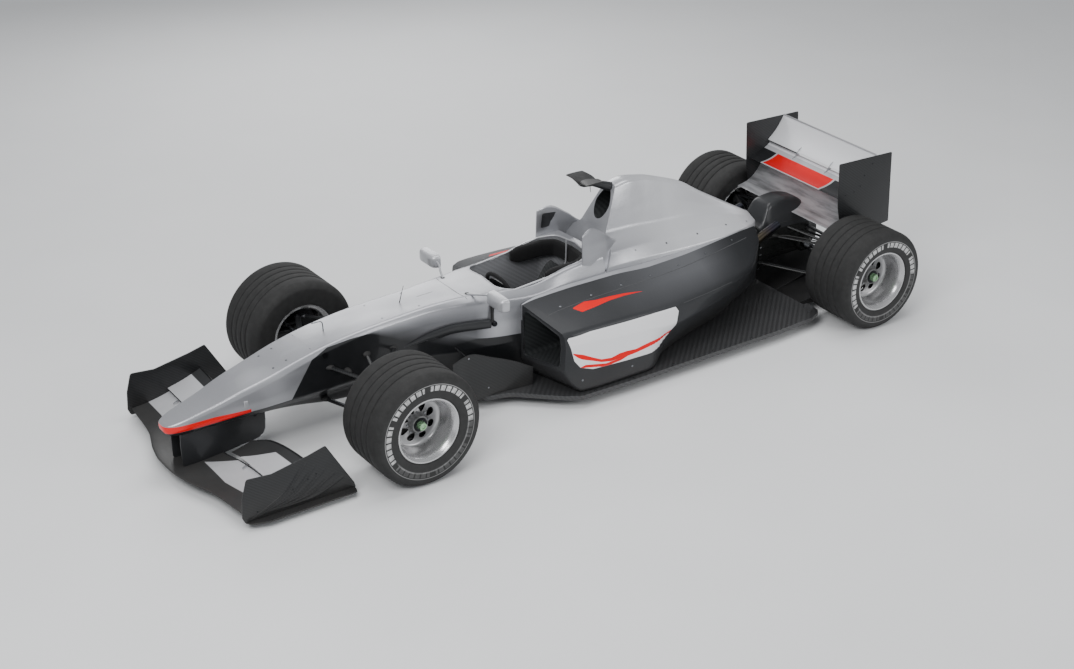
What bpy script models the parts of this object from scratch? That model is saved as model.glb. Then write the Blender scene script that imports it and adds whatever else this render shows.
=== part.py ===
"""Open wheel racing car with grooved-era proportions: high nose, wide sidepods and exposed suspension.

Metres, +Z up. The nose points to -Y and the car's left side is +X. The origin is on the ground at the
middle of the car's length. Every size named ..._Y is measured from the front axle, towards the tail.
"""
import math

import bmesh
import bpy
from mathutils import Vector

# Driving dimensions of the whole car
WHEELBASE = 3.28
NOSE_REACH = 1.14          # nose tip ahead of the front axle
REAR_OVERHANG = 0.42       # rear wing's end behind the rear axle
FRONT_HALF_WIDTH = 0.878   # centre of the car to the outer face of a front tyre
REAR_HALF_WIDTH = 0.860
FIT_GAP = 0.0003           # between pieces that are bolted face to face
SEAT_GAP = 0.0004          # between a piece and the curved skin that it is cut to

FRONT_AXLE_Y = -(WHEELBASE + REAR_OVERHANG - NOSE_REACH) / 2
REAR_AXLE_Y = FRONT_AXLE_Y + WHEELBASE

# Wheels: a 13 inch rim with a deep dish, one centre nut
FRONT_TYRE_RADIUS = 0.330
REAR_TYRE_RADIUS = 0.317
TYRE_WIDTH = 0.385
TYRE_SHOULDER = 0.048      # width of the rounding between tread and sidewall
RIM_WIDTH = 0.361
RIM_LIP_RADIUS = 0.190
RIM_LIP = 0.010            # thickness of the lip that holds the bead
RIM_FLANGE = 0.016         # from the lip's face to the bead seat
RIM_WALL = 0.012
BEAD_SEAT_RADIUS = 0.172
BARREL_RADIUS = 0.160      # inside of the barrel on the car's side
HUB_RADIUS = 0.050
HUB_BORE_RADIUS = 0.0235
DISC_RADIUS = 0.122
HUB_FACE = 0.026           # hub's inboard face, inboard of the wheel's centre plane
HUB_BORE_END = 0.060
WHEEL_SIDES = 24
WHEEL_HOLES = 8
WHEEL_HOLE_RADIUS = 0.020
WHEEL_HOLE_CIRCLE = 0.092

# Steering and front suspension
KINGPIN_OFFSET = 0.1105    # kingpin inboard of the front wheel's centre plane
KINGPIN_X = FRONT_HALF_WIDTH - TYRE_WIDTH / 2 - KINGPIN_OFFSET
KINGPIN_HALF_HEIGHT = 0.098
UPRIGHT_POST_RADIUS = 0.020
CARRIER_RADIUS = 0.052
STUB_AXLE_RADIUS = 0.0231
BEARING_GAP = 0.0012       # round the driveshaft in its upright
STEERING_ARM = 0.090
ARM_THICKNESS = 0.016
TRACK_ROD_RADIUS = 0.009
TRACK_ROD_RISE = 0.082     # above the front axle
ROD_EYE_RADIUS = 0.016
RACK_CLEARANCE = 0.008
LEG_CHORD = 0.034
LEG_THICKNESS = 0.014
PUSHROD_CHORD = 0.024
BALL_HOUSING_RADIUS = 0.018
BALL_HOUSING_HEIGHT = 0.022

# Tub and nose
TUB_LENGTH = 1.86          # front axle to the tub's rear bulkhead
TUB_HALF_WIDTH = 0.262     # flat sides that the sidepods bolt to
TUB_RIM_Z = 0.660
CHINE_RADIUS = 0.030
COVER_SEAT_Z = 0.600
FLOOR_TOP_Z = 0.085
FLOOR_THICKNESS = 0.028
PLANK_DROP = 0.015
PLANK_HALF_WIDTH = 0.150

# Cockpit
COCKPIT_FRONT_Y = 0.905
COCKPIT_LENGTH = 0.660
COCKPIT_HALF_WIDTH = 0.208
COCKPIT_FLOOR_Z = 0.120
LEG_TUNNEL_FRONT_Y = 0.120
LEG_TUNNEL_HALF_WIDTH = 0.105
LEG_TUNNEL_LOW_Z = 0.320
LEG_TUNNEL_TOP_Z = 0.550
STEERING_WHEEL_RADIUS = 0.125
STEERING_WHEEL_Y = 1.030
STEERING_WHEEL_Z = 0.535
STEERING_WHEEL_TILT = math.radians(12)
COLUMN_RADIUS = 0.012

# Engine, gearbox and covers
ENGINE_LENGTH = 0.590
ENGINE_HALF_WIDTH = 0.220
COVER_TOP_Z = 1.045
COVER_START_SHARE = 0.86   # where the cover starts, of TUB_LENGTH
COVER_LENGTH = 1.294
COVER_UNDERSIDE_Z = 0.500
GEARBOX_HALF_WIDTH = 0.120
GEARBOX_TOP_Z = 0.640
GEARBOX_REACH = 0.140      # tail of the crash structure behind the rear axle

# Sidepods
POD_FRONT_Y = 1.000
POD_LENGTH = 1.730
POD_OUTER_X = 0.630
POD_TOP_Z = 0.600
POD_EDGE_RADIUS = 0.045
POD_FOOT_RADIUS = 0.030
POD_SEAM_RADIUS = 0.004    # along the tub's side

# Floor's end and diffuser
FLOOR_END_SHARE = 0.9146   # of WHEELBASE behind the front axle
PLANK_START_SHARE = 0.20   # of WHEELBASE, as above
PLANK_END_SHARE = 0.90
DIFFUSER_TYRE_GAP = 0.045  # to the rear tyres' inner faces

# Wings
FRONT_WING_HALF_SPAN = 0.700
FRONT_WING_PLATE = 0.008
FRONT_WING_THICKNESS = 0.018
FRONT_FLAP_THICKNESS = 0.010
REAR_WING_TYRE_GAP = 0.039
REAR_WING_HALF_SPAN = REAR_HALF_WIDTH - TYRE_WIDTH - REAR_WING_TYRE_GAP
REAR_WING_PLATE = 0.006


def make_material(name, rgb, roughness, metallic):
    """A Principled finish in plain colour, roughness and metallic value."""
    material = bpy.data.materials.new(name)
    material.use_nodes = True
    shader = material.node_tree.nodes["Principled BSDF"]
    shader.inputs["Base Color"].default_value = (*rgb, 1)
    shader.inputs["Roughness"].default_value = roughness
    shader.inputs["Metallic"].default_value = metallic
    material.diffuse_color = (*rgb, 1)
    return material


def make_object(name, bm, material, smooth=True):
    """Put a finished bmesh into the scene as one named object with its faces pointing out."""
    bmesh.ops.remove_doubles(bm, verts=bm.verts, dist=0.00001)
    bmesh.ops.recalc_face_normals(bm, faces=bm.faces)
    mesh = bpy.data.meshes.new(name)
    bm.to_mesh(mesh)
    bm.free()
    if smooth:
        mesh.shade_smooth()
        mesh.set_sharp_from_angle(angle=math.radians(35))
    mesh.materials.append(material)
    piece = bpy.data.objects.new(name, mesh)
    bpy.context.scene.collection.objects.link(piece)
    return piece


def make_guide(piece):
    """Hide a cutter or a joined shape, which isn't a piece of the car."""
    piece.hide_render = True
    piece.display_type = 'WIRE'
    return piece


def boolean(piece, operation, other):
    """Cut piece by other, or join other to it, and hide other."""
    modifier = piece.modifiers.new(other.name, 'BOOLEAN')
    modifier.operation = operation
    modifier.solver = 'EXACT'
    modifier.object = make_guide(other)
    return piece


def round_corners(points, radii, steps):
    """Replace each inner corner of an open outline by an arc; radii has one value per inner corner."""
    rounded = [Vector(points[0])]
    for index in range(1, len(points) - 1):
        corner = Vector(points[index])
        before = Vector(points[index - 1]) - corner
        after = Vector(points[index + 1]) - corner
        turn = before.angle(after)
        radius = radii[index - 1]
        reach = min(max(radius / math.tan(turn / 2), radius / 8), before.length * 0.45, after.length * 0.45)
        start = corner + before.normalized() * reach
        end = corner + after.normalized() * reach
        for step in range(steps + 1):
            t = step / steps
            rounded.append(start * (1 - t) ** 2 + corner * 2 * t * (1 - t) + end * t ** 2)
    rounded.append(Vector(points[-1]))
    return rounded


def round_outline(points, radius, steps):
    """Round every corner of a closed outline with one radius."""
    loop = [points[-1], *points, points[0]]
    return round_corners(loop, [radius] * len(points), steps)[1:-1]


def mirrored_ring(half):
    """Close a half outline that runs from the top centre to the bottom centre with its mirror image."""
    return [*half, *[Vector((-point[0], *point[1:])) for point in reversed(half[1:-1])]]


def fatten(ring, grow):
    """Move a closed clockwise ring outward in its XZ plane, square to its edges, for a cutter."""
    if grow == 0:
        return ring
    moved = []
    for index, point in enumerate(ring):
        before = point - ring[index - 1]
        after = ring[(index + 1) % len(ring)] - point
        normals = [Vector((-edge.z, 0, edge.x)).normalized() for edge in (before, after)]
        middle = (normals[0] + normals[1]).normalized()
        moved.append(point + middle * (grow / max(middle.dot(normals[0]), 0.5)))
    return moved


def loft(name, rings, material, smooth=True):
    """Skin closed rings of equal length and cap both ends."""
    bm = bmesh.new()
    loops = [[bm.verts.new(point) for point in ring] for ring in rings]
    for low, high in zip(loops, loops[1:]):
        for index in range(len(low)):
            after = (index + 1) % len(low)
            # The same diagonal everywhere, so that a fattened cutter follows its body's facets
            bm.faces.new((low[index], low[after], high[after]))
            bm.faces.new((low[index], high[after], high[index]))
    bm.faces.new(loops[0])
    bm.faces.new(loops[-1])
    return make_object(name, bm, material, smooth)


def extrude_outline(name, outline, direction, material, smooth=False):
    """Give a flat closed outline a thickness along direction."""
    offset = Vector(direction)
    rings = [[Vector(point) for point in outline], [Vector(point) + offset for point in outline]]
    return loft(name, rings, material, smooth)


def box(name, low, high, material):
    """A plain block between two corners."""
    outline = [(low[0], low[1], low[2]), (high[0], low[1], low[2]),
               (high[0], high[1], low[2]), (low[0], high[1], low[2])]
    return extrude_outline(name, outline, (0, 0, high[2] - low[2]), material)


def rod(name, start, end, radii, sides, material, flat=1.0):
    """A straight bar of round or oval section between two points; flat squashes its height."""
    start = Vector(start)
    end = Vector(end)
    along = (end - start).normalized()
    side = along.cross(Vector((0, 0, 1)))
    if side.length < 0.001:
        side = Vector((1, 0, 0))
    side.normalize()
    up = side.cross(along)
    rings = []
    for centre, radius in zip((start, end), radii):
        ring = []
        for index in range(sides):
            angle = math.tau * (index + 0.5) / sides
            ring.append(centre + side * radius * math.cos(angle) + up * radius * flat * math.sin(angle))
        rings.append(ring)
    return loft(name, rings, material)


def turned(name, profile, centre, side, material):
    """Turn a closed (axial, radius) profile about the wheel's X axis, with a flat facet at the bottom."""
    stretch = 1 / math.cos(math.pi / WHEEL_SIDES)
    bm = bmesh.new()
    rings = []
    for axial, radius in profile:
        x = centre[0] + side * axial
        if radius == 0:
            rings.append([bm.verts.new((x, centre[1], centre[2]))])
            continue
        ring = []
        for index in range(WHEEL_SIDES):
            angle = math.tau * (index + 0.5) / WHEEL_SIDES - math.pi / 2
            y = centre[1] + radius * stretch * math.cos(angle)
            z = centre[2] + radius * stretch * math.sin(angle)
            ring.append(bm.verts.new((x, y, z)))
        rings.append(ring)
    for first, second in zip(rings, [*rings[1:], rings[0]]):
        for index in range(WHEEL_SIDES):
            after = (index + 1) % WHEEL_SIDES
            if len(first) == 1 and len(second) == 1:
                continue
            if len(first) == 1:
                bm.faces.new((first[0], second[after], second[index]))
            elif len(second) == 1:
                bm.faces.new((first[index], first[after], second[0]))
            else:
                bm.faces.new((first[index], first[after], second[after], second[index]))
    return make_object(name, bm, material)


def car_y(measured):
    """World Y of a place measured from the front axle."""
    return FRONT_AXLE_Y + measured


# Tub and nose sections, front to rear.
# Columns: place along the nose (negative) or the tub (positive) as a share of its length, then shares of
# TUB_RIM_Z and TUB_HALF_WIDTH: ridge z; chine x, z; shoulder x, z; side's foot x, z; keel top x, z;
# keel x, z.
BODY_SHARES = (
    (-1.000, 0.509, 0.076, 0.506, 0.092, 0.494, 0.092, 0.479, 0.076, 0.473, 0.069, 0.467),
    (-0.981, 0.524, 0.198, 0.518, 0.229, 0.500, 0.229, 0.462, 0.206, 0.439, 0.183, 0.427),
    (-0.921, 0.555, 0.298, 0.545, 0.328, 0.523, 0.336, 0.473, 0.290, 0.432, 0.252, 0.412),
    (-0.789, 0.615, 0.374, 0.606, 0.412, 0.576, 0.427, 0.492, 0.397, 0.455, 0.344, 0.430),
    (-0.632, 0.702, 0.466, 0.692, 0.511, 0.652, 0.534, 0.503, 0.466, 0.458, 0.382, 0.427),
    (-0.491, 0.767, 0.519, 0.758, 0.565, 0.712, 0.588, 0.508, 0.481, 0.455, 0.397, 0.421),
    (-0.320, 0.848, 0.542, 0.842, 0.603, 0.797, 0.603, 0.505, 0.427, 0.433, 0.366, 0.379),
    (-0.132, 0.915, 0.542, 0.909, 0.603, 0.864, 0.603, 0.508, 0.336, 0.397, 0.336, 0.311),
    (0.054, 0.958, 0.542, 0.952, 0.603, 0.909, 0.603, 0.515, 0.336, 0.397, 0.336, 0.273),
    (0.226, 0.982, 0.519, 0.976, 0.603, 0.932, 0.603, 0.523, 0.336, 0.397, 0.336, 0.212),
    (0.349, 0.992, 0.565, 0.985, 0.725, 0.939, 0.821, 0.520, 0.573, 0.303, 0.534, 0.1293),
    (0.484, 1.000, 0.745, 0.975, 0.934, 0.915, 0.973, 0.512, 0.859, 0.242, 0.763, 0.1293),
    (0.591, 1.006, 0.809, 0.958, 1.000, 0.892, 1.000, 0.500, 1.000, 0.242, 0.935, 0.1293),
    (0.742, 1.052, 0.893, 1.040, 1.000, 0.918, 1.000, 0.500, 1.000, 0.242, 0.954, 0.1293),
    (0.858, 1.077, 0.901, 1.064, 1.000, 0.924, 1.000, 0.500, 1.000, 0.242, 0.954, 0.1293),
)
NOSE_JOINT_ROW = 6
NOSE_JOINT_LEAN = 0.66     # the joint line leans back as it rises: run over rise
NOSE_JOINT_Z = 0.445


def body_ring(row, grow=0.0, lean=0.0, shift=0.0, top_limit=None):
    """One section of the nose or tub. grow fattens it into a cutter, lean tips it, shift moves it aft."""
    length = NOSE_REACH if row[0] < 0 else TUB_LENGTH
    y = car_y(row[0] * length) + shift
    heights = [share * TUB_RIM_Z for share in (row[1], *row[3::2])]
    widths = [share * TUB_HALF_WIDTH for share in row[2::2]]
    heights[-1] = max(heights[-1], FLOOR_TOP_Z + FIT_GAP)
    if top_limit is not None:
        heights = [min(height, top_limit) for height in heights]
    corners = list(zip(widths, heights[1:]))
    radii = [CHINE_RADIUS] * len(corners)
    half = round_corners([(0, heights[0]), *corners, (0, heights[-1])], radii, 2)
    ring = [Vector((x, y + lean * (z - NOSE_JOINT_Z), z)) for x, z in half]
    return fatten(mirrored_ring(ring), grow)


def nose_rings():
    """Sections of the nose cone, from its tip to the slanting joint."""
    rings = [body_ring(row) for row in BODY_SHARES[:NOSE_JOINT_ROW]]
    rings.append(body_ring(BODY_SHARES[NOSE_JOINT_ROW], lean=NOSE_JOINT_LEAN, shift=-FIT_GAP))
    return rings


def tub_rings(grow=0.0):
    """Sections of the tub, from the nose joint to the rear bulkhead, with its low seat for the cover."""
    rings = [body_ring(BODY_SHARES[NOSE_JOINT_ROW], grow, lean=NOSE_JOINT_LEAN, shift=-grow)]
    rings += [body_ring(row, grow) for row in BODY_SHARES[NOSE_JOINT_ROW + 1:]]
    last = BODY_SHARES[-1]
    step = CHINE_RADIUS / 6
    rings[-1] = body_ring(last, grow, shift=grow)
    rings.append(body_ring(last, grow, shift=step + grow, top_limit=COVER_SEAT_Z))
    rear = (1.0, *last[1:])
    rings.append(body_ring(rear, grow, shift=grow, top_limit=COVER_SEAT_Z))
    return rings


def cockpit_outline(inset, z):
    """Closed plan of the cockpit opening, front centre round by the left side; inset shrinks it."""
    # Columns: place along the opening and half width, as shares of COCKPIT_LENGTH and COCKPIT_HALF_WIDTH
    plan_shares = ((0.00, 0.62), (0.04, 0.86), (0.12, 0.98), (0.50, 1.00), (0.82, 1.00), (0.97, 0.80))
    half = []
    for along_share, width_share in plan_shares:
        y = car_y(COCKPIT_FRONT_Y + along_share * COCKPIT_LENGTH)
        half.append(Vector((width_share * COCKPIT_HALF_WIDTH - inset, y + (inset if y < 0 else -inset), z)))
    front = Vector((0, half[0].y, z))
    rear = Vector((0, car_y(COCKPIT_FRONT_Y + COCKPIT_LENGTH) - inset, z))
    return mirrored_ring([front, *half, rear])


def make_tub(finish):
    """Carbon tub with its cockpit, leg tunnel and the cross bore for the steering rack."""
    tub = loft("monocoque", tub_rings(), finish)
    over = TUB_RIM_Z + COCKPIT_HALF_WIDTH
    cavity = loft("cockpit_cutter", [cockpit_outline(0, COCKPIT_FLOOR_Z), cockpit_outline(0, over)], finish)
    boolean(tub, 'DIFFERENCE', cavity)
    tunnel_low = (-LEG_TUNNEL_HALF_WIDTH, car_y(LEG_TUNNEL_FRONT_Y), LEG_TUNNEL_LOW_Z)
    tunnel_high = (LEG_TUNNEL_HALF_WIDTH, car_y(COCKPIT_FRONT_Y + COCKPIT_LENGTH / 4), LEG_TUNNEL_TOP_Z)
    boolean(tub, 'DIFFERENCE', box("leg_tunnel_cutter", tunnel_low, tunnel_high, finish))
    rack_z = FRONT_TYRE_RADIUS + TRACK_ROD_RISE
    rack_y = car_y(-STEERING_ARM)
    bore = TRACK_ROD_RADIUS + RACK_CLEARANCE
    boolean(tub, 'DIFFERENCE', rod("rack_bore_cutter", (-TUB_HALF_WIDTH, rack_y, rack_z),
                                   (TUB_HALF_WIDTH, rack_y, rack_z), (bore, bore), 10, finish))
    return tub


def make_front_suspension(side, label, tub_skin, finish, metal):
    """Wishbones, pushrod and the steered upright of one front corner."""
    hub_z = FRONT_TYRE_RADIUS
    upper_z = hub_z + KINGPIN_HALF_HEIGHT + BALL_HOUSING_HEIGHT / 2 + FIT_GAP
    lower_z = hub_z - KINGPIN_HALF_HEIGHT - BALL_HOUSING_HEIGHT / 2 - FIT_GAP
    inner_x = TUB_HALF_WIDTH * 0.34
    # Columns: leg's inner end as shares of the steering arm (y) and of the kingpin's half height (z)
    upper_leg_shares = ((-2.5, 0.3), (2.7, 0.35))
    lower_leg_shares = ((-2.2, 0.2), (2.9, 0.1))
    levels = (("upper", upper_z, upper_leg_shares), ("lower", lower_z, lower_leg_shares))
    for level, z, leg_shares in levels:
        name = f"front_{level}_wishbone_{label}"
        low = (side * KINGPIN_X, car_y(0), z - BALL_HOUSING_HEIGHT / 2)
        high = (side * KINGPIN_X, car_y(0), z + BALL_HOUSING_HEIGHT / 2)
        arm = rod(name, low, high, (BALL_HOUSING_RADIUS, BALL_HOUSING_RADIUS), 10, finish)
        for number, (y_share, z_share) in enumerate(leg_shares):
            inner = (side * inner_x, car_y(y_share * STEERING_ARM), z + z_share * KINGPIN_HALF_HEIGHT)
            leg = rod(f"{name}_leg_{number}", (side * KINGPIN_X, car_y(0), z), inner,
                      (LEG_CHORD / 2, LEG_CHORD / 2), 8, finish, LEG_THICKNESS / LEG_CHORD)
            boolean(arm, 'UNION', leg)
        if level == "lower":
            foot = (side * (KINGPIN_X - LEG_CHORD * 1.2), car_y(0), z)
            top = (side * inner_x, car_y(STEERING_ARM / 2), hub_z + 2 * KINGPIN_HALF_HEIGHT)
            push = rod(f"pushrod_{label}", foot, top, (PUSHROD_CHORD / 2, PUSHROD_CHORD / 2), 8, finish,
                       LEG_THICKNESS / PUSHROD_CHORD)
            boolean(arm, 'UNION', push)
        boolean(arm, 'DIFFERENCE', tub_skin)

    post_low = (side * KINGPIN_X, car_y(0), hub_z - KINGPIN_HALF_HEIGHT)
    post_high = (side * KINGPIN_X, car_y(0), hub_z + KINGPIN_HALF_HEIGHT)
    upright = rod(f"front_upright_{label}", post_low, post_high,
                  (UPRIGHT_POST_RADIUS, UPRIGHT_POST_RADIUS), 10, metal)
    face_x = wheel_centre_x("front") - HUB_FACE - CARRIER_RADIUS / 8
    carrier = rod(f"carrier_{label}", (side * (KINGPIN_X - UPRIGHT_POST_RADIUS), car_y(0), hub_z),
                  (side * face_x, car_y(0), hub_z), (CARRIER_RADIUS, CARRIER_RADIUS), 16, metal)
    stub_x = wheel_centre_x("front") + HUB_BORE_END - HUB_BORE_RADIUS / 8
    stub = rod(f"stub_axle_{label}", (side * KINGPIN_X, car_y(0), hub_z), (side * stub_x, car_y(0), hub_z),
               (STUB_AXLE_RADIUS, STUB_AXLE_RADIUS), 14, metal)
    arm_top = hub_z + TRACK_ROD_RISE - TRACK_ROD_RADIUS - FIT_GAP
    arm_y = car_y(-STEERING_ARM)
    tongue = box(f"steering_arm_{label}",
                 (side * KINGPIN_X - ROD_EYE_RADIUS, arm_y - ROD_EYE_RADIUS, arm_top - ARM_THICKNESS),
                 (side * KINGPIN_X + ROD_EYE_RADIUS, car_y(0), arm_top), metal)
    for other in (carrier, stub, tongue):
        boolean(upright, 'UNION', other)


def make_steering_rack(metal):
    """Rack bar with its two track rods in one line, and an eye at each end over the steering arm."""
    y = car_y(-STEERING_ARM)
    z = FRONT_TYRE_RADIUS + TRACK_ROD_RISE
    rack = rod("steering_rack", (-KINGPIN_X, y, z), (KINGPIN_X, y, z),
               (TRACK_ROD_RADIUS, TRACK_ROD_RADIUS), 8, metal)
    for side in (-1, 1):
        eye = rod(f"rod_eye_{side}", (side * KINGPIN_X, y, z - TRACK_ROD_RADIUS),
                  (side * KINGPIN_X, y, z + TRACK_ROD_RADIUS), (ROD_EYE_RADIUS, ROD_EYE_RADIUS), 10, metal)
        boolean(rack, 'UNION', eye)


def make_steering_wheel(grip, metal):
    """Wheel rim with a cross bar, boss and the column that runs forward through the leg tunnel."""
    # The column's axis leans down towards the front
    forward = Vector((0, -math.cos(STEERING_WHEEL_TILT), -math.sin(STEERING_WHEEL_TILT)))
    across = Vector((1, 0, 0))
    up = forward.cross(across) * -1
    centre = Vector((0, car_y(STEERING_WHEEL_Y), STEERING_WHEEL_Z))
    tube = STEERING_WHEEL_RADIUS / 9
    # The rim is flattened at the top and bottom
    flat_share = 0.8
    bm = bmesh.new()
    loops = []
    for step in range(16):
        angle = math.tau * step / 16
        out = across * math.cos(angle) + up * math.sin(angle) * flat_share
        middle = centre + out * STEERING_WHEEL_RADIUS
        loops.append([bm.verts.new(middle + out.normalized() * tube * math.cos(turn)
                                   + forward * tube * math.sin(turn))
                      for turn in (math.tau * index / 6 for index in range(6))])
    for first, second in zip(loops, [*loops[1:], loops[0]]):
        for index in range(6):
            after = (index + 1) % 6
            bm.faces.new((first[index], first[after], second[after], second[index]))
    wheel = make_object("steering_wheel", bm, grip)
    bar_low = centre - across * STEERING_WHEEL_RADIUS
    bar_high = centre + across * STEERING_WHEEL_RADIUS
    boolean(wheel, 'UNION', rod("wheel_bar", bar_low, bar_high, (tube * 2, tube * 2), 8, grip, 0.4))
    # The column's end face is tilted, so its upper edge meets the tunnel's front wall first
    edge_lead = COLUMN_RADIUS * math.sin(STEERING_WHEEL_TILT)
    reach = (centre.y - car_y(LEG_TUNNEL_FRONT_Y) - edge_lead - FIT_GAP) / math.cos(STEERING_WHEEL_TILT)
    shaft_end = centre + forward * reach
    boolean(wheel, 'UNION', rod("column", centre, shaft_end, (COLUMN_RADIUS, COLUMN_RADIUS), 8, metal))
    boss_end = centre + forward * STEERING_WHEEL_RADIUS / 2
    boss_start = centre - forward * tube
    boolean(wheel, 'UNION', rod("wheel_boss", boss_start, boss_end, (tube * 2.4, tube * 2), 10, grip))


def wheel_centre_x(axle):
    """Distance of a wheel's centre plane from the middle of the car."""
    half_width = FRONT_HALF_WIDTH if axle == "front" else REAR_HALF_WIDTH
    return half_width - TYRE_WIDTH / 2


def rim_profile():
    """Closed (axial, radius) outline of the rim, hub, brake disc and nut; axial grows outward."""
    half = RIM_WIDTH / 2
    lip = RIM_LIP
    flange = RIM_FLANGE
    wall = RIM_WALL
    return [
        (half, RIM_LIP_RADIUS - lip), (half, RIM_LIP_RADIUS), (half - lip, RIM_LIP_RADIUS),
        (half - flange, BEAD_SEAT_RADIUS), (-half + flange, BEAD_SEAT_RADIUS),
        (-half + lip, RIM_LIP_RADIUS), (-half, RIM_LIP_RADIUS), (-half, RIM_LIP_RADIUS - lip),
        (-half + flange, BARREL_RADIUS), (0, BARREL_RADIUS),
        (HUB_FACE, BARREL_RADIUS - wall), (HUB_RADIUS, HUB_RADIUS + wall), (HUB_FACE, HUB_RADIUS),
        (-wall / 2, HUB_RADIUS), (-wall / 2, DISC_RADIUS), (-HUB_FACE, DISC_RADIUS),
        (-HUB_FACE, HUB_BORE_RADIUS), (HUB_BORE_END, HUB_BORE_RADIUS), (HUB_BORE_END, 0),
        (half * 0.68, 0), (half * 0.68, HUB_BORE_RADIUS), (half * 0.56, HUB_BORE_RADIUS + flange / 4),
        (half * 0.54, HUB_RADIUS - wall / 2), (half * 0.40, HUB_RADIUS + wall),
        (HUB_BORE_END - wall, BARREL_RADIUS - wall), (half - 4 * flange, BARREL_RADIUS - wall / 4),
        (half - flange, BARREL_RADIUS + wall / 2),
    ]


def tyre_profile(radius):
    """Closed (axial, radius) outline of the tyre, seated on the rim's beads."""
    half = RIM_WIDTH / 2
    wide = TYRE_WIDTH / 2
    depth = radius - RIM_LIP_RADIUS
    outer = [
        (half - RIM_FLANGE - FIT_GAP, BEAD_SEAT_RADIUS + FIT_GAP),
        (half - RIM_LIP - FIT_GAP, RIM_LIP_RADIUS + FIT_GAP),
        (half + RIM_LIP / 3, RIM_LIP_RADIUS + RIM_LIP / 2),
        (wide - RIM_LIP / 5, RIM_LIP_RADIUS + depth * 0.30),
        (wide, RIM_LIP_RADIUS + depth * 0.52),
        (wide - TYRE_SHOULDER * 0.13, radius - TYRE_SHOULDER * 0.52),
        (wide - TYRE_SHOULDER * 0.45, radius - TYRE_SHOULDER * 0.15),
        (wide - TYRE_SHOULDER, radius),
    ]
    return [*outer, *[(-axial, around) for axial, around in reversed(outer)]]


def make_wheels(rubber, silver):
    """Four tyres on four rims; each rim's web is pierced by a ring of oval holes."""
    for axle, axle_y, radius in (("front", FRONT_AXLE_Y, FRONT_TYRE_RADIUS),
                                 ("rear", REAR_AXLE_Y, REAR_TYRE_RADIUS)):
        for side, label in ((1, "left"), (-1, "right")):
            centre = (side * wheel_centre_x(axle), axle_y, radius)
            turned(f"{axle}_tyre_{label}", tyre_profile(radius), centre, side, rubber)
            rim = turned(f"{axle}_rim_{label}", rim_profile(), centre, side, silver)
            bm = bmesh.new()
            for number in range(WHEEL_HOLES):
                turn = math.tau * (number + 0.5) / WHEEL_HOLES
                rings = []
                for axial in (DISC_RADIUS / 16, RIM_WIDTH / 2):
                    ring = []
                    for index in range(6):
                        angle = math.tau * index / 6
                        around = turn + math.cos(angle) * WHEEL_HOLE_RADIUS / WHEEL_HOLE_CIRCLE
                        out = WHEEL_HOLE_CIRCLE + math.sin(angle) * WHEEL_HOLE_RADIUS * 1.4
                        ring.append(bm.verts.new((centre[0] + side * axial,
                                                  centre[1] + out * math.cos(around),
                                                  centre[2] + out * math.sin(around))))
                    rings.append(ring)
                for index in range(6):
                    after = (index + 1) % 6
                    bm.faces.new((rings[0][index], rings[0][after], rings[1][after], rings[1][index]))
                bm.faces.new(rings[0])
                bm.faces.new(rings[1])
            boolean(rim, 'DIFFERENCE', make_object(f"{axle}_{label}_hole_cutter", bm, silver))


# Engine cover sections, front to rear.
# Columns: place along COVER_LENGTH as a share, lean (run over rise), then shares of COVER_TOP_Z and
# TUB_HALF_WIDTH: ridge z; crown x, z; waist x, z; hip x, z; shoulder x, z; edge x, z.
COVER_SHARES = (
    (0.077, 0.50, 0.986, 0.191, 0.978, 0.336, 0.861, 0.477, 0.742, 0.891, 0.672, 1.000, 0.598),
    (0.201, 0.20, 1.000, 0.198, 0.991, 0.344, 0.866, 0.477, 0.742, 0.832, 0.665, 1.000, 0.593),
    (0.340, 0.00, 0.983, 0.176, 0.972, 0.324, 0.852, 0.466, 0.727, 0.763, 0.651, 1.000, 0.586),
    (0.456, 0.00, 0.937, 0.160, 0.926, 0.298, 0.823, 0.435, 0.713, 0.733, 0.639, 1.000, 0.580),
    (0.572, 0.00, 0.878, 0.145, 0.867, 0.267, 0.775, 0.405, 0.694, 0.710, 0.627, 1.000, 0.578),
    (0.699, 0.00, 0.779, 0.130, 0.769, 0.229, 0.713, 0.366, 0.660, 0.679, 0.612, 0.985, 0.578),
    (0.825, 0.00, 0.687, 0.115, 0.678, 0.198, 0.651, 0.321, 0.622, 0.573, 0.595, 0.859, 0.572),
    (0.954, 0.00, 0.594, 0.092, 0.589, 0.153, 0.577, 0.237, 0.565, 0.382, 0.553, 0.534, 0.538),
    (1.000, 0.00, 0.561, 0.061, 0.557, 0.107, 0.551, 0.160, 0.544, 0.244, 0.536, 0.328, 0.526),
)
COVER_LEAN_Z = 0.780


def cover_ring(row, grow=0.0):
    """One section of the engine cover."""
    y = car_y(COVER_START_SHARE * TUB_LENGTH + row[0] * COVER_LENGTH)
    heights = [share * COVER_TOP_Z for share in (row[2], *row[4::2])]
    widths = [share * TUB_HALF_WIDTH for share in row[3::2]]
    corners = [*zip(widths, heights[1:]), (widths[-1], COVER_UNDERSIDE_Z)]
    loop = [(0, heights[0]), *corners, (0, COVER_UNDERSIDE_Z)]
    half = round_corners(loop, [CHINE_RADIUS] * len(corners), 2)
    ring = mirrored_ring([Vector((x, y + row[1] * (z - COVER_LEAN_Z), z)) for x, z in half])
    return fatten(ring, grow)


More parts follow.
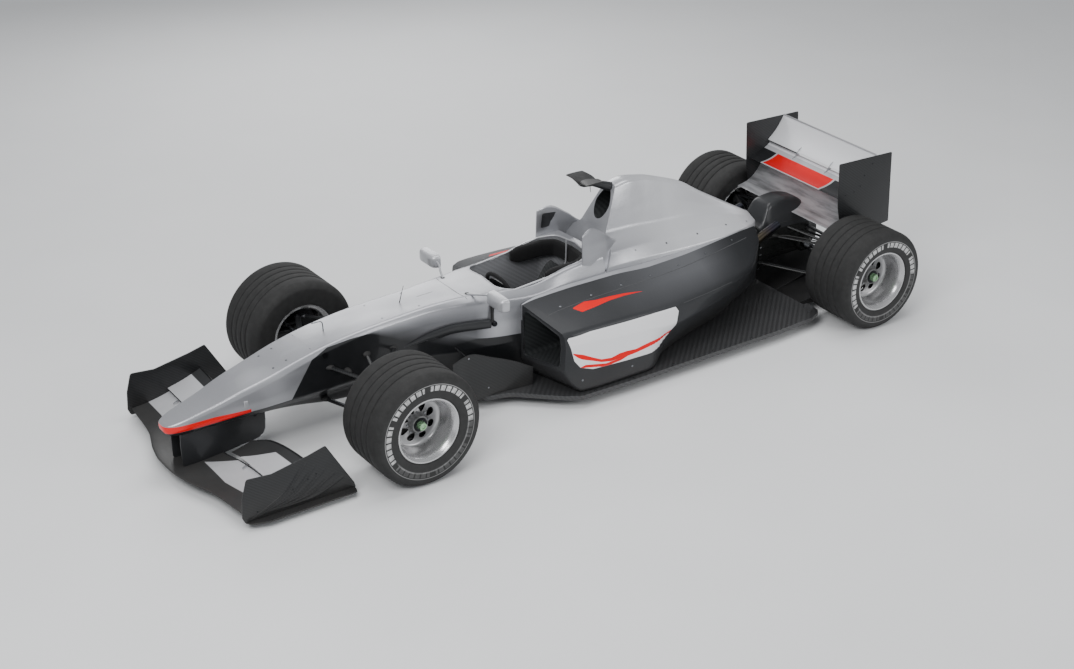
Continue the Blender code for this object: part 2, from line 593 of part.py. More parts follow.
def make_cover(tub_skin, finish):
    """Engine cover with the airbox mouth and the two fins that run forward along the cockpit."""
    cover = loft("engine_cover", [cover_ring(row) for row in COVER_SHARES], finish)
    front_y = car_y(COVER_START_SHARE * TUB_LENGTH)
    for side, label in ((1, "left"), (-1, "right")):
        # Columns: fin sections as shares of COCKPIT_LENGTH ahead of the cover, then shares of
        # TUB_HALF_WIDTH (foot x, top x) and of TUB_RIM_Z (foot z, top z)
        fin_shares = ((-0.23, 0.92, 0.88, 0.980, 1.300), (-0.13, 0.92, 0.81, 0.980, 1.340),
                      (0.06, 0.88, 0.72, 0.980, 1.240), (0.28, 0.74, 0.60, 0.980, 1.100))
        rings = []
        for along_share, foot_share, top_share, foot_z_share, top_z_share in fin_shares:
            y = front_y + along_share * COCKPIT_LENGTH
            thick = CHINE_RADIUS * 0.45
            foot_x = foot_share * TUB_HALF_WIDTH
            top_x = top_share * TUB_HALF_WIDTH
            foot_z = foot_z_share * TUB_RIM_Z
            top_z = top_z_share * TUB_RIM_Z
            outline = [(foot_x + thick, foot_z), (top_x + thick, top_z - thick), (top_x, top_z),
                       (top_x - thick, top_z - thick), (foot_x - thick, foot_z)]
            rings.append([Vector((side * x, y, z)) for x, z in outline])
        boolean(cover, 'UNION', loft(f"fin_{label}", rings, finish))
    boolean(cover, 'DIFFERENCE', tub_skin)
    # The duct starts ahead of the leaning mouth and narrows as it goes back
    rings = []
    # Columns: place as a share of COVER_LENGTH, half width as a share of TUB_HALF_WIDTH, then bottom
    # and top as shares of COVER_TOP_Z
    duct_shares = ((-0.02, 0.25, 0.78, 0.962), (0.22, 0.24, 0.80, 0.955), (0.34, 0.17, 0.83, 0.93))
    for along_share, width_share, low_share, top_share in duct_shares:
        y = front_y + along_share * COVER_LENGTH
        low = low_share * COVER_TOP_Z
        high = top_share * COVER_TOP_Z
        ring = []
        for index in range(12):
            angle = math.tau * index / 12
            narrow = 1 - 0.35 * max(0, math.sin(angle))
            ring.append(Vector((width_share * TUB_HALF_WIDTH * narrow * math.cos(angle), y,
                                (low + high) / 2 + (high - low) / 2 * math.sin(angle))))
        rings.append(ring)
    boolean(cover, 'DIFFERENCE', loft("airbox_duct_cutter", rings, finish))
    return cover


def make_camera_pod(cover_skin, finish):
    """Small swept plate on a stem at the front of the airbox's top."""
    half = TUB_HALF_WIDTH * 0.38
    chord = half * 1.4
    top = COVER_TOP_Z + half * 0.55
    y = car_y(COVER_START_SHARE * TUB_LENGTH) - CHINE_RADIUS
    # Columns: half plan as shares of the half width and of the chord
    plan_shares = ((0.0, 0.15), (1.0, 0.0), (1.05, 0.85), (0.3, 1.0))
    # Columns: the stem's ends as shares of the chord behind the pod's leading edge, and of the half
    # width below the pod's top (first) and below COVER_TOP_Z (second)
    stem_shares = ((0.60, 0.15), (1.75, 0.40))
    plan = [(x * half, y + along * chord) for x, along in plan_shares]
    plan += [(-x, along) for x, along in reversed(plan[1:])]
    outline = [(x, along, top - half * 0.22 + abs(x) * 0.12) for x, along in plan]
    pod = extrude_outline("camera_pod", outline, (0, 0, half * 0.12), finish)
    stem_top = (0, y + chord * stem_shares[0][0], top - half * stem_shares[0][1])
    stem_foot = (0, y + chord * stem_shares[1][0], COVER_TOP_Z - half * stem_shares[1][1])
    stem = rod("camera_stem", stem_top, stem_foot, (half * 0.22, half * 0.3), 8, finish)
    boolean(pod, 'UNION', stem)
    boolean(pod, 'DIFFERENCE', cover_skin)


# Sidepod sections, front to rear.
# Columns: place along POD_LENGTH as a share, then shares of POD_OUTER_X and POD_TOP_Z: inner top z;
# outer top x, z; side x, z; outer foot x, z; inner foot z.
POD_SHARES = (
    (0.000, 0.933, 0.929, 0.783, 0.949, 0.667, 0.937, 0.392, 0.358),
    (0.029, 0.958, 0.952, 0.797, 0.971, 0.667, 0.962, 0.250, 0.217),
    (0.069, 0.980, 0.960, 0.797, 0.984, 0.667, 0.987, 0.150, 0.1422),
    (0.202, 1.000, 0.960, 0.790, 0.987, 0.633, 1.000, 0.1422, 0.1422),
    (0.376, 1.000, 0.957, 0.770, 0.984, 0.600, 0.997, 0.1422, 0.1422),
    (0.503, 0.987, 0.937, 0.750, 0.952, 0.550, 0.762, 0.1422, 0.1422),
    (0.636, 0.987, 0.889, 0.733, 0.857, 0.533, 0.619, 0.1422, 0.1422),
    (0.780, 1.000, 0.810, 0.725, 0.730, 0.517, 0.525, 0.160, 0.160),
    (0.919, 1.020, 0.700, 0.730, 0.620, 0.567, 0.476, 0.300, 0.300),
    (1.000, 1.037, 0.508, 0.900, 0.492, 0.667, 0.476, 0.433, 0.433),
)
POD_SWEEP = 0.23           # the front face runs back towards its outer edge: run over width


def pod_ring(row, side):
    """One section of a sidepod, bolted to the tub's flat side."""
    inner_x = TUB_HALF_WIDTH + FIT_GAP
    y = car_y(POD_FRONT_Y + row[0] * POD_LENGTH)
    sweep = POD_SWEEP * max(0, 1 - row[0] * 3)
    low = FLOOR_TOP_Z + FIT_GAP
    points = [(inner_x, row[1] * POD_TOP_Z), (row[2] * POD_OUTER_X, row[3] * POD_TOP_Z),
              (row[4] * POD_OUTER_X, row[5] * POD_TOP_Z),
              (row[6] * POD_OUTER_X, max(row[7] * POD_TOP_Z, low)),
              (inner_x, max(row[8] * POD_TOP_Z, low))]
    loop = [points[-1], *points, points[0]]
    radii = [POD_SEAM_RADIUS, POD_EDGE_RADIUS, POD_EDGE_RADIUS, POD_FOOT_RADIUS, POD_SEAM_RADIUS]
    ring = round_corners(loop, radii, 2)[1:-1]
    return [Vector((side * x, y + sweep * (x - inner_x), z)) for x, z in ring]


def make_sidepods(finish):
    """Left and right sidepods with their open radiator inlets."""
    for side, label in ((1, "left"), (-1, "right")):
        pod = loft(f"sidepod_{label}", [pod_ring(row, side) for row in POD_SHARES], finish)
        # Columns: inlet corners as shares of POD_OUTER_X and POD_TOP_Z
        inlet_shares = ((0.450, 0.400), (0.450, 0.895), (0.880, 0.755), (0.893, 0.640), (0.880, 0.430))
        centre = sum((Vector(corner) for corner in inlet_shares), Vector((0, 0))) / len(inlet_shares)
        rings = []
        for along_share, size in ((-0.06, 1.0), (0.10, 1.0), (0.24, 0.80)):
            outline = [(centre.x + (x - centre.x) * size, centre.y + (z - centre.y) * size)
                       for x, z in inlet_shares]
            ring = round_outline([(x * POD_OUTER_X, z * POD_TOP_Z) for x, z in outline], CHINE_RADIUS, 2)
            y = car_y(POD_FRONT_Y + along_share * POD_LENGTH)
            rings.append([Vector((side * x, y + POD_SWEEP * (x - TUB_HALF_WIDTH), z)) for x, z in ring])
        boolean(pod, 'DIFFERENCE', loft(f"inlet_cutter_{label}", rings, finish))


def make_floor(finish):
    """Stepped floor with its plank; the leading edges sweep forward to the tub."""
    # Columns: half outline as shares of POD_OUTER_X, and of WHEELBASE behind the front axle
    edge_shares = ((0.45, 0.200), (0.54, 0.216), (0.60, 0.258), (0.94, 0.328), (1.025, 0.355), (1.04, 0.46),
                   (1.03, 0.80), (1.00, 0.893), (0.92, 0.921), (0.73, 0.926), (0.73, FLOOR_END_SHARE))
    half = [Vector((0, car_y(0.19 * WHEELBASE)))]
    half += [Vector((x * POD_OUTER_X, car_y(y * WHEELBASE))) for x, y in edge_shares]
    half.append(Vector((0, car_y(FLOOR_END_SHARE * WHEELBASE))))
    outline = [(x, y, FLOOR_TOP_Z - FLOOR_THICKNESS) for x, y in mirrored_ring(half)]
    floor = extrude_outline("floor", outline, (0, 0, FLOOR_THICKNESS), finish)
    low = FLOOR_TOP_Z - FLOOR_THICKNESS
    plank = box("plank", (-PLANK_HALF_WIDTH, car_y(PLANK_START_SHARE * WHEELBASE), low - PLANK_DROP),
                (PLANK_HALF_WIDTH, car_y(PLANK_END_SHARE * WHEELBASE), low + FLOOR_THICKNESS / 2),
                finish)
    boolean(floor, 'UNION', plank)


def make_diffuser(finish):
    """Upswept tunnels behind the floor, drawn as one comb-like section that grows towards the tail."""
    tunnel = PLANK_HALF_WIDTH * 1.3
    outer = REAR_HALF_WIDTH - TYRE_WIDTH - DIFFUSER_TYRE_GAP
    skin = FLOOR_THICKNESS * 0.3
    fence = FLOOR_THICKNESS * 0.12
    inner_fence = PLANK_HALF_WIDTH / 2
    rings = []
    # Columns: place as a share of WHEELBASE, middle roof, side roof and fence foot as shares of FLOOR_TOP_Z
    comb_shares = ((FLOOR_END_SHARE, 1.0, 1.0, 0.70), (0.960, 1.35, 1.20, 0.66),
                   (1.010, 1.90, 1.50, 0.70), (1.052, 2.40, 1.85, 0.80))
    for y_share, roof_share, side_share, foot_share in comb_shares:
        y = car_y(y_share * WHEELBASE) + FIT_GAP
        roof = roof_share * FLOOR_TOP_Z
        side_roof = side_share * FLOOR_TOP_Z
        foot = foot_share * FLOOR_TOP_Z
        half = [(0, roof), (tunnel, roof), (tunnel + fence, side_roof), (outer, side_roof), (outer, foot),
                (outer - 2 * fence, foot), (outer - 2 * fence, side_roof - skin),
                (tunnel + fence, side_roof - skin), (tunnel + fence, foot), (tunnel - fence, foot),
                (tunnel - fence, roof - skin), (inner_fence + fence, roof - skin),
                (inner_fence + fence, foot),
                (inner_fence - fence, foot), (inner_fence - fence, roof - skin), (0, roof - skin)]
        rings.append(mirrored_ring([Vector((x, y, z)) for x, z in half]))
    loft("diffuser", rings, finish, smooth=False)


def make_bargeboards(finish):
    """Curved turning vanes that stand on the floor ahead of the sidepods."""
    for side, label in ((1, "left"), (-1, "right")):
        rings = []
        # Columns: place as a share of WHEELBASE, x as a share of POD_OUTER_X, foot and top as shares of
        # POD_TOP_Z; a foot of 0 stands on the floor
        vane_shares = ((0.146, 0.545, 0.260, 0.600), (0.180, 0.530, 0, 0.640), (0.230, 0.535, 0, 0.540),
                       (0.280, 0.560, 0, 0.420), (0.308, 0.580, 0, 0.330))
        for y_share, x_share, low_share, top_share in vane_shares:
            y = car_y(y_share * WHEELBASE)
            x = x_share * POD_OUTER_X
            low = max(low_share * POD_TOP_Z, FLOOR_TOP_Z + FIT_GAP)
            top = top_share * POD_TOP_Z
            thick = FLOOR_THICKNESS * 0.2
            section = ((x, low), (x + thick, low), (x + thick, top), (x, top))
            rings.append([Vector((side * across, y, z)) for across, z in section])
        loft(f"bargeboard_{label}", rings, finish, smooth=False)


# Gearbox and rear crash structure sections, front to rear.
# Columns: place from the tub's bulkhead (0) to GEARBOX_REACH behind the rear axle (1) is worked out
# below; then shares of GEARBOX_HALF_WIDTH and GEARBOX_TOP_Z: top z; top x; side x, upper z, lower z;
# foot x, z.
GEARBOX_SHARES = (
    (0.000, 0.700, 1.00, 1.35, 0.600, 0.250, 1.10, 0.140),
    (0.310, 0.735, 0.90, 1.05, 0.640, 0.300, 0.90, 0.190),
    (0.500, 0.772, 0.75, 1.00, 0.700, 0.380, 0.75, 0.330),
    (0.590, 0.975, 0.62, 1.00, 0.720, 0.420, 0.70, 0.400),
    (0.700, 1.000, 0.55, 1.00, 0.720, 0.420, 0.68, 0.400),
    (0.805, 0.970, 0.50, 1.00, 0.720, 0.420, 0.66, 0.400),
    (0.890, 0.890, 0.46, 1.00, 0.700, 0.420, 0.64, 0.400),
    (0.935, 0.765, 0.45, 0.86, 0.660, 0.440, 0.58, 0.420),
    (1.000, 0.715, 0.45, 0.70, 0.640, 0.480, 0.50, 0.460),
)


def gearbox_ring(row, grow=0.0):
    """One section of the gearbox casing."""
    front = car_y(TUB_LENGTH + ENGINE_LENGTH + 2 * FIT_GAP)
    rear = REAR_AXLE_Y + GEARBOX_REACH
    y = front + row[0] * (rear - front)
    width = GEARBOX_HALF_WIDTH
    high = GEARBOX_TOP_Z
    half = [(0, row[1] * high), (row[2] * width, row[1] * high - CHINE_RADIUS / 3),
            (row[3] * width, row[4] * high), (row[3] * width, row[5] * high),
            (row[6] * width, row[7] * high), (0, row[7] * high)]
    half = round_corners(half, [CHINE_RADIUS / 2] * 4, 1)
    return fatten(mirrored_ring([Vector((x, y, z)) for x, z in half]), grow)


def make_gearbox(metal):
    """Casing behind the engine whose humped tail is the crash structure."""
    return loft("gearbox", [gearbox_ring(row) for row in GEARBOX_SHARES], metal)


def make_rear_suspension(side, label, gearbox_skin, finish, metal):
    """Wishbones, track link, upright and driveshaft of one rear corner."""
    hub_z = REAR_TYRE_RADIUS
    centre_x = wheel_centre_x("rear")
    hub_x = centre_x - HUB_FACE
    face_x = hub_x - CARRIER_RADIUS / 8
    body_x = face_x - 1.6 * CARRIER_RADIUS
    shaft = STUB_AXLE_RADIUS
    inner_face = (side * body_x, REAR_AXLE_Y, hub_z)
    upright = rod(f"rear_upright_{label}", inner_face, (side * face_x, REAR_AXLE_Y, hub_z),
                  (CARRIER_RADIUS, CARRIER_RADIUS), 16, metal)
    pillar = box(f"rear_pillar_{label}",
                 (min(side * body_x, side * (body_x + CARRIER_RADIUS)), REAR_AXLE_Y - CARRIER_RADIUS / 2,
                  hub_z - KINGPIN_HALF_HEIGHT),
                 (max(side * body_x, side * (body_x + CARRIER_RADIUS)), REAR_AXLE_Y + CARRIER_RADIUS / 2,
                  hub_z + KINGPIN_HALF_HEIGHT), metal)
    boolean(upright, 'UNION', pillar)
    bore = rod(f"rear_bore_cutter_{label}", (side * (body_x - shaft), REAR_AXLE_Y, hub_z),
               (side * (face_x + shaft), REAR_AXLE_Y, hub_z),
               (shaft + BEARING_GAP, shaft + BEARING_GAP), 14, metal)
    boolean(upright, 'DIFFERENCE', bore)
    shaft_end = centre_x + HUB_BORE_END - FIT_GAP
    rod(f"driveshaft_{label}", (side * (GEARBOX_HALF_WIDTH + SEAT_GAP), REAR_AXLE_Y, hub_z),
        (side * shaft_end, REAR_AXLE_Y, hub_z), (shaft, shaft), 14, metal)

    # Columns: leg's inner end as shares of the tyre radius behind the axle (y) and above the floor (z)
    upper_leg_shares = ((-0.85, 1.33), (0.12, 1.33))
    lower_leg_shares = ((-1.25, 0.86), (0.10, 0.90))
    outer_x = body_x + CARRIER_RADIUS / 2
    rise = KINGPIN_HALF_HEIGHT + BALL_HOUSING_HEIGHT / 2 + FIT_GAP
    for level, z, leg_shares in (("upper", hub_z + rise, upper_leg_shares),
                                 ("lower", hub_z - rise, lower_leg_shares)):
        name = f"rear_{level}_wishbone_{label}"
        low = (side * outer_x, REAR_AXLE_Y, z - BALL_HOUSING_HEIGHT / 2)
        high = (side * outer_x, REAR_AXLE_Y, z + BALL_HOUSING_HEIGHT / 2)
        arm = rod(name, low, high, (BALL_HOUSING_RADIUS, BALL_HOUSING_RADIUS), 10, finish)
        for number, (y_share, z_share) in enumerate(leg_shares):
            inner = (side * GEARBOX_HALF_WIDTH / 2, REAR_AXLE_Y + y_share * REAR_TYRE_RADIUS,
                     z_share * REAR_TYRE_RADIUS)
            leg = rod(f"{name}_leg_{number}", (side * outer_x, REAR_AXLE_Y, z), inner,
                      (LEG_CHORD / 2, LEG_CHORD / 2), 8, finish, LEG_THICKNESS * 0.9 / LEG_CHORD)
            boolean(arm, 'UNION', leg)
        boolean(arm, 'DIFFERENCE', gearbox_skin)


def wing_section(chord_start, chord_end, thickness, camber):
    """Closed aerofoil outline in (y, z) from leading to trailing edge; camber bows it downward."""
    start = Vector(chord_start)
    along = Vector(chord_end) - start
    across = Vector((-along.y, along.x)).normalized()
    # Columns: share of the chord, half thickness share, camber share
    shape_shares = ((0.0, 0.0, 0.0), (0.06, 0.62, 0.25), (0.25, 1.0, 0.80), (0.55, 0.85, 1.0),
                    (1.0, 0.08, 0.0))
    upper = []
    lower = []
    for along_share, thick_share, camber_share in shape_shares:
        middle = start + along * along_share - across * camber * camber_share
        upper.append(middle + across * thickness / 2 * thick_share)
        lower.append(middle - across * thickness / 2 * thick_share)
    return [*upper, *reversed(lower[1:])]


def make_wing(name, stations, finish):
    """Skin aerofoil sections; a station is x, leading (y, z), trailing (y, z), thickness and camber."""
    rings = []
    for x, leading, trailing, thickness, camber in stations:
        rings.append([Vector((x, y, z)) for y, z in wing_section(leading, trailing, thickness, camber)])
    return loft(name, rings, finish)


def make_front_wing(nose_skin, silver, dark):
    """Main plane under the nose with its two pylons, the flaps and the endplates with their feet."""
    span = FRONT_WING_HALF_SPAN
    front = -NOSE_REACH
    # Columns: x as a share of the half span, leading y, z and trailing y, z: y as shares of NOSE_REACH
    # ahead of the axle, z as shares of TUB_RIM_Z. The leading edge bows forward to the nose tip.
    half_shares = ((0.10, 0.998, 0.118, 0.720, 0.138), (0.30, 0.975, 0.114, 0.700, 0.152),
                   (0.58, 0.920, 0.112, 0.685, 0.162), (1.00, 0.890, 0.112, 0.680, 0.173))
    main_shares = [(-row[0], *row[1:]) for row in reversed(half_shares)] + list(half_shares)
    stations = []
    for x_share, lead_share, lead_z_share, trail_share, trail_z_share in main_shares:
        stations.append((x_share * span, (car_y(lead_share * front), lead_z_share * TUB_RIM_Z),
                         (car_y(trail_share * front), trail_z_share * TUB_RIM_Z), FRONT_WING_THICKNESS,
                         FRONT_WING_THICKNESS * 0.9))
    wing = make_wing("front_wing", stations, silver)
    for side, label in ((1, "left"), (-1, "right")):
        # Columns: pylon corners: y as shares of NOSE_REACH ahead of the axle, z as shares of TUB_RIM_Z
        pylon_shares = ((0.930, 0.111), (0.935, 0.466), (0.446, 0.466), (0.448, 0.220), (0.470, 0.175),
                        (0.520, 0.150), (0.640, 0.146), (0.780, 0.116))
        x = side * PLANK_HALF_WIDTH * 0.4 - FRONT_WING_PLATE / 2
        outline = [(x, car_y(y_share * front), z_share * TUB_RIM_Z) for y_share, z_share in pylon_shares]
        boolean(wing, 'UNION', extrude_outline(f"pylon_{label}", outline, (FRONT_WING_PLATE, 0, 0), silver))
    boolean(wing, 'DIFFERENCE', nose_skin)
    for side, label in ((1, "left"), (-1, "right")):
        # Columns as for the main plane
        flap_shares = ((0.16, 0.700, 0.162, 0.600, 0.205), (0.32, 0.695, 0.186, 0.535, 0.252),
                       (1.00, 0.690, 0.207, 0.505, 0.312))
        stations = []
        for x_share, lead_share, lead_z_share, trail_share, trail_z_share in flap_shares:
            stations.append((side * x_share * span, (car_y(lead_share * front), lead_z_share * TUB_RIM_Z),
                             (car_y(trail_share * front), trail_z_share * TUB_RIM_Z), FRONT_FLAP_THICKNESS,
                             FRONT_FLAP_THICKNESS * 0.9))
        make_wing(f"front_flap_{label}", stations, silver)
        # Columns: endplate corners: y as shares of NOSE_REACH ahead of the axle, z as shares of TUB_RIM_Z
        plate_shares = ((0.878, 0.444), (0.905, 0.276), (0.910, 0.110), (0.895, 0.052), (0.320, 0.052),
                        (0.330, 0.104), (0.470, 0.518), (0.560, 0.480), (0.750, 0.423))
        x = side * (span + FIT_GAP)
        outline = [(x, car_y(y_share * front), z_share * TUB_RIM_Z) for y_share, z_share in plate_shares]
        plate = extrude_outline(f"front_endplate_{label}", outline, (side * FRONT_WING_PLATE, 0, 0), dark)
        # Columns: foot plan as shares of NOSE_REACH: outward reach and y ahead of the axle
        foot_shares = ((0.0, 0.895), (0.030, 0.880), (0.055, 0.800), (0.055, 0.340), (0.0, 0.325))
        low = plate_shares[4][1] * TUB_RIM_Z
        outline = [(x + side * reach * NOSE_REACH, car_y(y_share * front), low)
                   for reach, y_share in foot_shares]
        foot = extrude_outline(f"front_foot_{label}", outline, (0, 0, FRONT_WING_PLATE), dark)
        boolean(plate, 'UNION', foot)


def make_rear_wing(gearbox_skin, silver, dark):
    """Two upper elements and a lower beam in halves, between tall endplates."""
    span = REAR_WING_HALF_SPAN
    # Columns: piece, leading y and z, trailing y and z, as shares of REAR_OVERHANG behind the rear axle
    # and of COVER_TOP_Z, thickness and camber as shares of REAR_OVERHANG
    element_shares = (("rear_wing_main", -0.030, 0.690, 0.400, 0.748, 0.070, 0.070),
                      ("rear_wing_flap", 0.360, 0.770, 0.660, 0.912, 0.045, 0.045))
    for name, lead_y, lead_z, trail_y, trail_z, thick, camber in element_shares:
        leading = (REAR_AXLE_Y + lead_y * REAR_OVERHANG, lead_z * COVER_TOP_Z)
        trailing = (REAR_AXLE_Y + trail_y * REAR_OVERHANG, trail_z * COVER_TOP_Z)
        stations = [(x, leading, trailing, thick * REAR_OVERHANG, camber * REAR_OVERHANG)
                    for x in (-span, span)]
        make_wing(name, stations, silver)
    for side, label in ((1, "left"), (-1, "right")):
        leading = (REAR_AXLE_Y - 0.22 * REAR_OVERHANG, 0.515 * COVER_TOP_Z)
        trailing = (REAR_AXLE_Y + 0.26 * REAR_OVERHANG, 0.645 * COVER_TOP_Z)
        stations = [(x, leading, trailing, 0.050 * REAR_OVERHANG, 0.11 * REAR_OVERHANG)
                    for x in (side * GEARBOX_HALF_WIDTH / 5, side * span)]
        beam = make_wing(f"rear_beam_wing_{label}", stations, silver)
        boolean(beam, 'DIFFERENCE', gearbox_skin)
        # Columns: endplate corners as shares of REAR_OVERHANG behind the rear axle, and of COVER_TOP_Z
        plate_shares = ((-0.09, 0.920), (-0.06, 0.640), (0.04, 0.452), (0.60, 0.440), (1.00, 0.455),
                        (0.96, 0.906))
        x = side * (span + FIT_GAP)
        outline = [(x, REAR_AXLE_Y + y_share * REAR_OVERHANG, z_share * COVER_TOP_Z)
                   for y_share, z_share in plate_shares]
        extrude_outline(f"rear_endplate_{label}", outline, (side * REAR_WING_PLATE, 0, 0), dark)


def make_cockpit_parts(pad, shell):
    """Driver's seat and the padded horseshoe round the back of the opening."""
    # Columns: seat profile as shares of COCKPIT_LENGTH behind the opening's front, and of TUB_RIM_Z
    floor_share = (COCKPIT_FLOOR_Z + FIT_GAP) / TUB_RIM_Z
    seat_shares = ((0.16, floor_share), (0.60, floor_share), (0.92, 0.76), (0.89, 0.85), (0.81, 0.84),
                   (0.56, 0.32), (0.46, 0.245), (0.22, 0.245), (0.18, 0.29), (0.15, 0.27))
    half = COCKPIT_HALF_WIDTH * 0.72
    outline = [(-half, car_y(COCKPIT_FRONT_Y + y_share * COCKPIT_LENGTH), z_share * TUB_RIM_Z)
               for y_share, z_share in seat_shares]
    seat = extrude_outline("seat", outline, (2 * half, 0, 0), shell)
    low = TUB_RIM_Z * 0.885
    outer = [point for point in cockpit_outline(2 * FIT_GAP, low)
             if point.y > car_y(COCKPIT_FRONT_Y + COCKPIT_LENGTH / 3)]
    pad_depth = COCKPIT_HALF_WIDTH / 4
    right_way = sorted((point for point in outer if point.x >= 0), key=lambda point: (point.y, -point.x))
    front_y = right_way[0].y
    inner = [Vector((max(point.x - pad_depth, 0), point.y - pad_depth * (point.y > front_y), point.z))
             for point in right_way]
    ring = [*right_way, *[Vector((-point.x, point.y, point.z)) for point in reversed(right_way[:-1])],
            *[Vector((-point.x, point.y, point.z)) for point in inner[:-1]], *reversed(inner)]
    extrude_outline("headrest", ring, (0, 0, TUB_RIM_Z * 0.15), pad)
    return seat


def make_mirrors(tub_skin, finish):
    """Mirror housings on thin stalks from the tub's shoulders."""
    half_width = COCKPIT_HALF_WIDTH * 0.45
    for side, label in ((1, "left"), (-1, "right")):
        centre = Vector((side * TUB_HALF_WIDTH * 1.374, car_y(TUB_LENGTH * 0.414), TUB_RIM_Z * 1.023))
        # Columns: housing sections front to rear: place and size as shares of the housing's half width
        height_share = 0.46
        corner_share = 0.3
        rings = []
        for along_share, size_share in ((-0.32, 0.62), (-0.15, 0.92), (0.32, 1.0)):
            high_share = size_share * height_share
            ring = round_outline([(-size_share, -high_share), (size_share, -high_share),
                                  (size_share, high_share), (-size_share, high_share)], corner_share, 1)
            rings.append([centre + Vector((x * half_width, along_share * half_width, z * half_width))
                          for x, z in ring])
        mirror = loft(f"mirror_{label}", rings, finish)
        stalk_end = centre - Vector((side * TUB_HALF_WIDTH * 0.9, half_width * 0.6, TUB_RIM_Z * 0.06))
        stalk = rod(f"mirror_stalk_{label}", centre - Vector((0, 0, half_width * 0.2)), stalk_end,
                    (half_width * 0.08, half_width * 0.08), 8, finish)
        boolean(mirror, 'UNION', stalk)
        boolean(mirror, 'DIFFERENCE', tub_skin)


def make_tail_details(metal, lens):
    """Exhaust pipes beside the gearbox and the rain light on the crash structure's end."""
    for side, label in ((1, "left"), (-1, "right")):
        start_y = car_y(TUB_LENGTH + ENGINE_LENGTH + 3 * FIT_GAP)
        radius = GEARBOX_HALF_WIDTH * 0.24
        # Columns: route as shares: x of GEARBOX_HALF_WIDTH, y along the gearbox bay, z of GEARBOX_TOP_Z
        route_shares = ((1.62, 0.0, 0.62), (1.62, 0.30, 0.66), (1.52, 0.52, 0.76), (1.45, 0.66, 0.82))
        bay = REAR_AXLE_Y - start_y
        points = [Vector((side * x * GEARBOX_HALF_WIDTH, start_y + y * bay, z * GEARBOX_TOP_Z))
                  for x, y, z in route_shares]
        turns = [math.tau * index / 10 for index in range(10)]
        circle = [Vector((radius * math.cos(turn), 0, radius * math.sin(turn))) for turn in turns]
        rings = [[point + spoke for spoke in circle] for point in points]
        pipe = loft(f"exhaust_{label}", rings, metal)
        mouth = points[-1] + Vector((0, radius / 4, 0))
        bore = rod(f"exhaust_bore_{label}", mouth, mouth - Vector((0, radius * 3, radius / 2)),
                   (radius * 0.85, radius * 0.7), 10, metal)
        boolean(pipe, 'DIFFERENCE', bore)
    half = GEARBOX_HALF_WIDTH * 0.3
    y = REAR_AXLE_Y + GEARBOX_REACH + FIT_GAP
    z = GEARBOX_TOP_Z * 0.6
    box("rain_light", (-half, y, z - half * 0.9), (half, y + half, z + half * 0.9), lens)


def build_car():
    """Model every piece, joined and cut to its neighbours."""
    for piece in list(bpy.data.objects):
        bpy.data.objects.remove(piece, do_unlink=True)
    silver = make_material("silver_paint", (0.55, 0.55, 0.57), 0.30, 0.5)
    dark = make_material("charcoal_paint", (0.05, 0.05, 0.055), 0.35, 0.2)
    carbon = make_material("bare_carbon", (0.02, 0.02, 0.02), 0.40, 0.0)
    metal = make_material("machined_metal", (0.40, 0.40, 0.42), 0.35, 1.0)
    casting = make_material("magnesium_casting", (0.08, 0.08, 0.08), 0.55, 0.6)
    wheel_paint = make_material("wheel_silver", (0.60, 0.60, 0.60), 0.25, 0.9)
    rubber = make_material("tyre_rubber", (0.03, 0.03, 0.03), 0.80, 0.0)
    pad = make_material("black_padding", (0.02, 0.02, 0.02), 0.90, 0.0)
    lens = make_material("red_lens", (0.50, 0.02, 0.02), 0.20, 0.0)

    tub_skin = loft("tub_skin_cutter", tub_rings(SEAT_GAP), carbon)
    nose_skin_rings = [body_ring(row, SEAT_GAP) for row in BODY_SHARES[:NOSE_JOINT_ROW]]
    joint_row = BODY_SHARES[NOSE_JOINT_ROW]
    nose_skin_rings.append(body_ring(joint_row, SEAT_GAP, lean=NOSE_JOINT_LEAN, shift=SEAT_GAP))
    nose_skin = loft("nose_skin_cutter", nose_skin_rings, carbon)
    cover_skin = loft("cover_skin_cutter", [cover_ring(row, SEAT_GAP) for row in COVER_SHARES], carbon)
    gearbox_rings = [gearbox_ring(row, SEAT_GAP) for row in GEARBOX_SHARES]
    gearbox_skin = loft("gearbox_skin_cutter", gearbox_rings, carbon)
    for guide in (tub_skin, nose_skin, cover_skin, gearbox_skin):
        make_guide(guide)

    make_tub(silver)
    loft("nose_cone", nose_rings(), silver)
    make_cover(tub_skin, silver)
    make_camera_pod(cover_skin, dark)
    make_sidepods(dark)
    make_floor(dark)
    make_diffuser(carbon)
    make_bargeboards(dark)
    engine_front = car_y(TUB_LENGTH + FIT_GAP)
    box("engine", (-ENGINE_HALF_WIDTH, engine_front, FLOOR_TOP_Z + FIT_GAP),
        (ENGINE_HALF_WIDTH, engine_front + ENGINE_LENGTH, COVER_UNDERSIDE_Z - FIT_GAP), casting)
    make_gearbox(casting)
    make_cockpit_parts(pad, carbon)
    make_mirrors(tub_skin, silver)
    make_tail_details(metal, lens)
    for side, label in ((1, "left"), (-1, "right")):
        make_front_suspension(side, label, tub_skin, carbon, casting)
        make_rear_suspension(side, label, gearbox_skin, carbon, casting)
    make_steering_rack(metal)
    make_steering_wheel(pad, metal)
    make_wheels(rubber, wheel_paint)
    make_front_wing(nose_skin, silver, dark)
    make_rear_wing(gearbox_skin, silver, dark)


build_car()
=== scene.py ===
import functools
import math

import bmesh
import bpy
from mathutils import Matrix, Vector
from mathutils.bvhtree import BVHTree


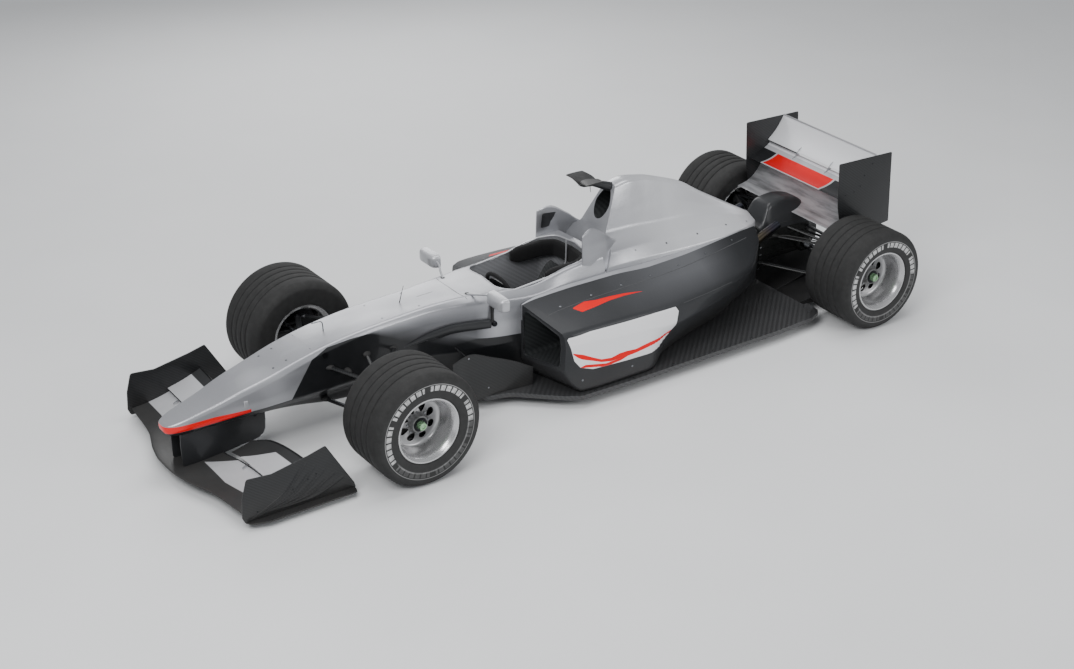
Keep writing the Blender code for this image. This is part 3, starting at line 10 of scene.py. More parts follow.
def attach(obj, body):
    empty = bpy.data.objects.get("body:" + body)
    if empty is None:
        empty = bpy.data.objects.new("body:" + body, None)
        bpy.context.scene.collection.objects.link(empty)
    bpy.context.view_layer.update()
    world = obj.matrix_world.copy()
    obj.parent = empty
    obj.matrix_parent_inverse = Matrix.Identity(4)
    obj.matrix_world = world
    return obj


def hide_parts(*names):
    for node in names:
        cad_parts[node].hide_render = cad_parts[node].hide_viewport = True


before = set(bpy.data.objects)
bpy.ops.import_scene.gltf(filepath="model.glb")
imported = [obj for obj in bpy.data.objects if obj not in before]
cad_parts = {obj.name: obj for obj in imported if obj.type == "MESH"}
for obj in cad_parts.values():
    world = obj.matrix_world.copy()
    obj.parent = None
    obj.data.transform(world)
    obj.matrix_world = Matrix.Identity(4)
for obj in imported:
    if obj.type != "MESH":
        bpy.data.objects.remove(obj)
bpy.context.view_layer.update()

# Places on the car, in metres
FRONT_AXLE_Y = -1.28
REAR_AXLE_Y = 2.0
FRONT_RADIUS = 0.33
REAR_RADIUS = 0.317
FRONT_WHEEL_X = 0.6855
REAR_WHEEL_X = 0.6675
KINGPIN_X = 0.575
STEERING_ARM = 0.09
RACK_Y = FRONT_AXLE_Y - STEERING_ARM
RACK_Z = 0.412
UPRIGHT_HALF = 0.098
REAR_UPRIGHT_HALF = 0.1093
ENDPLATE_X = 0.7003
ENDPLATE_FOOT_Z = 0.0345
TUB_HALF_WIDTH = 0.262
CHINE = 0.03
FLOOR_TOP = 0.085
REAR_SPAN = 0.436
SIDES = ((1, "left"), (-1, "right"))


# Mesh helpers


def clean(bm, sharp_degrees=32):
    """Merges doubles, turns the faces outward and marks the edges that stay crisp."""
    bmesh.ops.remove_doubles(bm, verts=bm.verts, dist=0.00002)
    bmesh.ops.recalc_face_normals(bm, faces=bm.faces)
    limit = math.radians(sharp_degrees)
    for edge in bm.edges:
        edge.smooth = len(edge.link_faces) == 2 and edge.calc_face_angle(0) < limit
    for face in bm.faces:
        face.smooth = True


def solid(name, bm, finish, sharp_degrees=32):
    """Makes an object from a mesh in progress."""
    clean(bm, sharp_degrees)
    mesh = bpy.data.meshes.new(name)
    bm.to_mesh(mesh)
    bm.free()
    return placed(name, mesh, finish if isinstance(finish, (list, tuple)) else [finish])


def placed(name, mesh, materials):
    """Object in the scene from a mesh, with its materials."""
    for material in materials:
        mesh.materials.append(material)
    made = bpy.data.objects.new(name, mesh)
    bpy.context.scene.collection.objects.link(made)
    return made


def apply_modifiers(piece):
    """Turns an object with its modifiers into a clean plain mesh."""
    bpy.context.view_layer.update()
    graph = bpy.context.evaluated_depsgraph_get()
    mesh = bpy.data.meshes.new_from_object(piece.evaluated_get(graph), depsgraph=graph)
    piece.modifiers.clear()
    piece.data = mesh
    bm = bmesh.new()
    bm.from_mesh(mesh)
    clean(bm)
    bm.to_mesh(mesh)
    bm.free()


def carve(target, cutters, operation='DIFFERENCE'):
    """Cuts or joins other solids into a piece and keeps the result as a plain mesh."""
    for cutter in cutters:
        change = target.modifiers.new(cutter.name, 'BOOLEAN')
        change.operation = operation
        change.solver = 'EXACT'
        change.object = cutter
        change.material_mode = 'TRANSFER'
    apply_modifiers(target)
    for cutter in cutters:
        bpy.data.objects.remove(cutter, do_unlink=True)
    return target


def join(name, parts):
    """Joins finished objects into one piece, keeping their materials."""
    materials = []
    bm = bmesh.new()
    for part in parts:
        start = len(bm.faces)
        bm.from_mesh(part.data)
        bm.faces.ensure_lookup_table()
        slots = []
        for material in part.data.materials:
            if material not in materials:
                materials.append(material)
            slots.append(materials.index(material))
        for face in bm.faces[start:]:
            face.material_index = slots[face.material_index] if slots else 0
        bpy.data.objects.remove(part, do_unlink=True)
    mesh = bpy.data.meshes.new(name)
    bm.to_mesh(mesh)
    bm.free()
    return placed(name, mesh, materials)


def keep(piece, body, slot, *nodes):
    """Declares what a finished piece rides on and the solids it stands for; the slot is not used."""
    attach(piece, body)
    if nodes:
        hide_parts(*nodes)
    return piece


def curve_through(places, values, at):
    """Smooth value at a place, through given values, with no overshoot between them."""
    count = len(places)
    if at <= places[0]:
        return values[0]
    if at >= places[-1]:
        return values[-1]
    gaps = [places[i + 1] - places[i] for i in range(count - 1)]
    rises = [(values[i + 1] - values[i]) / gaps[i] for i in range(count - 1)]
    slopes = [rises[0]]
    for i in range(1, count - 1):
        if rises[i - 1] * rises[i] <= 0:
            slopes.append(0.0)
        else:
            before = 2 * gaps[i] + gaps[i - 1]
            after = gaps[i] + 2 * gaps[i - 1]
            slopes.append((before + after) / (before / rises[i - 1] + after / rises[i]))
    slopes.append(rises[-1])
    i = max(k for k in range(count - 1) if places[k] <= at)
    t = (at - places[i]) / gaps[i]
    return (values[i] * (1 + 2 * t) * (1 - t) ** 2 + slopes[i] * gaps[i] * t * (1 - t) ** 2 + values[i + 1]
        * t * t * (3 - 2 * t) + slopes[i + 1] * gaps[i] * t * t * (t - 1))


def smooth_row(rows, at, key=lambda place: place):
    """One interpolated row of a section table."""
    places = [key(row[0]) for row in rows]
    return [at] + [curve_through(places, [row[column] for row in rows], key(at))
        for column in range(1, len(rows[0]))]


def spread(start, end, count):
    """Evenly spaced places from start to end."""
    return [start + (end - start) * i / (count - 1) for i in range(count)]


def turns(count, shift=0.0):
    """Evenly spaced angles round a circle."""
    return [math.tau * (k + shift) / count for k in range(count)]


def rounded(points, radii, steps):
    """Open line whose inner corners are rounded."""
    line = [Vector(points[0])]
    for index in range(1, len(points) - 1):
        corner = Vector(points[index])
        before = Vector(points[index - 1]) - corner
        after = Vector(points[index + 1]) - corner
        radius = radii[index - 1]
        turn = before.angle(after)
        reach = min(max(radius / math.tan(turn / 2), radius / 8), before.length * 0.45, after.length * 0.45)
        start = corner + before.normalized() * reach
        end = corner + after.normalized() * reach
        for step in range(steps + 1):
            t = step / steps
            line.append(start * (1 - t) ** 2 + corner * 2 * t * (1 - t) + end * t ** 2)
    line.append(Vector(points[-1]))
    return line


def rounded_loop(points, radius, steps):
    """Closed outline with every corner rounded; radius may be a list."""
    radii = radius if isinstance(radius, (list, tuple)) else [radius] * len(points)
    return rounded([points[-1], *points, points[0]], radii, steps)[1:-1]


def both_halves(half):
    """Closed ring from a half ring that runs from the top centre to the bottom centre."""
    return [*half, *[Vector((-point[0], *point[1:])) for point in reversed(half[1:-1])]]


def skin(name, rings, finish, closed=False, sharp_degrees=32):
    """Skins rings of equal length with quads."""
    bm = bmesh.new()
    loops = [[bm.verts.new(point) for point in ring] for ring in rings]
    pairs = list(zip(loops, loops[1:]))
    if closed:
        pairs.append((loops[-1], loops[0]))
    for low, high in pairs:
        for index in range(len(low)):
            after = (index + 1) % len(low)
            bm.faces.new((low[index], low[after], high[after], high[index]))
    if not closed:
        bm.faces.new(loops[0])
        bm.faces.new(loops[-1])
    return solid(name, bm, finish, sharp_degrees)


def plate(name, outline, thickness, finish, edge=0.0):
    """Flat plate from a closed outline, thickened along a vector, with eased edges."""
    offset = Vector(thickness)
    bm = bmesh.new()
    bottom = [bm.verts.new(point) for point in outline]
    top = [bm.verts.new(Vector(point) + offset) for point in outline]
    bm.faces.new(bottom)
    bm.faces.new(top)
    rim = []
    for index in range(len(outline)):
        after = (index + 1) % len(outline)
        bm.faces.new((bottom[index], bottom[after], top[after], top[index]))
        rim.append((bottom[index], bottom[after]))
        rim.append((top[index], top[after]))
    bmesh.ops.recalc_face_normals(bm, faces=bm.faces)
    if edge:
        edges = [bm.edges.get(pair) for pair in rim]
        bmesh.ops.bevel(bm, geom=edges, offset=edge, segments=3, profile=0.5, affect='EDGES',
            clamp_overlap=True)
    return solid(name, bm, finish, 40)


def box_corners(wide, high):
    """Corners of a rectangle round the origin, from its half sizes."""
    return [Vector((-wide, -high)), Vector((wide, -high)), Vector((wide, high)), Vector((-wide, high))]


def round_centre(centre, side, axial, radius, turn):
    """Point round a wheel's axis; axial counts outward from the wheel's centre."""
    out = Vector((0, math.cos(turn), math.sin(turn)))
    return Vector(centre) + Vector((side * axial, 0, 0)) + out * radius


def side_spots(x, side, places):
    """(point, facing) pairs at (y, z) places on a face that looks sideways."""
    return [(Vector((x, y, z)), Vector((side, 0, 0))) for y, z in places]


def edge_strip(name, places, offsets, finish):
    """Strip along an edge: the same (y, z) offsets at each (x, y, z) of the edge."""
    return skin(name, [[Vector((x, y + dy, z + dz)) for dy, dz in offsets] for x, y, z in places], finish)


def block(name, low, high, finish, edge):
    """Rectangular block with eased edges."""
    bm = bmesh.new()
    bmesh.ops.create_cube(bm, size=1)
    centre = (Vector(low) + Vector(high)) / 2
    size = Vector(high) - Vector(low)
    for vert in bm.verts:
        vert.co = centre + Vector((vert.co.x * size.x, vert.co.y * size.y, vert.co.z * size.z))
    bmesh.ops.bevel(bm, geom=bm.edges[:], offset=edge, segments=3, profile=0.5, affect='EDGES')
    return solid(name, bm, finish)


def axes_along(direction):
    """Two unit vectors square to a direction: sideways and up."""
    along = Vector(direction).normalized()
    side = along.cross(Vector((0, 0, 1)))
    if side.length < 0.001:
        side = Vector((1, 0, 0))
    side.normalize()
    return side, side.cross(along)


def bar(name, start, end, stations, sides, finish, flat=1.0, teardrop=0.0):
    """Bar between two points. Stations are (share of the length, radius); flat squashes its height and
    teardrop draws out its trailing side, as on a suspension arm."""
    start = Vector(start)
    end = Vector(end)
    side, up = axes_along(end - start)
    if teardrop and side.y < 0:
        side = -side
    rings = []
    for share, radius in stations:
        middle = start.lerp(end, share)
        ring = []
        for angle in turns(sides, 0.5):
            across = math.cos(angle)
            thin = 1 - teardrop * max(0, across)
            ring.append(middle + side * radius * across + up * radius * flat * thin * math.sin(angle))
        rings.append(ring)
    return skin(name, rings, finish)


def tube(name, points, radius, sides, finish):
    """Round tube along a line of points, its ring turning with the line."""
    points = [Vector(point) for point in points]
    rings = []
    side = None
    for index, point in enumerate(points):
        ahead = points[min(index + 1, len(points) - 1)] - points[max(index - 1, 0)]
        along = ahead.normalized()
        if side is None:
            side, up = axes_along(along)
        else:
            side = (side - along * side.dot(along)).normalized()
            up = side.cross(along)
        rings.append([point + (side * math.cos(a) + up * math.sin(a)) * radius
            for a in turns(sides)])
    return skin(name, rings, finish)


def loop_tube(name, points, radius, sides, finish):
    """Closed tube round a loop of points."""
    points = [Vector(point) for point in points]
    rings = []
    count = len(points)
    for index, point in enumerate(points):
        along = (points[(index + 1) % count] - points[index - 1]).normalized()
        side, up = axes_along(along)
        rings.append([point + side * math.cos(a) * radius + up * math.sin(a) * radius
            for a in turns(sides)])
    return skin(name, rings, finish, closed=True)


def smooth_path(points, count):
    """Even points on a smooth line through a few points."""
    points = [Vector(point) for point in points]
    lengths = [0.0]
    for before, after in zip(points, points[1:]):
        lengths.append(lengths[-1] + (after - before).length)
    path = []
    for at in spread(0, lengths[-1], count):
        path.append(Vector([curve_through(lengths, [point[axis] for point in points], at)
            for axis in range(3)]))
    return path


def revolve(name, profile, sides, centre, outward, finish, along='X', sharp_degrees=32):
    """Turns an (axial, radius) outline about an axis through centre, with UVs of turn and radius."""
    bm = bmesh.new()
    layer = bm.loops.layers.uv.new("turn")
    rings = []
    for axial, radius in profile:
        if radius < 0.00001:
            rings.append(([bm.verts.new(place_round(centre, outward, along, axial, 0, 0))], radius))
            continue
        ring = []
        for turn in turns(sides, 0.5):
            angle = turn - math.pi / 2
            ring.append(bm.verts.new(place_round(centre, outward, along, axial, radius * math.cos(angle),
                radius * math.sin(angle))))
        rings.append((ring, radius))
    for (first, inner), (second, outer) in zip(rings, [*rings[1:], rings[0]]):
        if len(first) == 1 and len(second) == 1:
            continue
        for index in range(sides):
            after = (index + 1) % sides
            shares = (index / sides, (index + 1) / sides)
            if len(first) == 1:
                face = bm.faces.new((first[0], second[after], second[index]))
                values = ((shares[0], inner), (shares[1], outer), (shares[0], outer))
            elif len(second) == 1:
                face = bm.faces.new((first[index], first[after], second[0]))
                values = ((shares[0], inner), (shares[1], inner), (shares[0], outer))
            else:
                face = bm.faces.new((first[index], first[after], second[after], second[index]))
                values = ((shares[0], inner), (shares[1], inner), (shares[1], outer), (shares[0], outer))
            for corner, value in zip(face.loops, values):
                corner[layer].uv = value
    return solid(name, bm, finish, sharp_degrees)


def place_round(centre, outward, along, axial, first, second):
    """A turned point in the car's frame."""
    if along == 'X':
        return Vector((centre[0] + outward * axial, centre[1] + first, centre[2] + second))
    if along == 'Y':
        return Vector((centre[0] + first, centre[1] + outward * axial, centre[2] + second))
    return Vector((centre[0] + first, centre[1] + second, centre[2] + outward * axial))


def tree_of(piece):
    """Ray-casting tree of a piece, for laying trim on its surface."""
    mesh = piece.data
    return BVHTree.FromPolygons([vert.co for vert in mesh.vertices], [face.vertices[:]
        for face in mesh.polygons])


def on_top(tree, x, y, lift=0.0):
    """Point on the upper surface above a place in plan, and the surface's normal there."""
    hit, normal, _, _ = tree.ray_cast(Vector((x, y, 3.0)), Vector((0, 0, -1)))
    if hit is None:
        return None, None
    return hit + normal * lift, normal


def on_side(tree, side, y, z, lift=0.0):
    """Point on the outer side surface at a height, and the surface's normal there."""
    hit, normal, _, _ = tree.ray_cast(Vector((side * 3.0, y, z)), Vector((-side, 0, 0)))
    if hit is None:
        return None, None
    return hit + normal * lift, normal


def ribbon(name, laid, width, finish, lift):
    """Thin strip on a surface along (point, normal) pairs, such as a shut line or a seam."""
    laid = [pair for pair in laid if pair[0] is not None]
    bm = bmesh.new()
    rows = []
    for index, (point, normal) in enumerate(laid):
        along = laid[min(index + 1, len(laid) - 1)][0] - laid[max(index - 1, 0)][0]
        across = normal.cross(along).normalized() * width / 2
        rows.append([bm.verts.new(point + across - normal * lift),
            bm.verts.new(point + across * 0.8 + normal * lift),
            bm.verts.new(point - across * 0.8 + normal * lift),
            bm.verts.new(point - across - normal * lift)])
    for low, high in zip(rows, rows[1:]):
        for index in range(4):
            after = (index + 1) % 4
            bm.faces.new((low[index], low[after], high[after], high[index]))
    bm.faces.new(rows[0])
    bm.faces.new(rows[-1])
    return solid(name, bm, finish)


# Node helpers for finishes


def colour(code):
    """Linear RGBA of an sRGB hex colour."""
    values = []
    for index in (1, 3, 5):
        value = int(code[index:index + 2], 16) / 255
        values.append(value / 12.92 if value <= 0.04045 else ((value + 0.055) / 1.055) ** 2.4)
    return (*values, 1.0)


def node(tree, kind, inputs=None, **settings):
    """Adds a node, sets its properties, and fills its inputs with values or links."""
    made = tree.nodes.new(kind)
    for key, value in settings.items():
        setattr(made, key, value)
    for key, value in (inputs or {}).items():
        if isinstance(value, bpy.types.NodeSocket):
            tree.links.new(value, made.inputs[key])
        else:
            made.inputs[key].default_value = value
    return made


def home(*values):
    """Node tree of the first socket among some values."""
    return next(value.id_data for value in values if isinstance(value, bpy.types.NodeSocket))


def feed(shader, **sockets):
    """Links sockets to the shader's inputs of the same names."""
    for key, socket in sockets.items():
        socket.id_data.links.new(socket, shader.inputs[key.replace("_", " ")])


def new_finish(name, roughness, metallic=0.0, **sockets):
    """Empty finish with its shader, and the place on the car: whole and split into x, y and z. Other
    constant values go on the shader's own sockets."""
    material = bpy.data.materials.new(name)
    material.use_nodes = True
    tree = material.node_tree
    shader = tree.nodes["Principled BSDF"]
    shader.inputs["Roughness"].default_value = roughness
    shader.inputs["Metallic"].default_value = metallic
    for key, value in sockets.items():
        shader.inputs[key.replace("_", " ")].default_value = value
    coordinates = node(tree, 'ShaderNodeTexCoord').outputs['Object']
    split = node(tree, 'ShaderNodeSeparateXYZ', {'Vector': coordinates})
    return material, shader, coordinates, split.outputs['X'], split.outputs['Y'], split.outputs['Z']


def blend_colour(factor, first, second):
    """Mixes two colours, each given as a socket or a linear value."""
    return node(home(factor), 'ShaderNodeMix', {0: factor, 6: first, 7: second}, data_type='RGBA').outputs[
        2]


def ramp_between(value, low, high, to_low=0.0, to_high=1.0):
    """Clamped change from one value to another across a range."""
    return node(home(value), 'ShaderNodeMapRange', {'Value': value, 'From Min': low, 'From Max': high,
        'To Min': to_low, 'To Max': to_high}).outputs['Result']


def sums(operation, first, second=0.0):
    """One arithmetic step on sockets or values."""
    return node(home(first, second), 'ShaderNodeMath', {0: first, 1: second}, operation=operation).outputs[
        'Value']


def product(first, second):
    """Two sockets or values multiplied."""
    return sums('MULTIPLY', first, second)


def line_value(place, points):
    """Value of a drawn line at a place, from (place, value) points."""
    places = [point[0] for point in points]
    values = [point[1] for point in points]
    low_place = places[0]
    place_span = places[-1] - places[0]
    low_value = min(values)
    value_span = max(max(values) - low_value, 0.0001)
    share = ramp_between(place, low_place, low_place + place_span)
    curve = node(home(place), 'ShaderNodeFloatCurve', {'Value': share})
    track = curve.mapping.curves[0]
    while len(track.points) < len(points):
        track.points.new(0.5, 0.5)
    for slot_point, at, value in zip(track.points, places, values):
        slot_point.location = ((at - low_place) / place_span, (value - low_value) / value_span)
        slot_point.handle_type = 'VECTOR'
    curve.mapping.update()
    return ramp_between(curve.outputs['Value'], 0.0, 1.0, low_value, low_value + value_span)


def under(value, limit, soft=0.001):
    """1 where value is below limit, 0 above, with a soft edge in metres."""
    return ramp_between(sums('SUBTRACT', limit, value), -soft, soft)


def both(*masks):
    """1 only where every mask is 1."""
    return functools.reduce(product, masks)


def grain(coordinates, scale, detail=2.0, rough=0.5):
    """Fine noise with its scale in cycles per metre."""
    return node(home(coordinates), 'ShaderNodeTexNoise', {'Vector': coordinates, 'Scale': scale,
        'Detail': detail, 'Roughness': rough}).outputs['Fac']


def relief(shader, *layers):
    """Feeds (height, distance, strength) layers into the shader's normal, the deepest one first."""
    inputs = {}
    for height, distance, strength in layers:
        inputs |= {'Height': height, 'Distance': distance, 'Strength': strength}
        inputs['Normal'] = node(home(height), 'ShaderNodeBump', inputs).outputs['Normal']
    feed(shader, Normal=inputs['Normal'])


def stretched(coordinates, factors):
    """Coordinates stretched by a factor on each axis."""
    return node(home(coordinates), 'ShaderNodeVectorMath', {0: coordinates, 1: factors},
        operation='MULTIPLY').outputs['Vector']


# Finishes

SILVER = colour("#A9AAAE")
SILVER_DEEP = colour("#94959A")
CHARCOAL = colour("#222325")
CHARCOAL_DEEP = colour("#17181A")
RED = colour("#E4000A")
PANEL_WHITE = colour("#E8E8EA")


def lacquer_sheen(shader, coordinates):
    """Polished clear coat with the faint waviness of hand laid panels."""
    relief(shader, (grain(coordinates, 9.0), 0.004, 0.35), (grain(coordinates, 420.0, 1.0), 0.0002, 0.25))


def road_dust(coordinates, z, paint, low, high, strength):
    """Brownish grey dust that thins out upward."""
    cloud = grain(coordinates, 14.0, 6.0, 0.7)
    height = ramp_between(z, low, high, 1.0, 0.0)
    amount = product(product(height, cloud), strength)
    return blend_colour(amount, paint, colour("#56524D"))


def turn_and_radius(shader):
    """Share of a turn and radius of a turned piece, from its UV map."""
    uv = node(shader.id_data, 'ShaderNodeUVMap', uv_map="turn").outputs['UV']
    split = node(shader.id_data, 'ShaderNodeSeparateXYZ', {'Vector': uv})
    return split.outputs['X'], split.outputs['Y']


def make_body_lacquer():
    """Metallic two-pack lacquer on a carbon composite tub, sprayed and polished: soft bright silver whose
    flake glints are painted as lighter specks, with charcoal and red fields under the same clear coat."""
    material, shader, coordinates, _, y, z = new_finish("silver_metallic_lacquer", 0.34, 0.55,
        Coat_Weight=0.3, Coat_Roughness=0.08, Specular_IOR_Level=0.25)
    # Flake, drawn at about 2 mm so that it shows: its glint is painted as lighter specks
    flake_glint = grain(coordinates, 500.0, 2.0, 0.8)
    drift = grain(coordinates, 3.5, 3.0)
    silver = blend_colour(drift, SILVER, SILVER_DEEP)
    silver = blend_colour(ramp_between(flake_glint, 0.55, 0.75, 0.0, 0.35), silver, colour("#D4D5D8"))
    charcoal = blend_colour(drift, CHARCOAL, CHARCOAL_DEEP)
    # Painted reflections of the ground and wheels: dark and light clouds drawn out lengthwise
    cloud = grain(stretched(coordinates, (3.0, 0.8, 7.0)), 1.4, 1.5, 0.4)
    depth = line_value(y, ((-2.4, 0.05), (-1.6, 0.12), (-0.9, 0.3), (-0.3, 0.26), (0.45, 0.22), (1.0, 0.12),
        (1.6, 0.08)))
    silver = blend_colour(product(ramp_between(cloud, 0.44, 0.66), depth), silver, colour("#4C4D51"))
    silver = blend_colour(product(ramp_between(cloud, 0.48, 0.32), 0.35), silver, colour("#CFD0D4"))
    # Painted light: the silver brightens from y 0.4 to 0.9, over the engine cover
    silver = blend_colour(ramp_between(y, 0.4, 0.9, 0.0, 0.85), silver, colour("#DCDDE0"))
    # Painted deep shade below the cockpit's shoulder
    shoulder = line_value(y, ((-1.3, 0.575), (-0.85, 0.585), (-0.5, 0.575)))
    shade = both(ramp_between(y, -1.3, -1.0), ramp_between(y, -0.44, -0.56),
        ramp_between(sums('SUBTRACT', shoulder, z), -0.02, 0.04), ramp_between(cloud, 0.3, 0.52, 0.95, 0.6))
    silver = blend_colour(shade, silver, colour("#2F3033"))

    # The nose ends in a slanting joint: behind it the flanks are charcoal under a silver top
    joint = sums('ADD', y, product(z, -0.66))
    behind_joint = under(-1.9387, joint, 0.0015)
    flank_top = line_value(y, ((-1.75, 0.47), (-1.48, 0.583), (-1.335, 0.596), (-1.2, 0.598), (-1.06, 0.56),
        (-0.9, 0.5), (-0.72, 0.43), (-0.5, 0.395), (-0.2, 0.365)))
    flank_tone = line_value(y, ((-1.24, 0.001), (-1.02, 0.05), (-0.7, 0.045), (-0.55, 0.001)))
    flank = ramp_between(sums('SUBTRACT', flank_top, z), product(flank_tone, -1.0), flank_tone)
    dark = both(flank, behind_joint, under(y, -0.15))
    # Red stripe round the tip and along the nose's lower edge, charcoal below it
    stripe_low = line_value(y, ((-2.42, 0.295), (-2.24, 0.306), (-2.1, 0.316), (-1.95, 0.331)))
    stripe_top = line_value(y, ((-2.42, 0.333), (-2.32, 0.338), (-2.155, 0.348), (-1.95, 0.349)))
    ahead = under(y, -1.955)
    stripe = both(under(stripe_low, z, 0.0012), under(z, stripe_top, 0.0012), ahead)
    belly_line = line_value(y, ((-2.42, 0.295), (-2.24, 0.306), (-1.95, 0.331), (-1.7, 0.338), (-0.3, 0.3)))
    belly = under(z, belly_line, 0.0015)
    dark = sums('MAXIMUM', dark, both(belly, under(y, 0.6)))
    paint = blend_colour(dark, silver, charcoal)
    paint = blend_colour(stripe, paint, RED)
    paint = road_dust(coordinates, z, paint, 0.09, 0.3, 0.25)
    feed(shader, Base_Color=paint)
    metal = ramp_between(sums('ADD', dark, stripe), 0.0, 1.0, 0.55, 0.12)
    feed(shader, Metallic=metal)
    rough = ramp_between(drift, 0.3, 0.7, 0.3, 0.38)
    feed(shader, Roughness=rough)
    lacquer_sheen(shader, coordinates)
    return material


def make_pod_lacquer():
    """The same lacquer on the sidepods: charcoal, with a silver shelf inboard, a red dart and a blank
    white field over a red wave on each flank."""
    material, shader, coordinates, x, y, z = new_finish("charcoal_metallic_lacquer", 0.4, 0.25,
        Coat_Weight=0.08, Coat_Roughness=0.12, Specular_IOR_Level=0.12)
    side = sums('ABSOLUTE', x)
    drift = grain(coordinates, 3.0, 3.0)
    flake_glint = grain(coordinates, 500.0, 2.0, 0.8)
    charcoal = blend_colour(drift, colour("#3C3D3F"), colour("#2E2F31"))
    # Painted light on the pod's top, and painted shade that darkens the pod towards its tail
    painted_top_light = both(ramp_between(z, 0.44, 0.52), ramp_between(y, 0.2, 0.8), ramp_between(y, 1.25, 0.95))
    charcoal = blend_colour(painted_top_light, charcoal, colour("#58595C"))
    charcoal = blend_colour(ramp_between(y, 0.95, 1.45, 0.0, 0.9), charcoal, colour("#1C1D1F"))
    # Painted glints of the flake: lighter specks on the charcoal
    charcoal = blend_colour(ramp_between(flake_glint, 0.58, 0.75, 0.0, 0.22), charcoal, colour("#6A6B6E"))
    silver = blend_colour(drift, SILVER, SILVER_DEEP)

    shelf_edge = line_value(y, ((-0.3, 0.268), (-0.15, 0.286), (-0.02, 0.29), (0.35, 0.292), (0.61, 0.3),
        (0.9, 0.288), (1.16, 0.273), (1.46, 0.258)))
    shelf = both(under(side, shelf_edge, 0.0012), under(0.46, z, 0.002))
    # Dart on the shoulder: a slim triangle that runs back to a point
    dart_in = line_value(y, ((-0.04, 0.437), (-0.03, 0.431), (0.055, 0.414), (0.127, 0.426), (0.224, 0.428),
        (0.329, 0.435), (0.446, 0.453)))
    dart_out = line_value(y, ((-0.04, 0.438), (-0.004, 0.479), (0.09, 0.471), (0.207, 0.455), (0.318, 0.45),
        (0.446, 0.454)))
    on_shoulder = both(under(0.44, z), under(-0.04, y), under(y, 0.446))
    dart = both(under(dart_in, side), under(side, dart_out), on_shoulder)
    # White field on the flank
    field_top = line_value(y, ((-0.191, 0.44), (-0.182, 0.452), (-0.042, 0.459), (0.242, 0.448),
        (0.428, 0.443), (0.59, 0.433), (0.612, 0.4)))
    field_foot = line_value(y, ((-0.191, 0.44), (-0.17, 0.375), (-0.152, 0.303), (-0.115, 0.255),
        (-0.03, 0.223), (0.075, 0.217), (0.218, 0.209), (0.4, 0.203), (0.473, 0.206), (0.54, 0.248),
        (0.589, 0.31), (0.612, 0.4)))
    on_flank = both(under(0.43, side, 0.002), under(-0.191, y), under(y, 0.612))
    field = both(under(field_foot, z, 0.0012), under(z, field_top, 0.0012), on_flank)
    # Red wave along the field's foot, with a second strand under its start; columns: y, middle z, half height
    strands = (((-0.16, 0.35, 0.004), (-0.13, 0.332, 0.012), (-0.1, 0.318, 0.016), (-0.03, 0.286, 0.011),
        (0.03, 0.259, 0.009), (0.1, 0.247, 0.011), (0.16, 0.253, 0.016), (0.21, 0.252, 0.017),
        (0.277, 0.25, 0.012), (0.34, 0.258, 0.013), (0.383, 0.263, 0.013), (0.47, 0.262, 0.011),
        (0.578, 0.282, 0.006), (0.612, 0.294, 0.002)), ((-0.125, 0.252, 0.002), (-0.08, 0.254, 0.009),
        (0.007, 0.236, 0.009), (0.064, 0.222, 0.011), (0.115, 0.227, 0.009), (0.166, 0.23, 0.009),
        (0.215, 0.24, 0.006)))
    strokes = []
    for rows in strands:
        middle = line_value(y, [(row[0], row[1]) for row in rows])
        half = line_value(y, [(row[0], row[2]) for row in rows])
        away = sums('ABSOLUTE', sums('SUBTRACT', z, middle))
        strokes.append(both(under(away, half), under(rows[0][0], y), under(y, rows[-1][0]), field))
    band = sums('MAXIMUM', *strokes)

    paint = blend_colour(shelf, charcoal, silver)
    paint = blend_colour(dart, paint, RED)
    paint = blend_colour(field, paint, PANEL_WHITE)
    paint = blend_colour(band, paint, RED)
    paint = road_dust(coordinates, z, paint, 0.09, 0.28, 0.3)
    feed(shader, Base_Color=paint)
    feed(shader, Metallic=ramp_between(sums('SUBTRACT', shelf, product(field, 0.5)), -0.5, 1.0, 0.05, 0.55))
    lacquer_sheen(shader, coordinates)
    return material


def make_front_wing_lacquer():
    """Lacquered front wing: charcoal nose and centre, silver field towards each endplate."""
    material, shader, coordinates, x, y, z = new_finish("front_wing_lacquer", 0.42, 0.35, Coat_Weight=0.08,
        Coat_Roughness=0.2, Specular_IOR_Level=0.2)
    side = sums('ABSOLUTE', x)
    drift = grain(coordinates, 4.0, 3.0)
    silver = blend_colour(drift, colour("#D4D5D8"), colour("#BEBFC3"))
    charcoal = blend_colour(drift, colour("#343536"), colour("#2A2B2C"))
    fore = line_value(side, ((0.0, -2.222), (0.34, -2.23), (0.52, -2.195), (0.7, -2.19)))
    rear = line_value(side, ((0.0, -2.3), (0.08, -2.226), (0.3, -1.966), (0.34, -1.925), (0.7, -1.915)))
    field = both(under(fore, y, 0.002), under(y, rear, 0.002))
    paint = blend_colour(field, charcoal, silver)
    paint = road_dust(coordinates, z, paint, 0.05, 0.2, 0.3)
    feed(shader, Base_Color=paint)
    feed(shader, Metallic=ramp_between(field, 0.0, 1.0, 0.05, 0.35))
    lacquer_sheen(shader, coordinates)
    return material


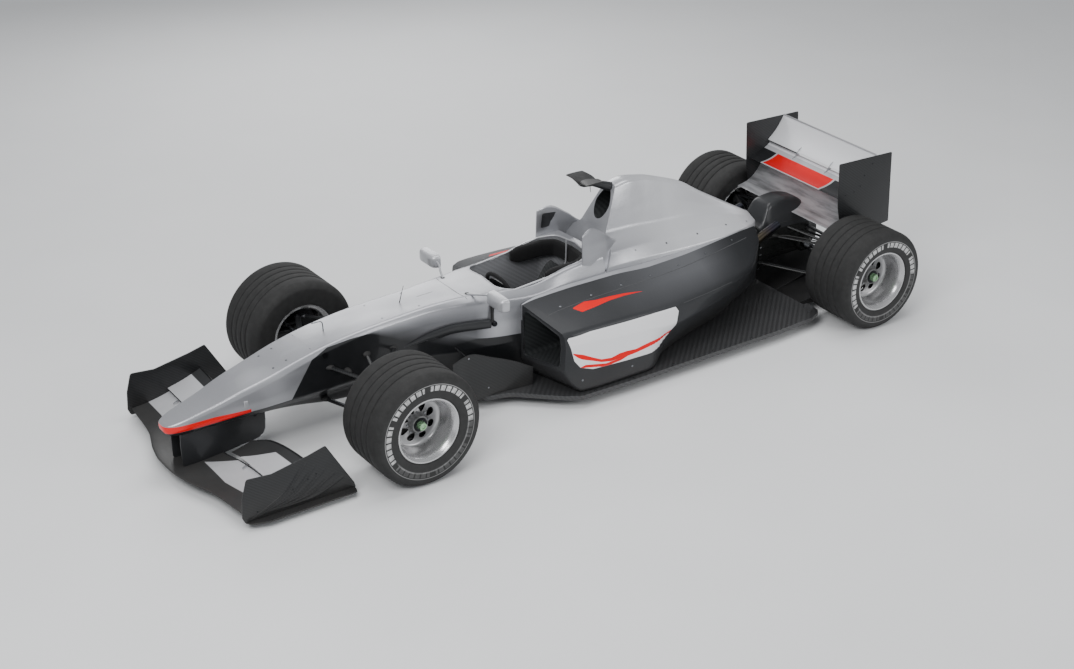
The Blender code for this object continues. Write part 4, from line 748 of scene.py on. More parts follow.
def make_rear_wing_lacquer():
    """Lacquered rear wing: silver, a red band near the main plane's leading edge and charcoal ends."""
    material, shader, coordinates, x, y, z = new_finish("rear_wing_lacquer", 0.36, 0.45, Coat_Weight=0.3,
        Coat_Roughness=0.1, Specular_IOR_Level=0.3)
    drift = grain(coordinates, 4.0, 3.0)
    silver = blend_colour(drift, colour("#C4C5C8"), SILVER)
    silver = blend_colour(under(2.15, y), silver, colour("#E6E7EA"))
    cloud = grain(stretched(coordinates, (1.5, 9.0, 9.0)), 2.2, 5.0, 0.6)
    soot = both(under(z, 0.69), ramp_between(cloud, 0.4, 0.66, 0.15, 0.85))
    silver = blend_colour(soot, silver, colour("#5A5B5D"))
    in_main = both(under(y, 2.15), under(0.69, z), under(y, 2.122))
    band = both(in_main, under(1.994, y), under(-0.3, x), under(x, 0.23))
    ends = both(in_main, sums('MAXIMUM', under(0.245, x), under(x, -0.315)))
    paint = blend_colour(band, silver, RED)
    paint = blend_colour(ends, paint, CHARCOAL)
    paint = road_dust(coordinates, z, paint, 0.45, 0.7, 0.2)
    feed(shader, Base_Color=paint)
    lacquer_sheen(shader, coordinates)
    return material


def make_plain_lacquer(name, code, deep_code, metallic):
    """One-colour lacquer for small body pieces."""
    material, shader, coordinates, *_ = new_finish(name, 0.38, metallic, Coat_Weight=0.25,
        Coat_Roughness=0.15, Specular_IOR_Level=0.3)
    drift = grain(coordinates, 8.0, 3.0)
    paint = blend_colour(drift, colour(code), colour(deep_code))
    feed(shader, Base_Color=paint)
    lacquer_sheen(shader, coordinates)
    return material


def make_carbon_weave(name, light_code, dark_code, roughness, tow, coat=0.3):
    """Twill carbon cloth under resin: 2 by 2 squares of tows, drawn at several millimetres so that it shows.
    Neighbouring tows turn their sheen by a quarter, which is painted as lighter and darker tows and gives the
    stepped diagonal."""
    material, shader, coordinates, x, y, z = new_finish(name, roughness, Coat_Weight=coat,
        Coat_Roughness=0.14, Specular_IOR_Level=0.3)
    # The plies follow the panel: lengthwise against across-plus-up
    first = sums('DIVIDE', sums('ADD', x, z), tow)
    second = sums('DIVIDE', sums('ADD', y, product(z, 0.35)), tow)
    step = sums('ADD', sums('FLOOR', first), sums('FLOOR', second))
    turn = sums('FLOORED_MODULO', step, 4.0)
    warp = ramp_between(turn, 1.4, 1.6)
    # The twill pattern, with the tows' sheen painted as lighter and darker tows
    weave = blend_colour(warp, colour(dark_code), colour(light_code))
    drift = grain(coordinates, 6.0, 4.0)
    cloth = blend_colour(ramp_between(drift, 0.3, 0.8, 0.0, 0.5), weave, colour(dark_code))
    cloth = road_dust(coordinates, z, cloth, 0.05, 0.22, 0.2)
    feed(shader, Base_Color=cloth)
    feed(shader, Roughness=ramp_between(warp, 0.0, 1.0, roughness - 0.06, roughness + 0.06))
    relief(shader, (warp, 0.0002, 0.3))
    return material


def make_metal(name, code, dark_code, roughness, metallic, scale, bump, anisotropic=0.0):
    """Metal surface whose tone and roughness wander a little, with the fine relief of its making."""
    material, shader, coordinates, *_ = new_finish(name, roughness, metallic, Anisotropic=anisotropic)
    wear = grain(coordinates, scale, 6.0, 0.65)
    fine = grain(coordinates, scale * 12)
    tone = blend_colour(ramp_between(wear, 0.35, 0.7), colour(code), colour(dark_code))
    feed(shader, Base_Color=tone)
    feed(shader, Roughness=ramp_between(wear, 0.3, 0.7, roughness * 0.85, min(roughness * 1.2, 1.0)))
    relief(shader, (fine, bump, 0.5))
    return material


def make_wheel_paint():
    """Cast magnesium wheel, machined and silver enamelled; brake dust greys the disc round the hub.
    The UV map holds the turn and the radius."""
    material, shader, coordinates, *_ = new_finish("wheel_enamel", 0.3, 0.75, Coat_Weight=0.3,
        Coat_Roughness=0.15)
    _, radius = turn_and_radius(shader)
    speck = grain(coordinates, 45.0, 5.0, 0.7)
    dust = product(ramp_between(radius, 0.155, 0.055), ramp_between(speck, 0.2, 0.7, 0.45, 1.0))
    tone = blend_colour(dust, colour("#B9B9BA"), colour("#5C5C5C"))
    feed(shader, Base_Color=tone)
    feed(shader, Roughness=ramp_between(dust, 0.0, 1.0, 0.26, 0.5))
    relief(shader, (grain(coordinates, 700.0, 1.0), 0.0002, 0.3))
    return material


def make_tyre_rubber(name, radius, wheel_x):
    """Moulded racing rubber: matt dark grey tread with a scrubbed, faintly grained surface, and a smoother
    sidewall with a band of pale blank blocks. The UV map holds the turn and the radius."""
    material, shader, coordinates, x, _, _ = new_finish(name, 0.72, Specular_IOR_Level=0.35)
    turn, out = turn_and_radius(shader)
    scrub = grain(coordinates, 26.0, 6.0, 0.7)
    rubber = blend_colour(ramp_between(scrub, 0.35, 0.72), colour("#232323"), colour("#2D2D2D"))
    # Blank blocks round the sidewall, in six arcs
    blocks = sums('FRACT', product(turn, 42.0))
    block = both(under(0.14, blocks, 0.03), under(blocks, 0.9, 0.03))
    arc = sums('FRACT', product(turn, 6.0))
    upper = ramp_between(both(under(0.245, turn, 0.012), under(turn, 0.84, 0.012)), 0.0, 1.0, 0.1, 1.0)
    in_arc = both(under(0.08, arc, 0.004), under(arc, 0.94, 0.004), upper)
    band_low = radius - 0.09
    band_top = radius - 0.06
    outer_wall = under(wheel_x, sums('ABSOLUTE', x), 0.01)
    in_band = both(under(band_low, out), under(out, band_top), outer_wall)
    faded = ramp_between(grain(coordinates, 60.0, 5.0, 0.7), 0.3, 0.62, 0.35, 1.0)
    printed = both(block, in_arc, in_band, faded)
    ring = both(under(band_top + 0.005, out, 0.0008), under(out, band_top + 0.0085, 0.0008),
        ramp_between(upper, 0.1, 1.0, 0.55, 0.8), outer_wall)
    inner = both(under(band_low - 0.003, out, 0.0015), under(out, band_low + 0.005, 0.0015),
        ramp_between(upper, 0.1, 1.0, 0.55, 0.0), faded, outer_wall)
    rubber = blend_colour(inner, rubber, colour("#9A9A9A"))
    rubber = blend_colour(ring, rubber, colour("#A8A8A8"))
    rubber = blend_colour(printed, rubber, colour("#C9C9C9"))
    wall = under(out, radius - 0.03, 0.01)
    feed(shader, Base_Color=rubber)
    feed(shader, Roughness=ramp_between(wall, 0.0, 1.0, 0.82, 0.58))
    relief(shader, (grain(coordinates, 160.0, 4.0, 0.7), 0.0012, 0.4), (grain(coordinates, 900.0), 0.0004,
        0.4))
    return material


def make_plank_wood():
    """Resin-laminated beech of the skid plank: long brown grain, scuffed grey along the underside."""
    material, shader, coordinates, *_ = new_finish("laminated_beech_plank", 0.62)
    fibre = grain(stretched(coordinates, (60.0, 2.5, 60.0)), 2.0, 6.0, 0.7)
    scuff = grain(coordinates, 40.0, 6.0, 0.75)
    wood = blend_colour(fibre, colour("#4A3524"), colour("#2E2118"))
    wood = blend_colour(ramp_between(scuff, 0.48, 0.66, 0.0, 0.6), wood, colour("#5E574F"))
    feed(shader, Base_Color=wood)
    relief(shader, (fibre, 0.0006, 0.5))
    return material


def make_cloth(name, code, dark_code, thread=0.0022, roughness=0.85):
    """Woven cloth: crossing threads, drawn at about 2 mm so that they show, with a soft nap."""
    material, shader, coordinates, x, y, z = new_finish(name, roughness, Sheen_Weight=0.06,
        Sheen_Roughness=0.5, Specular_IOR_Level=0.25)
    first = sums('SINE', product(sums('ADD', x, z), math.tau / thread))
    second = sums('SINE', product(sums('ADD', y, z), math.tau / thread))
    weave = ramp_between(product(first, second), -1.0, 1.0)
    soiled = grain(coordinates, 30.0, 5.0, 0.6)
    tone = blend_colour(product(weave, soiled), colour(dark_code), colour(code))
    feed(shader, Base_Color=tone)
    relief(shader, (weave, 0.0005, 0.5))
    return material


def make_dark_polymer(name, code, dark_code, roughness):
    """Moulded dark polymer or rubber with a fine spark-eroded grain."""
    material, shader, coordinates, *_ = new_finish(name, roughness)
    drift = grain(coordinates, 25.0, 5.0, 0.6)
    tone = blend_colour(drift, colour(code), colour(dark_code))
    feed(shader, Base_Color=tone)
    relief(shader, (grain(coordinates, 900.0), 0.0003, 0.5))
    return material


def make_heated_steel():
    """Thin exhaust tubing, blued and straw coloured by heat towards its mouth."""
    material, shader, coordinates, _, y, _ = new_finish("heat_tinted_steel", 0.42, 1.0)
    cloud = grain(coordinates, 18.0, 5.0, 0.6)
    along = ramp_between(sums('ADD', y, product(cloud, 0.1)), 1.45, 1.82)
    tint = node(shader.id_data, 'ShaderNodeValToRGB', {'Fac': along})
    stops = tint.color_ramp.elements
    stops[0].position = 0.0
    stops[0].color = colour("#3E3C39")
    stops[1].position = 1.0
    stops[1].color = colour("#2C2723")
    for position, code in ((0.45, "#3A352D"), (0.7, "#2B2930"), (0.86, "#25282D")):
        stop = stops.new(position)
        stop.color = colour(code)
    feed(shader, Base_Color=tint.outputs['Color'])
    relief(shader, (grain(coordinates, 400.0), 0.0003, 0.4))
    return material


def make_red_lens():
    """Moulded red lens of the rain light, with its prism grid."""
    material, shader, _, x, _, z = new_finish("red_moulded_lens", 0.12, Transmission_Weight=0.35)
    grid = sums('MULTIPLY', sums('SINE', product(x, 700.0)), sums('SINE', product(z, 700.0)))
    tone = blend_colour(ramp_between(grid, -1.0, 1.0), colour("#B01414"), colour("#6E0A0A"))
    feed(shader, Base_Color=tone)
    relief(shader, (grid, 0.0006, 0.6))
    return material


def make_mirror_glass():
    """Silvered glass with a few water marks."""
    material, shader, coordinates, *_ = new_finish("silvered_mirror_glass", 0.05, 1.0)
    marks = grain(coordinates, 120.0, 6.0, 0.7)
    tone = blend_colour(ramp_between(marks, 0.55, 0.8), colour("#C4CBD0"), colour("#8E969B"))
    feed(shader, Base_Color=tone)
    feed(shader, Roughness=ramp_between(marks, 0.5, 0.8, 0.04, 0.22))
    return material


BODY_LACQUER = make_body_lacquer()
POD_LACQUER = make_pod_lacquer()
FRONT_WING_LACQUER = make_front_wing_lacquer()
REAR_WING_LACQUER = make_rear_wing_lacquer()
SILVER_TRIM = make_plain_lacquer("silver_trim_lacquer", "#BEBFC2", "#A9AAAE", 0.5)
CHARCOAL_TRIM = make_plain_lacquer("charcoal_trim_lacquer", "#2E2F31", "#232426", 0.1)
PANEL_CARBON = make_carbon_weave("satin_carbon_twill", "#242527", "#1A1B1C", 0.42, 0.006, 0.2)
BARE_CARBON = make_carbon_weave("bare_carbon_twill", "#232426", "#131415", 0.34, 0.005)
FLOOR_CARBON = make_carbon_weave("floor_carbon_twill", "#3A3B3D", "#2C2D2F", 0.36, 0.01, 0.5)
# Pale grey carbon for the cockpit's walls: painted light inside the opening
LIT_COCKPIT_CARBON = make_carbon_weave("cockpit_wall_carbon_painted_light", "#838487", "#78797C", 0.5, 0.009, 0.1)
# Carbon of the turning vanes, darkened below the other carbon as painted shade under the tub's flank
SHADED_VANE_CARBON = make_carbon_weave("vane_carbon_twill_painted_shade", "#1C1D1E", "#131415", 0.36, 0.007)
INNER_CARBON = make_carbon_weave("inner_carbon_plies", "#323435", "#242627", 0.55, 0.009, 0.1)
CAST_MAGNESIUM = make_metal("sand_cast_magnesium", "#2F302F", "#1E1F1F", 0.52, 0.7, 70.0, 0.001)
MACHINED_STEEL = make_metal("turned_steel", "#8C8E91", "#6C6E72", 0.28, 1.0, 90.0, 0.0002, 0.3)
BRIGHT_ALUMINIUM = make_metal("milled_aluminium", "#BFC1C3", "#9EA0A3", 0.26, 1.0, 80.0, 0.0002, 0.2)
ANODISED_NUT = make_metal("green_anodised_nut", "#A9CBA6", "#7FA77F", 0.26, 0.9, 120.0, 0.0002)
BLACK_ANODISED = make_metal("black_anodised_aluminium", "#26272A", "#18191B", 0.38, 0.8, 90.0, 0.0002)
BRAKE_CARBON = make_metal("carbon_brake_disc", "#3A3836", "#232221", 0.55, 0.2, 200.0, 0.0006)
RADIATOR_METAL = make_metal("brazed_radiator_core", "#54565A", "#2C2D30", 0.45, 0.8, 150.0, 0.0004)
ENGINE_CASTING = make_metal("engine_alloy_casting", "#4A4B4C", "#2C2D2E", 0.48, 0.8, 50.0, 0.0012)
WHEEL_ENAMEL = make_wheel_paint()
FRONT_RUBBER = make_tyre_rubber("front_moulded_rubber", FRONT_RADIUS, FRONT_WHEEL_X)
REAR_RUBBER = make_tyre_rubber("rear_moulded_rubber", REAR_RADIUS, REAR_WHEEL_X)
PLANK_WOOD = make_plank_wood()
PAD_CLOTH = make_cloth("black_padding_cloth", "#161617", "#0C0C0D")
HARNESS_WEB = make_cloth("harness_webbing", "#26282C", "#141517", 0.003)
GRIP_SUEDE = make_cloth("grip_suede", "#232324", "#151516", 0.0012, 0.95)
BLACK_POLYMER = make_dark_polymer("moulded_black_polymer", "#1B1B1C", "#111112", 0.5)
GAITER_RUBBER = make_dark_polymer("moulded_gaiter_rubber", "#222222", "#171717", 0.72)
SHUT_LINE = make_dark_polymer("shut_line_shadow", "#4A4B4D", "#3A3B3D", 0.7)
RED_SWITCH = make_plain_lacquer("red_moulded_switch", "#C42A22", "#A8221C", 0.0)
YELLOW_SWITCH = make_plain_lacquer("yellow_moulded_switch", "#D2B23A", "#B89A30", 0.0)
HEATED_STEEL = make_heated_steel()
RED_LENS = make_red_lens()
MIRROR_GLASS = make_mirror_glass()


# Camera at the photograph's angle

azimuth = math.radians(55.32)
elevation = math.radians(26.79)
camera_data = bpy.data.cameras.new("camera")
camera_data.lens = 66.74
camera_data.sensor_width = 36.0
camera = bpy.data.objects.new("camera", camera_data)
camera.location = (8.727, -6.026, 5.531)
backward = Vector((math.sin(azimuth) * math.cos(elevation), -math.cos(azimuth) * math.cos(elevation),
    math.sin(elevation)))
camera.rotation_euler = (-backward).to_track_quat('-Z', 'Y').to_euler()
bpy.context.scene.collection.objects.link(camera)
bpy.context.scene.camera = camera


# Nose and tub

# Columns: y, ridge z, then x and z of the chine, shoulder, foot of the side, keel edge and keel
BODY_ROWS = (
    (-2.42, 0.336, 0.02, 0.334, 0.024, 0.326, 0.024, 0.316, 0.02, 0.312, 0.018, 0.308),
    (-2.398, 0.346, 0.052, 0.342, 0.06, 0.33, 0.06, 0.305, 0.054, 0.29, 0.048, 0.282),
    (-2.33, 0.366, 0.078, 0.36, 0.086, 0.345, 0.088, 0.312, 0.076, 0.285, 0.066, 0.272),
    (-2.179, 0.406, 0.098, 0.4, 0.108, 0.38, 0.112, 0.325, 0.104, 0.3, 0.09, 0.284),
    (-2.0, 0.463, 0.122, 0.457, 0.134, 0.43, 0.14, 0.332, 0.122, 0.302, 0.1, 0.282),
    (-1.84, 0.506, 0.136, 0.5, 0.148, 0.47, 0.154, 0.335, 0.126, 0.3, 0.104, 0.278),
    (-1.645, 0.56, 0.142, 0.556, 0.158, 0.526, 0.158, 0.333, 0.112, 0.286, 0.096, 0.25),
    (-1.43, 0.604, 0.142, 0.6, 0.158, 0.57, 0.158, 0.335, 0.088, 0.262, 0.088, 0.205),
    (-1.18, 0.632, 0.142, 0.628, 0.158, 0.6, 0.158, 0.34, 0.088, 0.262, 0.088, 0.18),
    (-0.86, 0.648, 0.136, 0.644, 0.158, 0.615, 0.158, 0.345, 0.088, 0.262, 0.088, 0.14),
    (-0.631, 0.655, 0.148, 0.65, 0.19, 0.62, 0.215, 0.343, 0.15, 0.2, 0.14, 0.0853),
    (-0.38, 0.66, 0.195, 0.643, 0.245, 0.604, 0.255, 0.338, 0.225, 0.16, 0.2, 0.0853),
    (-0.181, 0.664, 0.212, 0.632, 0.262, 0.589, 0.262, 0.33, 0.262, 0.16, 0.245, 0.0853),
    (0.1, 0.694, 0.234, 0.686, 0.262, 0.606, 0.262, 0.33, 0.262, 0.16, 0.25, 0.0853),
    (0.316, 0.711, 0.236, 0.702, 0.262, 0.61, 0.262, 0.33, 0.262, 0.16, 0.25, 0.0853),
)
NOSE_TIP_Y = -2.42
HOOP_Y = 0.316
JOINT_Y = -1.645
JOINT_LEAN = 0.66
JOINT_Z = 0.445
TUB_REAR_Y = 0.58
COVER_SEAT_Z = 0.6


def along_body(place):
    """Places counted from the tip by square root, so that the tip comes out round."""
    return math.sqrt(max(place - NOSE_TIP_Y, 0) + 0.0004)


def body_lean(y):
    """How far a section tips back: fully at the nose joint, not at all 0.2 m away from it."""
    return JOINT_LEAN * curve_through([-1.84, JOINT_Y, -1.43], [0.0, 1.0, 0.0], y)


def body_half(y, top_limit, grow):
    """Upright half outline of the nose or tub at a place along it, from ridge to keel."""
    row = smooth_row(BODY_ROWS, min(y, HOOP_Y), along_body)
    heights = [row[1], *row[3::2]]
    widths = row[2::2]
    if top_limit is not None:
        heights = [min(height, top_limit) for height in heights]
    corners = [(wide + grow, high) for wide, high in zip(widths, heights[1:])]
    reach = min(CHINE, widths[0] * 0.6)
    return rounded([(0, heights[0] + grow), *corners, (0, heights[-1] - grow)], [reach] * len(corners), 6)


def body_section(y, shift=0.0, top_limit=None, grow=0.0):
    """Closed ring of the nose or tub: where it tips back, each point keeps to the skin at its own place."""
    half = body_half(y, top_limit, grow)
    lean = body_lean(y)
    if lean > 0.001:
        for _ in range(3):
            half = [body_half(y + lean * (z - JOINT_Z), top_limit, grow)[index]
                for index, (_, z) in enumerate(half)]
    return both_halves([Vector((x, y + shift + lean * (z - JOINT_Z), z)) for x, z in half])


nose_stations = [NOSE_TIP_Y + 0.775 * (k / 44) ** 1.6 for k in range(45)]
nose_cone = skin("nose_cone_shell", [body_section(y, -0.0003 if y > -1.66 else 0.0) for y in nose_stations],
    BODY_LACQUER)
tub_stations = spread(JOINT_Y, HOOP_Y, 66)
tub_loops = [body_section(y) for y in tub_stations]
tub_loops += [body_section(HOOP_Y, 0.005, COVER_SEAT_Z), body_section(HOOP_Y, TUB_REAR_Y - HOOP_Y,
    COVER_SEAT_Z)]
tub = skin("tub_shell", tub_loops, BODY_LACQUER)

# Columns: place along the opening from its front, half width
OPENING = ((0.0, 0.0), (0.0, 0.129), (0.026, 0.179), (0.079, 0.204), (0.33, 0.208), (0.541, 0.208),
    (0.64, 0.166), (0.66, 0.0))
OPENING_FRONT_Y = -0.375


def opening_outline(z):
    """Closed plan of the cockpit opening, softly rounded."""
    half = [Vector((x, OPENING_FRONT_Y + y, z)) for y, x in OPENING]
    return rounded_loop(both_halves(half), 0.075, 6)


whole_tub_tree = tree_of(tub)
opening_high = opening_outline(0.9)
# The cutter gives the cockpit walls the pale carbon of painted light
carve(tub, [skin("cockpit_cutter", [opening_outline(0.1203), opening_high], LIT_COCKPIT_CARBON),
    block("leg_tunnel_cutter", (-0.105, -1.16, 0.32), (0.105, -0.21, 0.55), INNER_CARBON, 0.03),
    bar("rack_bore_cutter", (-TUB_HALF_WIDTH, RACK_Y, RACK_Z), (TUB_HALF_WIDTH, RACK_Y, RACK_Z),
    ((0, 0.017), (1, 0.017)), 24, INNER_CARBON)])

# Rolled lip round the opening, sunk into the edge
lip_points = []
for point in opening_high:
    place, _ = on_top(whole_tub_tree, point.x * 1.012, point.y)
    if place is not None and point.y < 0.285:
        lip_points.append(place - Vector((0, 0, 0.003)))
lip = loop_tube("cockpit_lip", lip_points, 0.0055, 10, SILVER_TRIM)

# Engine cover

# Columns: y, lean, ridge z, then x and z of the crown, waist, hip, shoulder and edge
COVER_ROWS = (
    (0.419, 0.5, 1.03, 0.05, 1.022, 0.088, 0.9, 0.125, 0.775, 0.233, 0.702, 0.262, 0.625),
    (0.58, 0.2, 1.045, 0.052, 1.036, 0.09, 0.905, 0.125, 0.775, 0.218, 0.695, 0.262, 0.62),
    (0.76, 0.0, 1.027, 0.046, 1.016, 0.085, 0.89, 0.122, 0.76, 0.2, 0.68, 0.262, 0.612),
    (0.91, 0.0, 0.979, 0.042, 0.968, 0.078, 0.86, 0.114, 0.745, 0.192, 0.668, 0.262, 0.606),
    (1.06, 0.0, 0.918, 0.038, 0.906, 0.07, 0.81, 0.106, 0.725, 0.186, 0.655, 0.262, 0.604),
    (1.224, 0.0, 0.814, 0.034, 0.804, 0.06, 0.745, 0.096, 0.69, 0.178, 0.64, 0.258, 0.604),
    (1.387, 0.0, 0.718, 0.03, 0.709, 0.052, 0.68, 0.084, 0.65, 0.15, 0.622, 0.225, 0.598),
    (1.554, 0.0, 0.621, 0.024, 0.616, 0.04, 0.603, 0.062, 0.59, 0.1, 0.578, 0.14, 0.562),
    (1.614, 0.0, 0.586, 0.016, 0.582, 0.028, 0.576, 0.042, 0.568, 0.064, 0.56, 0.086, 0.55),
)
COVER_UNDER_Z = 0.5003


def cover_section(y):
    """Closed ring of the engine cover."""
    row = smooth_row(COVER_ROWS, y)
    lean = row[1]
    corners = list(zip(row[3::2], row[4::2]))
    points = [(0, row[2]), *corners, (row[-2], COVER_UNDER_Z), (0, COVER_UNDER_Z)]
    radii = [0.03, 0.06, 0.06, 0.045, 0.022, 0.006]
    half = rounded(points, radii, 6)
    return both_halves([Vector((x, y + lean * (z - 0.78), z)) for x, z in half])


cover = skin("engine_cover_shell", [cover_section(y) for y in spread(0.419, 1.614, 62)], BODY_LACQUER)
cover_tree = tree_of(cover)

# Fins beside the driver's head. Columns: y, foot x, top x, foot z, top z
FIN_ROWS = ((0.168, 0.241, 0.231, 0.68, 0.858), (0.234, 0.241, 0.212, 0.682, 0.884),
    (0.36, 0.231, 0.189, 0.7, 0.818), (0.43, 0.212, 0.172, 0.702, 0.762), (0.504, 0.194, 0.157, 0.7, 0.726))
fins = []
for side, label in SIDES:
    rings = []
    for k, y in enumerate(spread(0.168, 0.504, 24)):
        _, foot_x, top_x, foot_z, top_z = smooth_row(FIN_ROWS, y)
        thick = 0.0125 * min(1.0, 0.3 + k / 5)
        low_z = foot_z - 0.085
        outline = rounded([(foot_x + thick, low_z), (top_x + thick * 0.8, top_z - 0.01), (top_x, top_z),
            (top_x - thick * 0.8, top_z - 0.01), (foot_x - thick, low_z)], [0.006] * 3, 4)
        rings.append([Vector((side * x, y, z)) for x, z in outline])
    fins.append(skin(f"fin_{label}", rings, BODY_LACQUER))
carve(cover, fins, 'UNION')
duct_rings = []
for y, wide, low, top in ((0.3, 0.066, 0.812, 1.006), (0.604, 0.063, 0.836, 0.998),
        (0.76, 0.045, 0.867, 0.972)):
    middle, half = (low + top) / 2, (top - low) / 2
    duct_rings.append([Vector((wide * (1 - 0.3 * max(0, math.sin(a))) * math.cos(a), y,
        middle + half * math.sin(a))) for a in turns(40)])
tub_space = [body_section(y, 0.0, None, 0.0008) for y in spread(-0.2, HOOP_Y, 18)]
tub_space += [body_section(HOOP_Y, shift, COVER_SEAT_Z, 0.0008) for shift in (0.0055, 0.27)]
carve(cover, [skin("tub_space", tub_space, BODY_LACQUER)])
carve(cover, [skin("airbox_cutter", duct_rings, INNER_CARBON)])

# Sidepods

# Columns: y, inner top z, outer top x, z, side x, z, outer foot x, z, inner foot z
POD_ROWS = (
    (-0.28, 0.56, 0.585, 0.47, 0.598, 0.4, 0.59, 0.235, 0.215),
    (-0.23, 0.575, 0.6, 0.478, 0.612, 0.4, 0.606, 0.15, 0.13),
    (-0.161, 0.588, 0.605, 0.478, 0.62, 0.4, 0.622, 0.09, 0.0855),
    (0.069, 0.6, 0.605, 0.474, 0.622, 0.38, 0.63, 0.0855, 0.0855),
    (0.37, 0.6, 0.603, 0.462, 0.62, 0.36, 0.628, 0.0855, 0.0855),
    (0.59, 0.592, 0.59, 0.45, 0.6, 0.33, 0.48, 0.0855, 0.0855),
    (0.82, 0.592, 0.56, 0.44, 0.54, 0.32, 0.39, 0.0855, 0.0855),
    (1.069, 0.6, 0.51, 0.435, 0.46, 0.31, 0.331, 0.096, 0.096),
    (1.31, 0.612, 0.441, 0.438, 0.391, 0.34, 0.3, 0.18, 0.18),
    (1.45, 0.622, 0.32, 0.54, 0.31, 0.4, 0.3, 0.26, 0.26),
)
POD_FRONT_Y = -0.28
POD_SWEEP = 0.23
INLET = ((0.2835, 0.24), (0.2835, 0.537), (0.554, 0.453), (0.563, 0.384), (0.554, 0.258))


def pod_sweep(y):
    """How far the front of the pod runs back towards its outer edge, fading out behind."""
    return POD_SWEEP * max(0, 1 - (y - POD_FRONT_Y) / 0.577)


def pod_section(y, side):
    """Closed ring of a sidepod."""
    inner = TUB_HALF_WIDTH + 0.0003
    row = smooth_row(POD_ROWS, y)
    points = [(inner, row[1]), (row[2], row[3]), (row[4], row[5]), (row[6], row[7]), (inner, row[8])]
    ring = rounded_loop(points, [0.004, 0.06, 0.055, 0.03, 0.004], 7)
    return [Vector((side * x, y + pod_sweep(y) * (x - inner), z)) for x, z in ring]


def inlet_ring(side, y, size):
    """Closed ring of the radiator inlet's duct."""
    middle = Vector((sum(x for x, z in INLET) / 5, sum(z for x, z in INLET) / 5))
    points = [(middle.x + (x - middle.x) * size, middle.y + (z - middle.y) * size) for x, z in INLET]
    return [Vector((side * x, y + POD_SWEEP * (x - TUB_HALF_WIDTH), z)) for x, z in rounded_loop(points,
        0.03, 6)]


pods = {}
pod_stations = [POD_FRONT_Y + 1.73 * (k / 70) ** 1.25 for k in range(71)]
for side, label in SIDES:
    pod = skin(f"sidepod_{label}_shell", [pod_section(y, side) for y in pod_stations], POD_LACQUER)
    pods[label] = tree_of(pod)
    duct = skin(f"inlet_cutter_{label}", [inlet_ring(side, y, size)
        for y, size in ((-0.384, 1.0), (-0.107, 1.0), (0.0, 0.94), (0.135, 0.8))], INNER_CARBON)
    carve(pod, [duct])
    # Rolled edge of the inlet
    edge = loop_tube(f"inlet_edge_{label}", [point + Vector((0, 0.0015, 0))
        for point in inlet_ring(side, POD_FRONT_Y, 1.006)], 0.0042, 8, CHARCOAL_TRIM)
    keep(join(f"sidepod_{label}_body", [pod, edge]), "chassis", "charcoal_lacquer", f"sidepod_{label}")
keep(nose_cone, "chassis", "silver_lacquer", "nose_cone")
keep(tub, "chassis", "silver_lacquer", "monocoque")
keep(lip, "chassis", "silver_lacquer")
keep(cover, "chassis", "silver_lacquer", "engine_cover")


# What repeats, made by Geometry Nodes


def repeat_tree(name, build, inputs):
    """Node group whose tree is filled in by build(tree, entry, group output socket)."""
    tree = bpy.data.node_groups.new(name, 'GeometryNodeTree')
    tree.interface.new_socket("Geometry", in_out='INPUT', socket_type='NodeSocketGeometry')
    for label, kind in inputs:
        tree.interface.new_socket(label, in_out='INPUT', socket_type=kind)
    tree.interface.new_socket("Geometry", in_out='OUTPUT', socket_type='NodeSocketGeometry')
    entry = node(tree, 'NodeGroupInput').outputs
    made = build(tree, entry)
    real = node(tree, 'GeometryNodeRealizeInstances', {'Geometry': made})
    dressed = node(tree, 'GeometryNodeSetMaterial', {'Geometry': real.outputs['Geometry'],
        'Material': entry['Finish']})
    node(tree, 'NodeGroupOutput', {'Geometry': dressed.outputs['Geometry']})
    return tree


def heads_at_points(tree, entry):
    """A round head on every carrier vertex, turned to its stored facing."""
    head = node(tree, 'GeometryNodeMeshCylinder', {'Vertices': entry['Sides'], 'Radius': entry['Radius'],
        'Depth': entry['Height']})
    facing = node(tree, 'GeometryNodeInputNamedAttribute', {'Name': "facing"}, data_type='FLOAT_VECTOR')
    turn = node(tree, 'FunctionNodeAlignRotationToVector', {'Vector': facing.outputs['Attribute']},
        axis='Z')
    return node(tree, 'GeometryNodeInstanceOnPoints', {'Points': entry['Geometry'],
        'Instance': head.outputs['Mesh'], 'Rotation': turn.outputs['Rotation']}).outputs['Instances']


def slats_in_row(tree, entry):
    """Thin plates side by side along a line, such as the fins of a radiator."""
    line = node(tree, 'GeometryNodeMeshLine', {'Count': entry['Count'], 'Start Location': entry['Start'],
        'Offset': entry['Step']})
    plate_size = node(tree, 'GeometryNodeMeshCube', {'Size': entry['Size']})
    row = node(tree, 'GeometryNodeInstanceOnPoints', {'Points': line.outputs['Mesh'],
        'Instance': plate_size.outputs['Mesh'], 'Rotation': entry['Turn']})
    return row.outputs['Instances']


HEADS = repeat_tree("panel_fasteners", heads_at_points, (("Radius", 'NodeSocketFloat'),
    ("Height", 'NodeSocketFloat'), ("Sides", 'NodeSocketInt'), ("Finish", 'NodeSocketMaterial')))
SLATS = repeat_tree("core_slats", slats_in_row, (("Count", 'NodeSocketInt'), ("Start", 'NodeSocketVector'),
    ("Step", 'NodeSocketVector'), ("Size", 'NodeSocketVector'), ("Turn", 'NodeSocketVector'),
    ("Finish", 'NodeSocketMaterial')))


def grown(name, carrier_mesh, tree, values):
    """Runs a node group on a carrier mesh and keeps its result as a plain mesh."""
    carrier = bpy.data.objects.new(name, carrier_mesh)
    bpy.context.scene.collection.objects.link(carrier)
    change = carrier.modifiers.new(name, 'NODES')
    change.node_group = tree
    for item in tree.interface.items_tree:
        if item.in_out == 'INPUT' and item.name in values:
            change[item.identifier] = values[item.name]
    apply_modifiers(carrier)
    return carrier


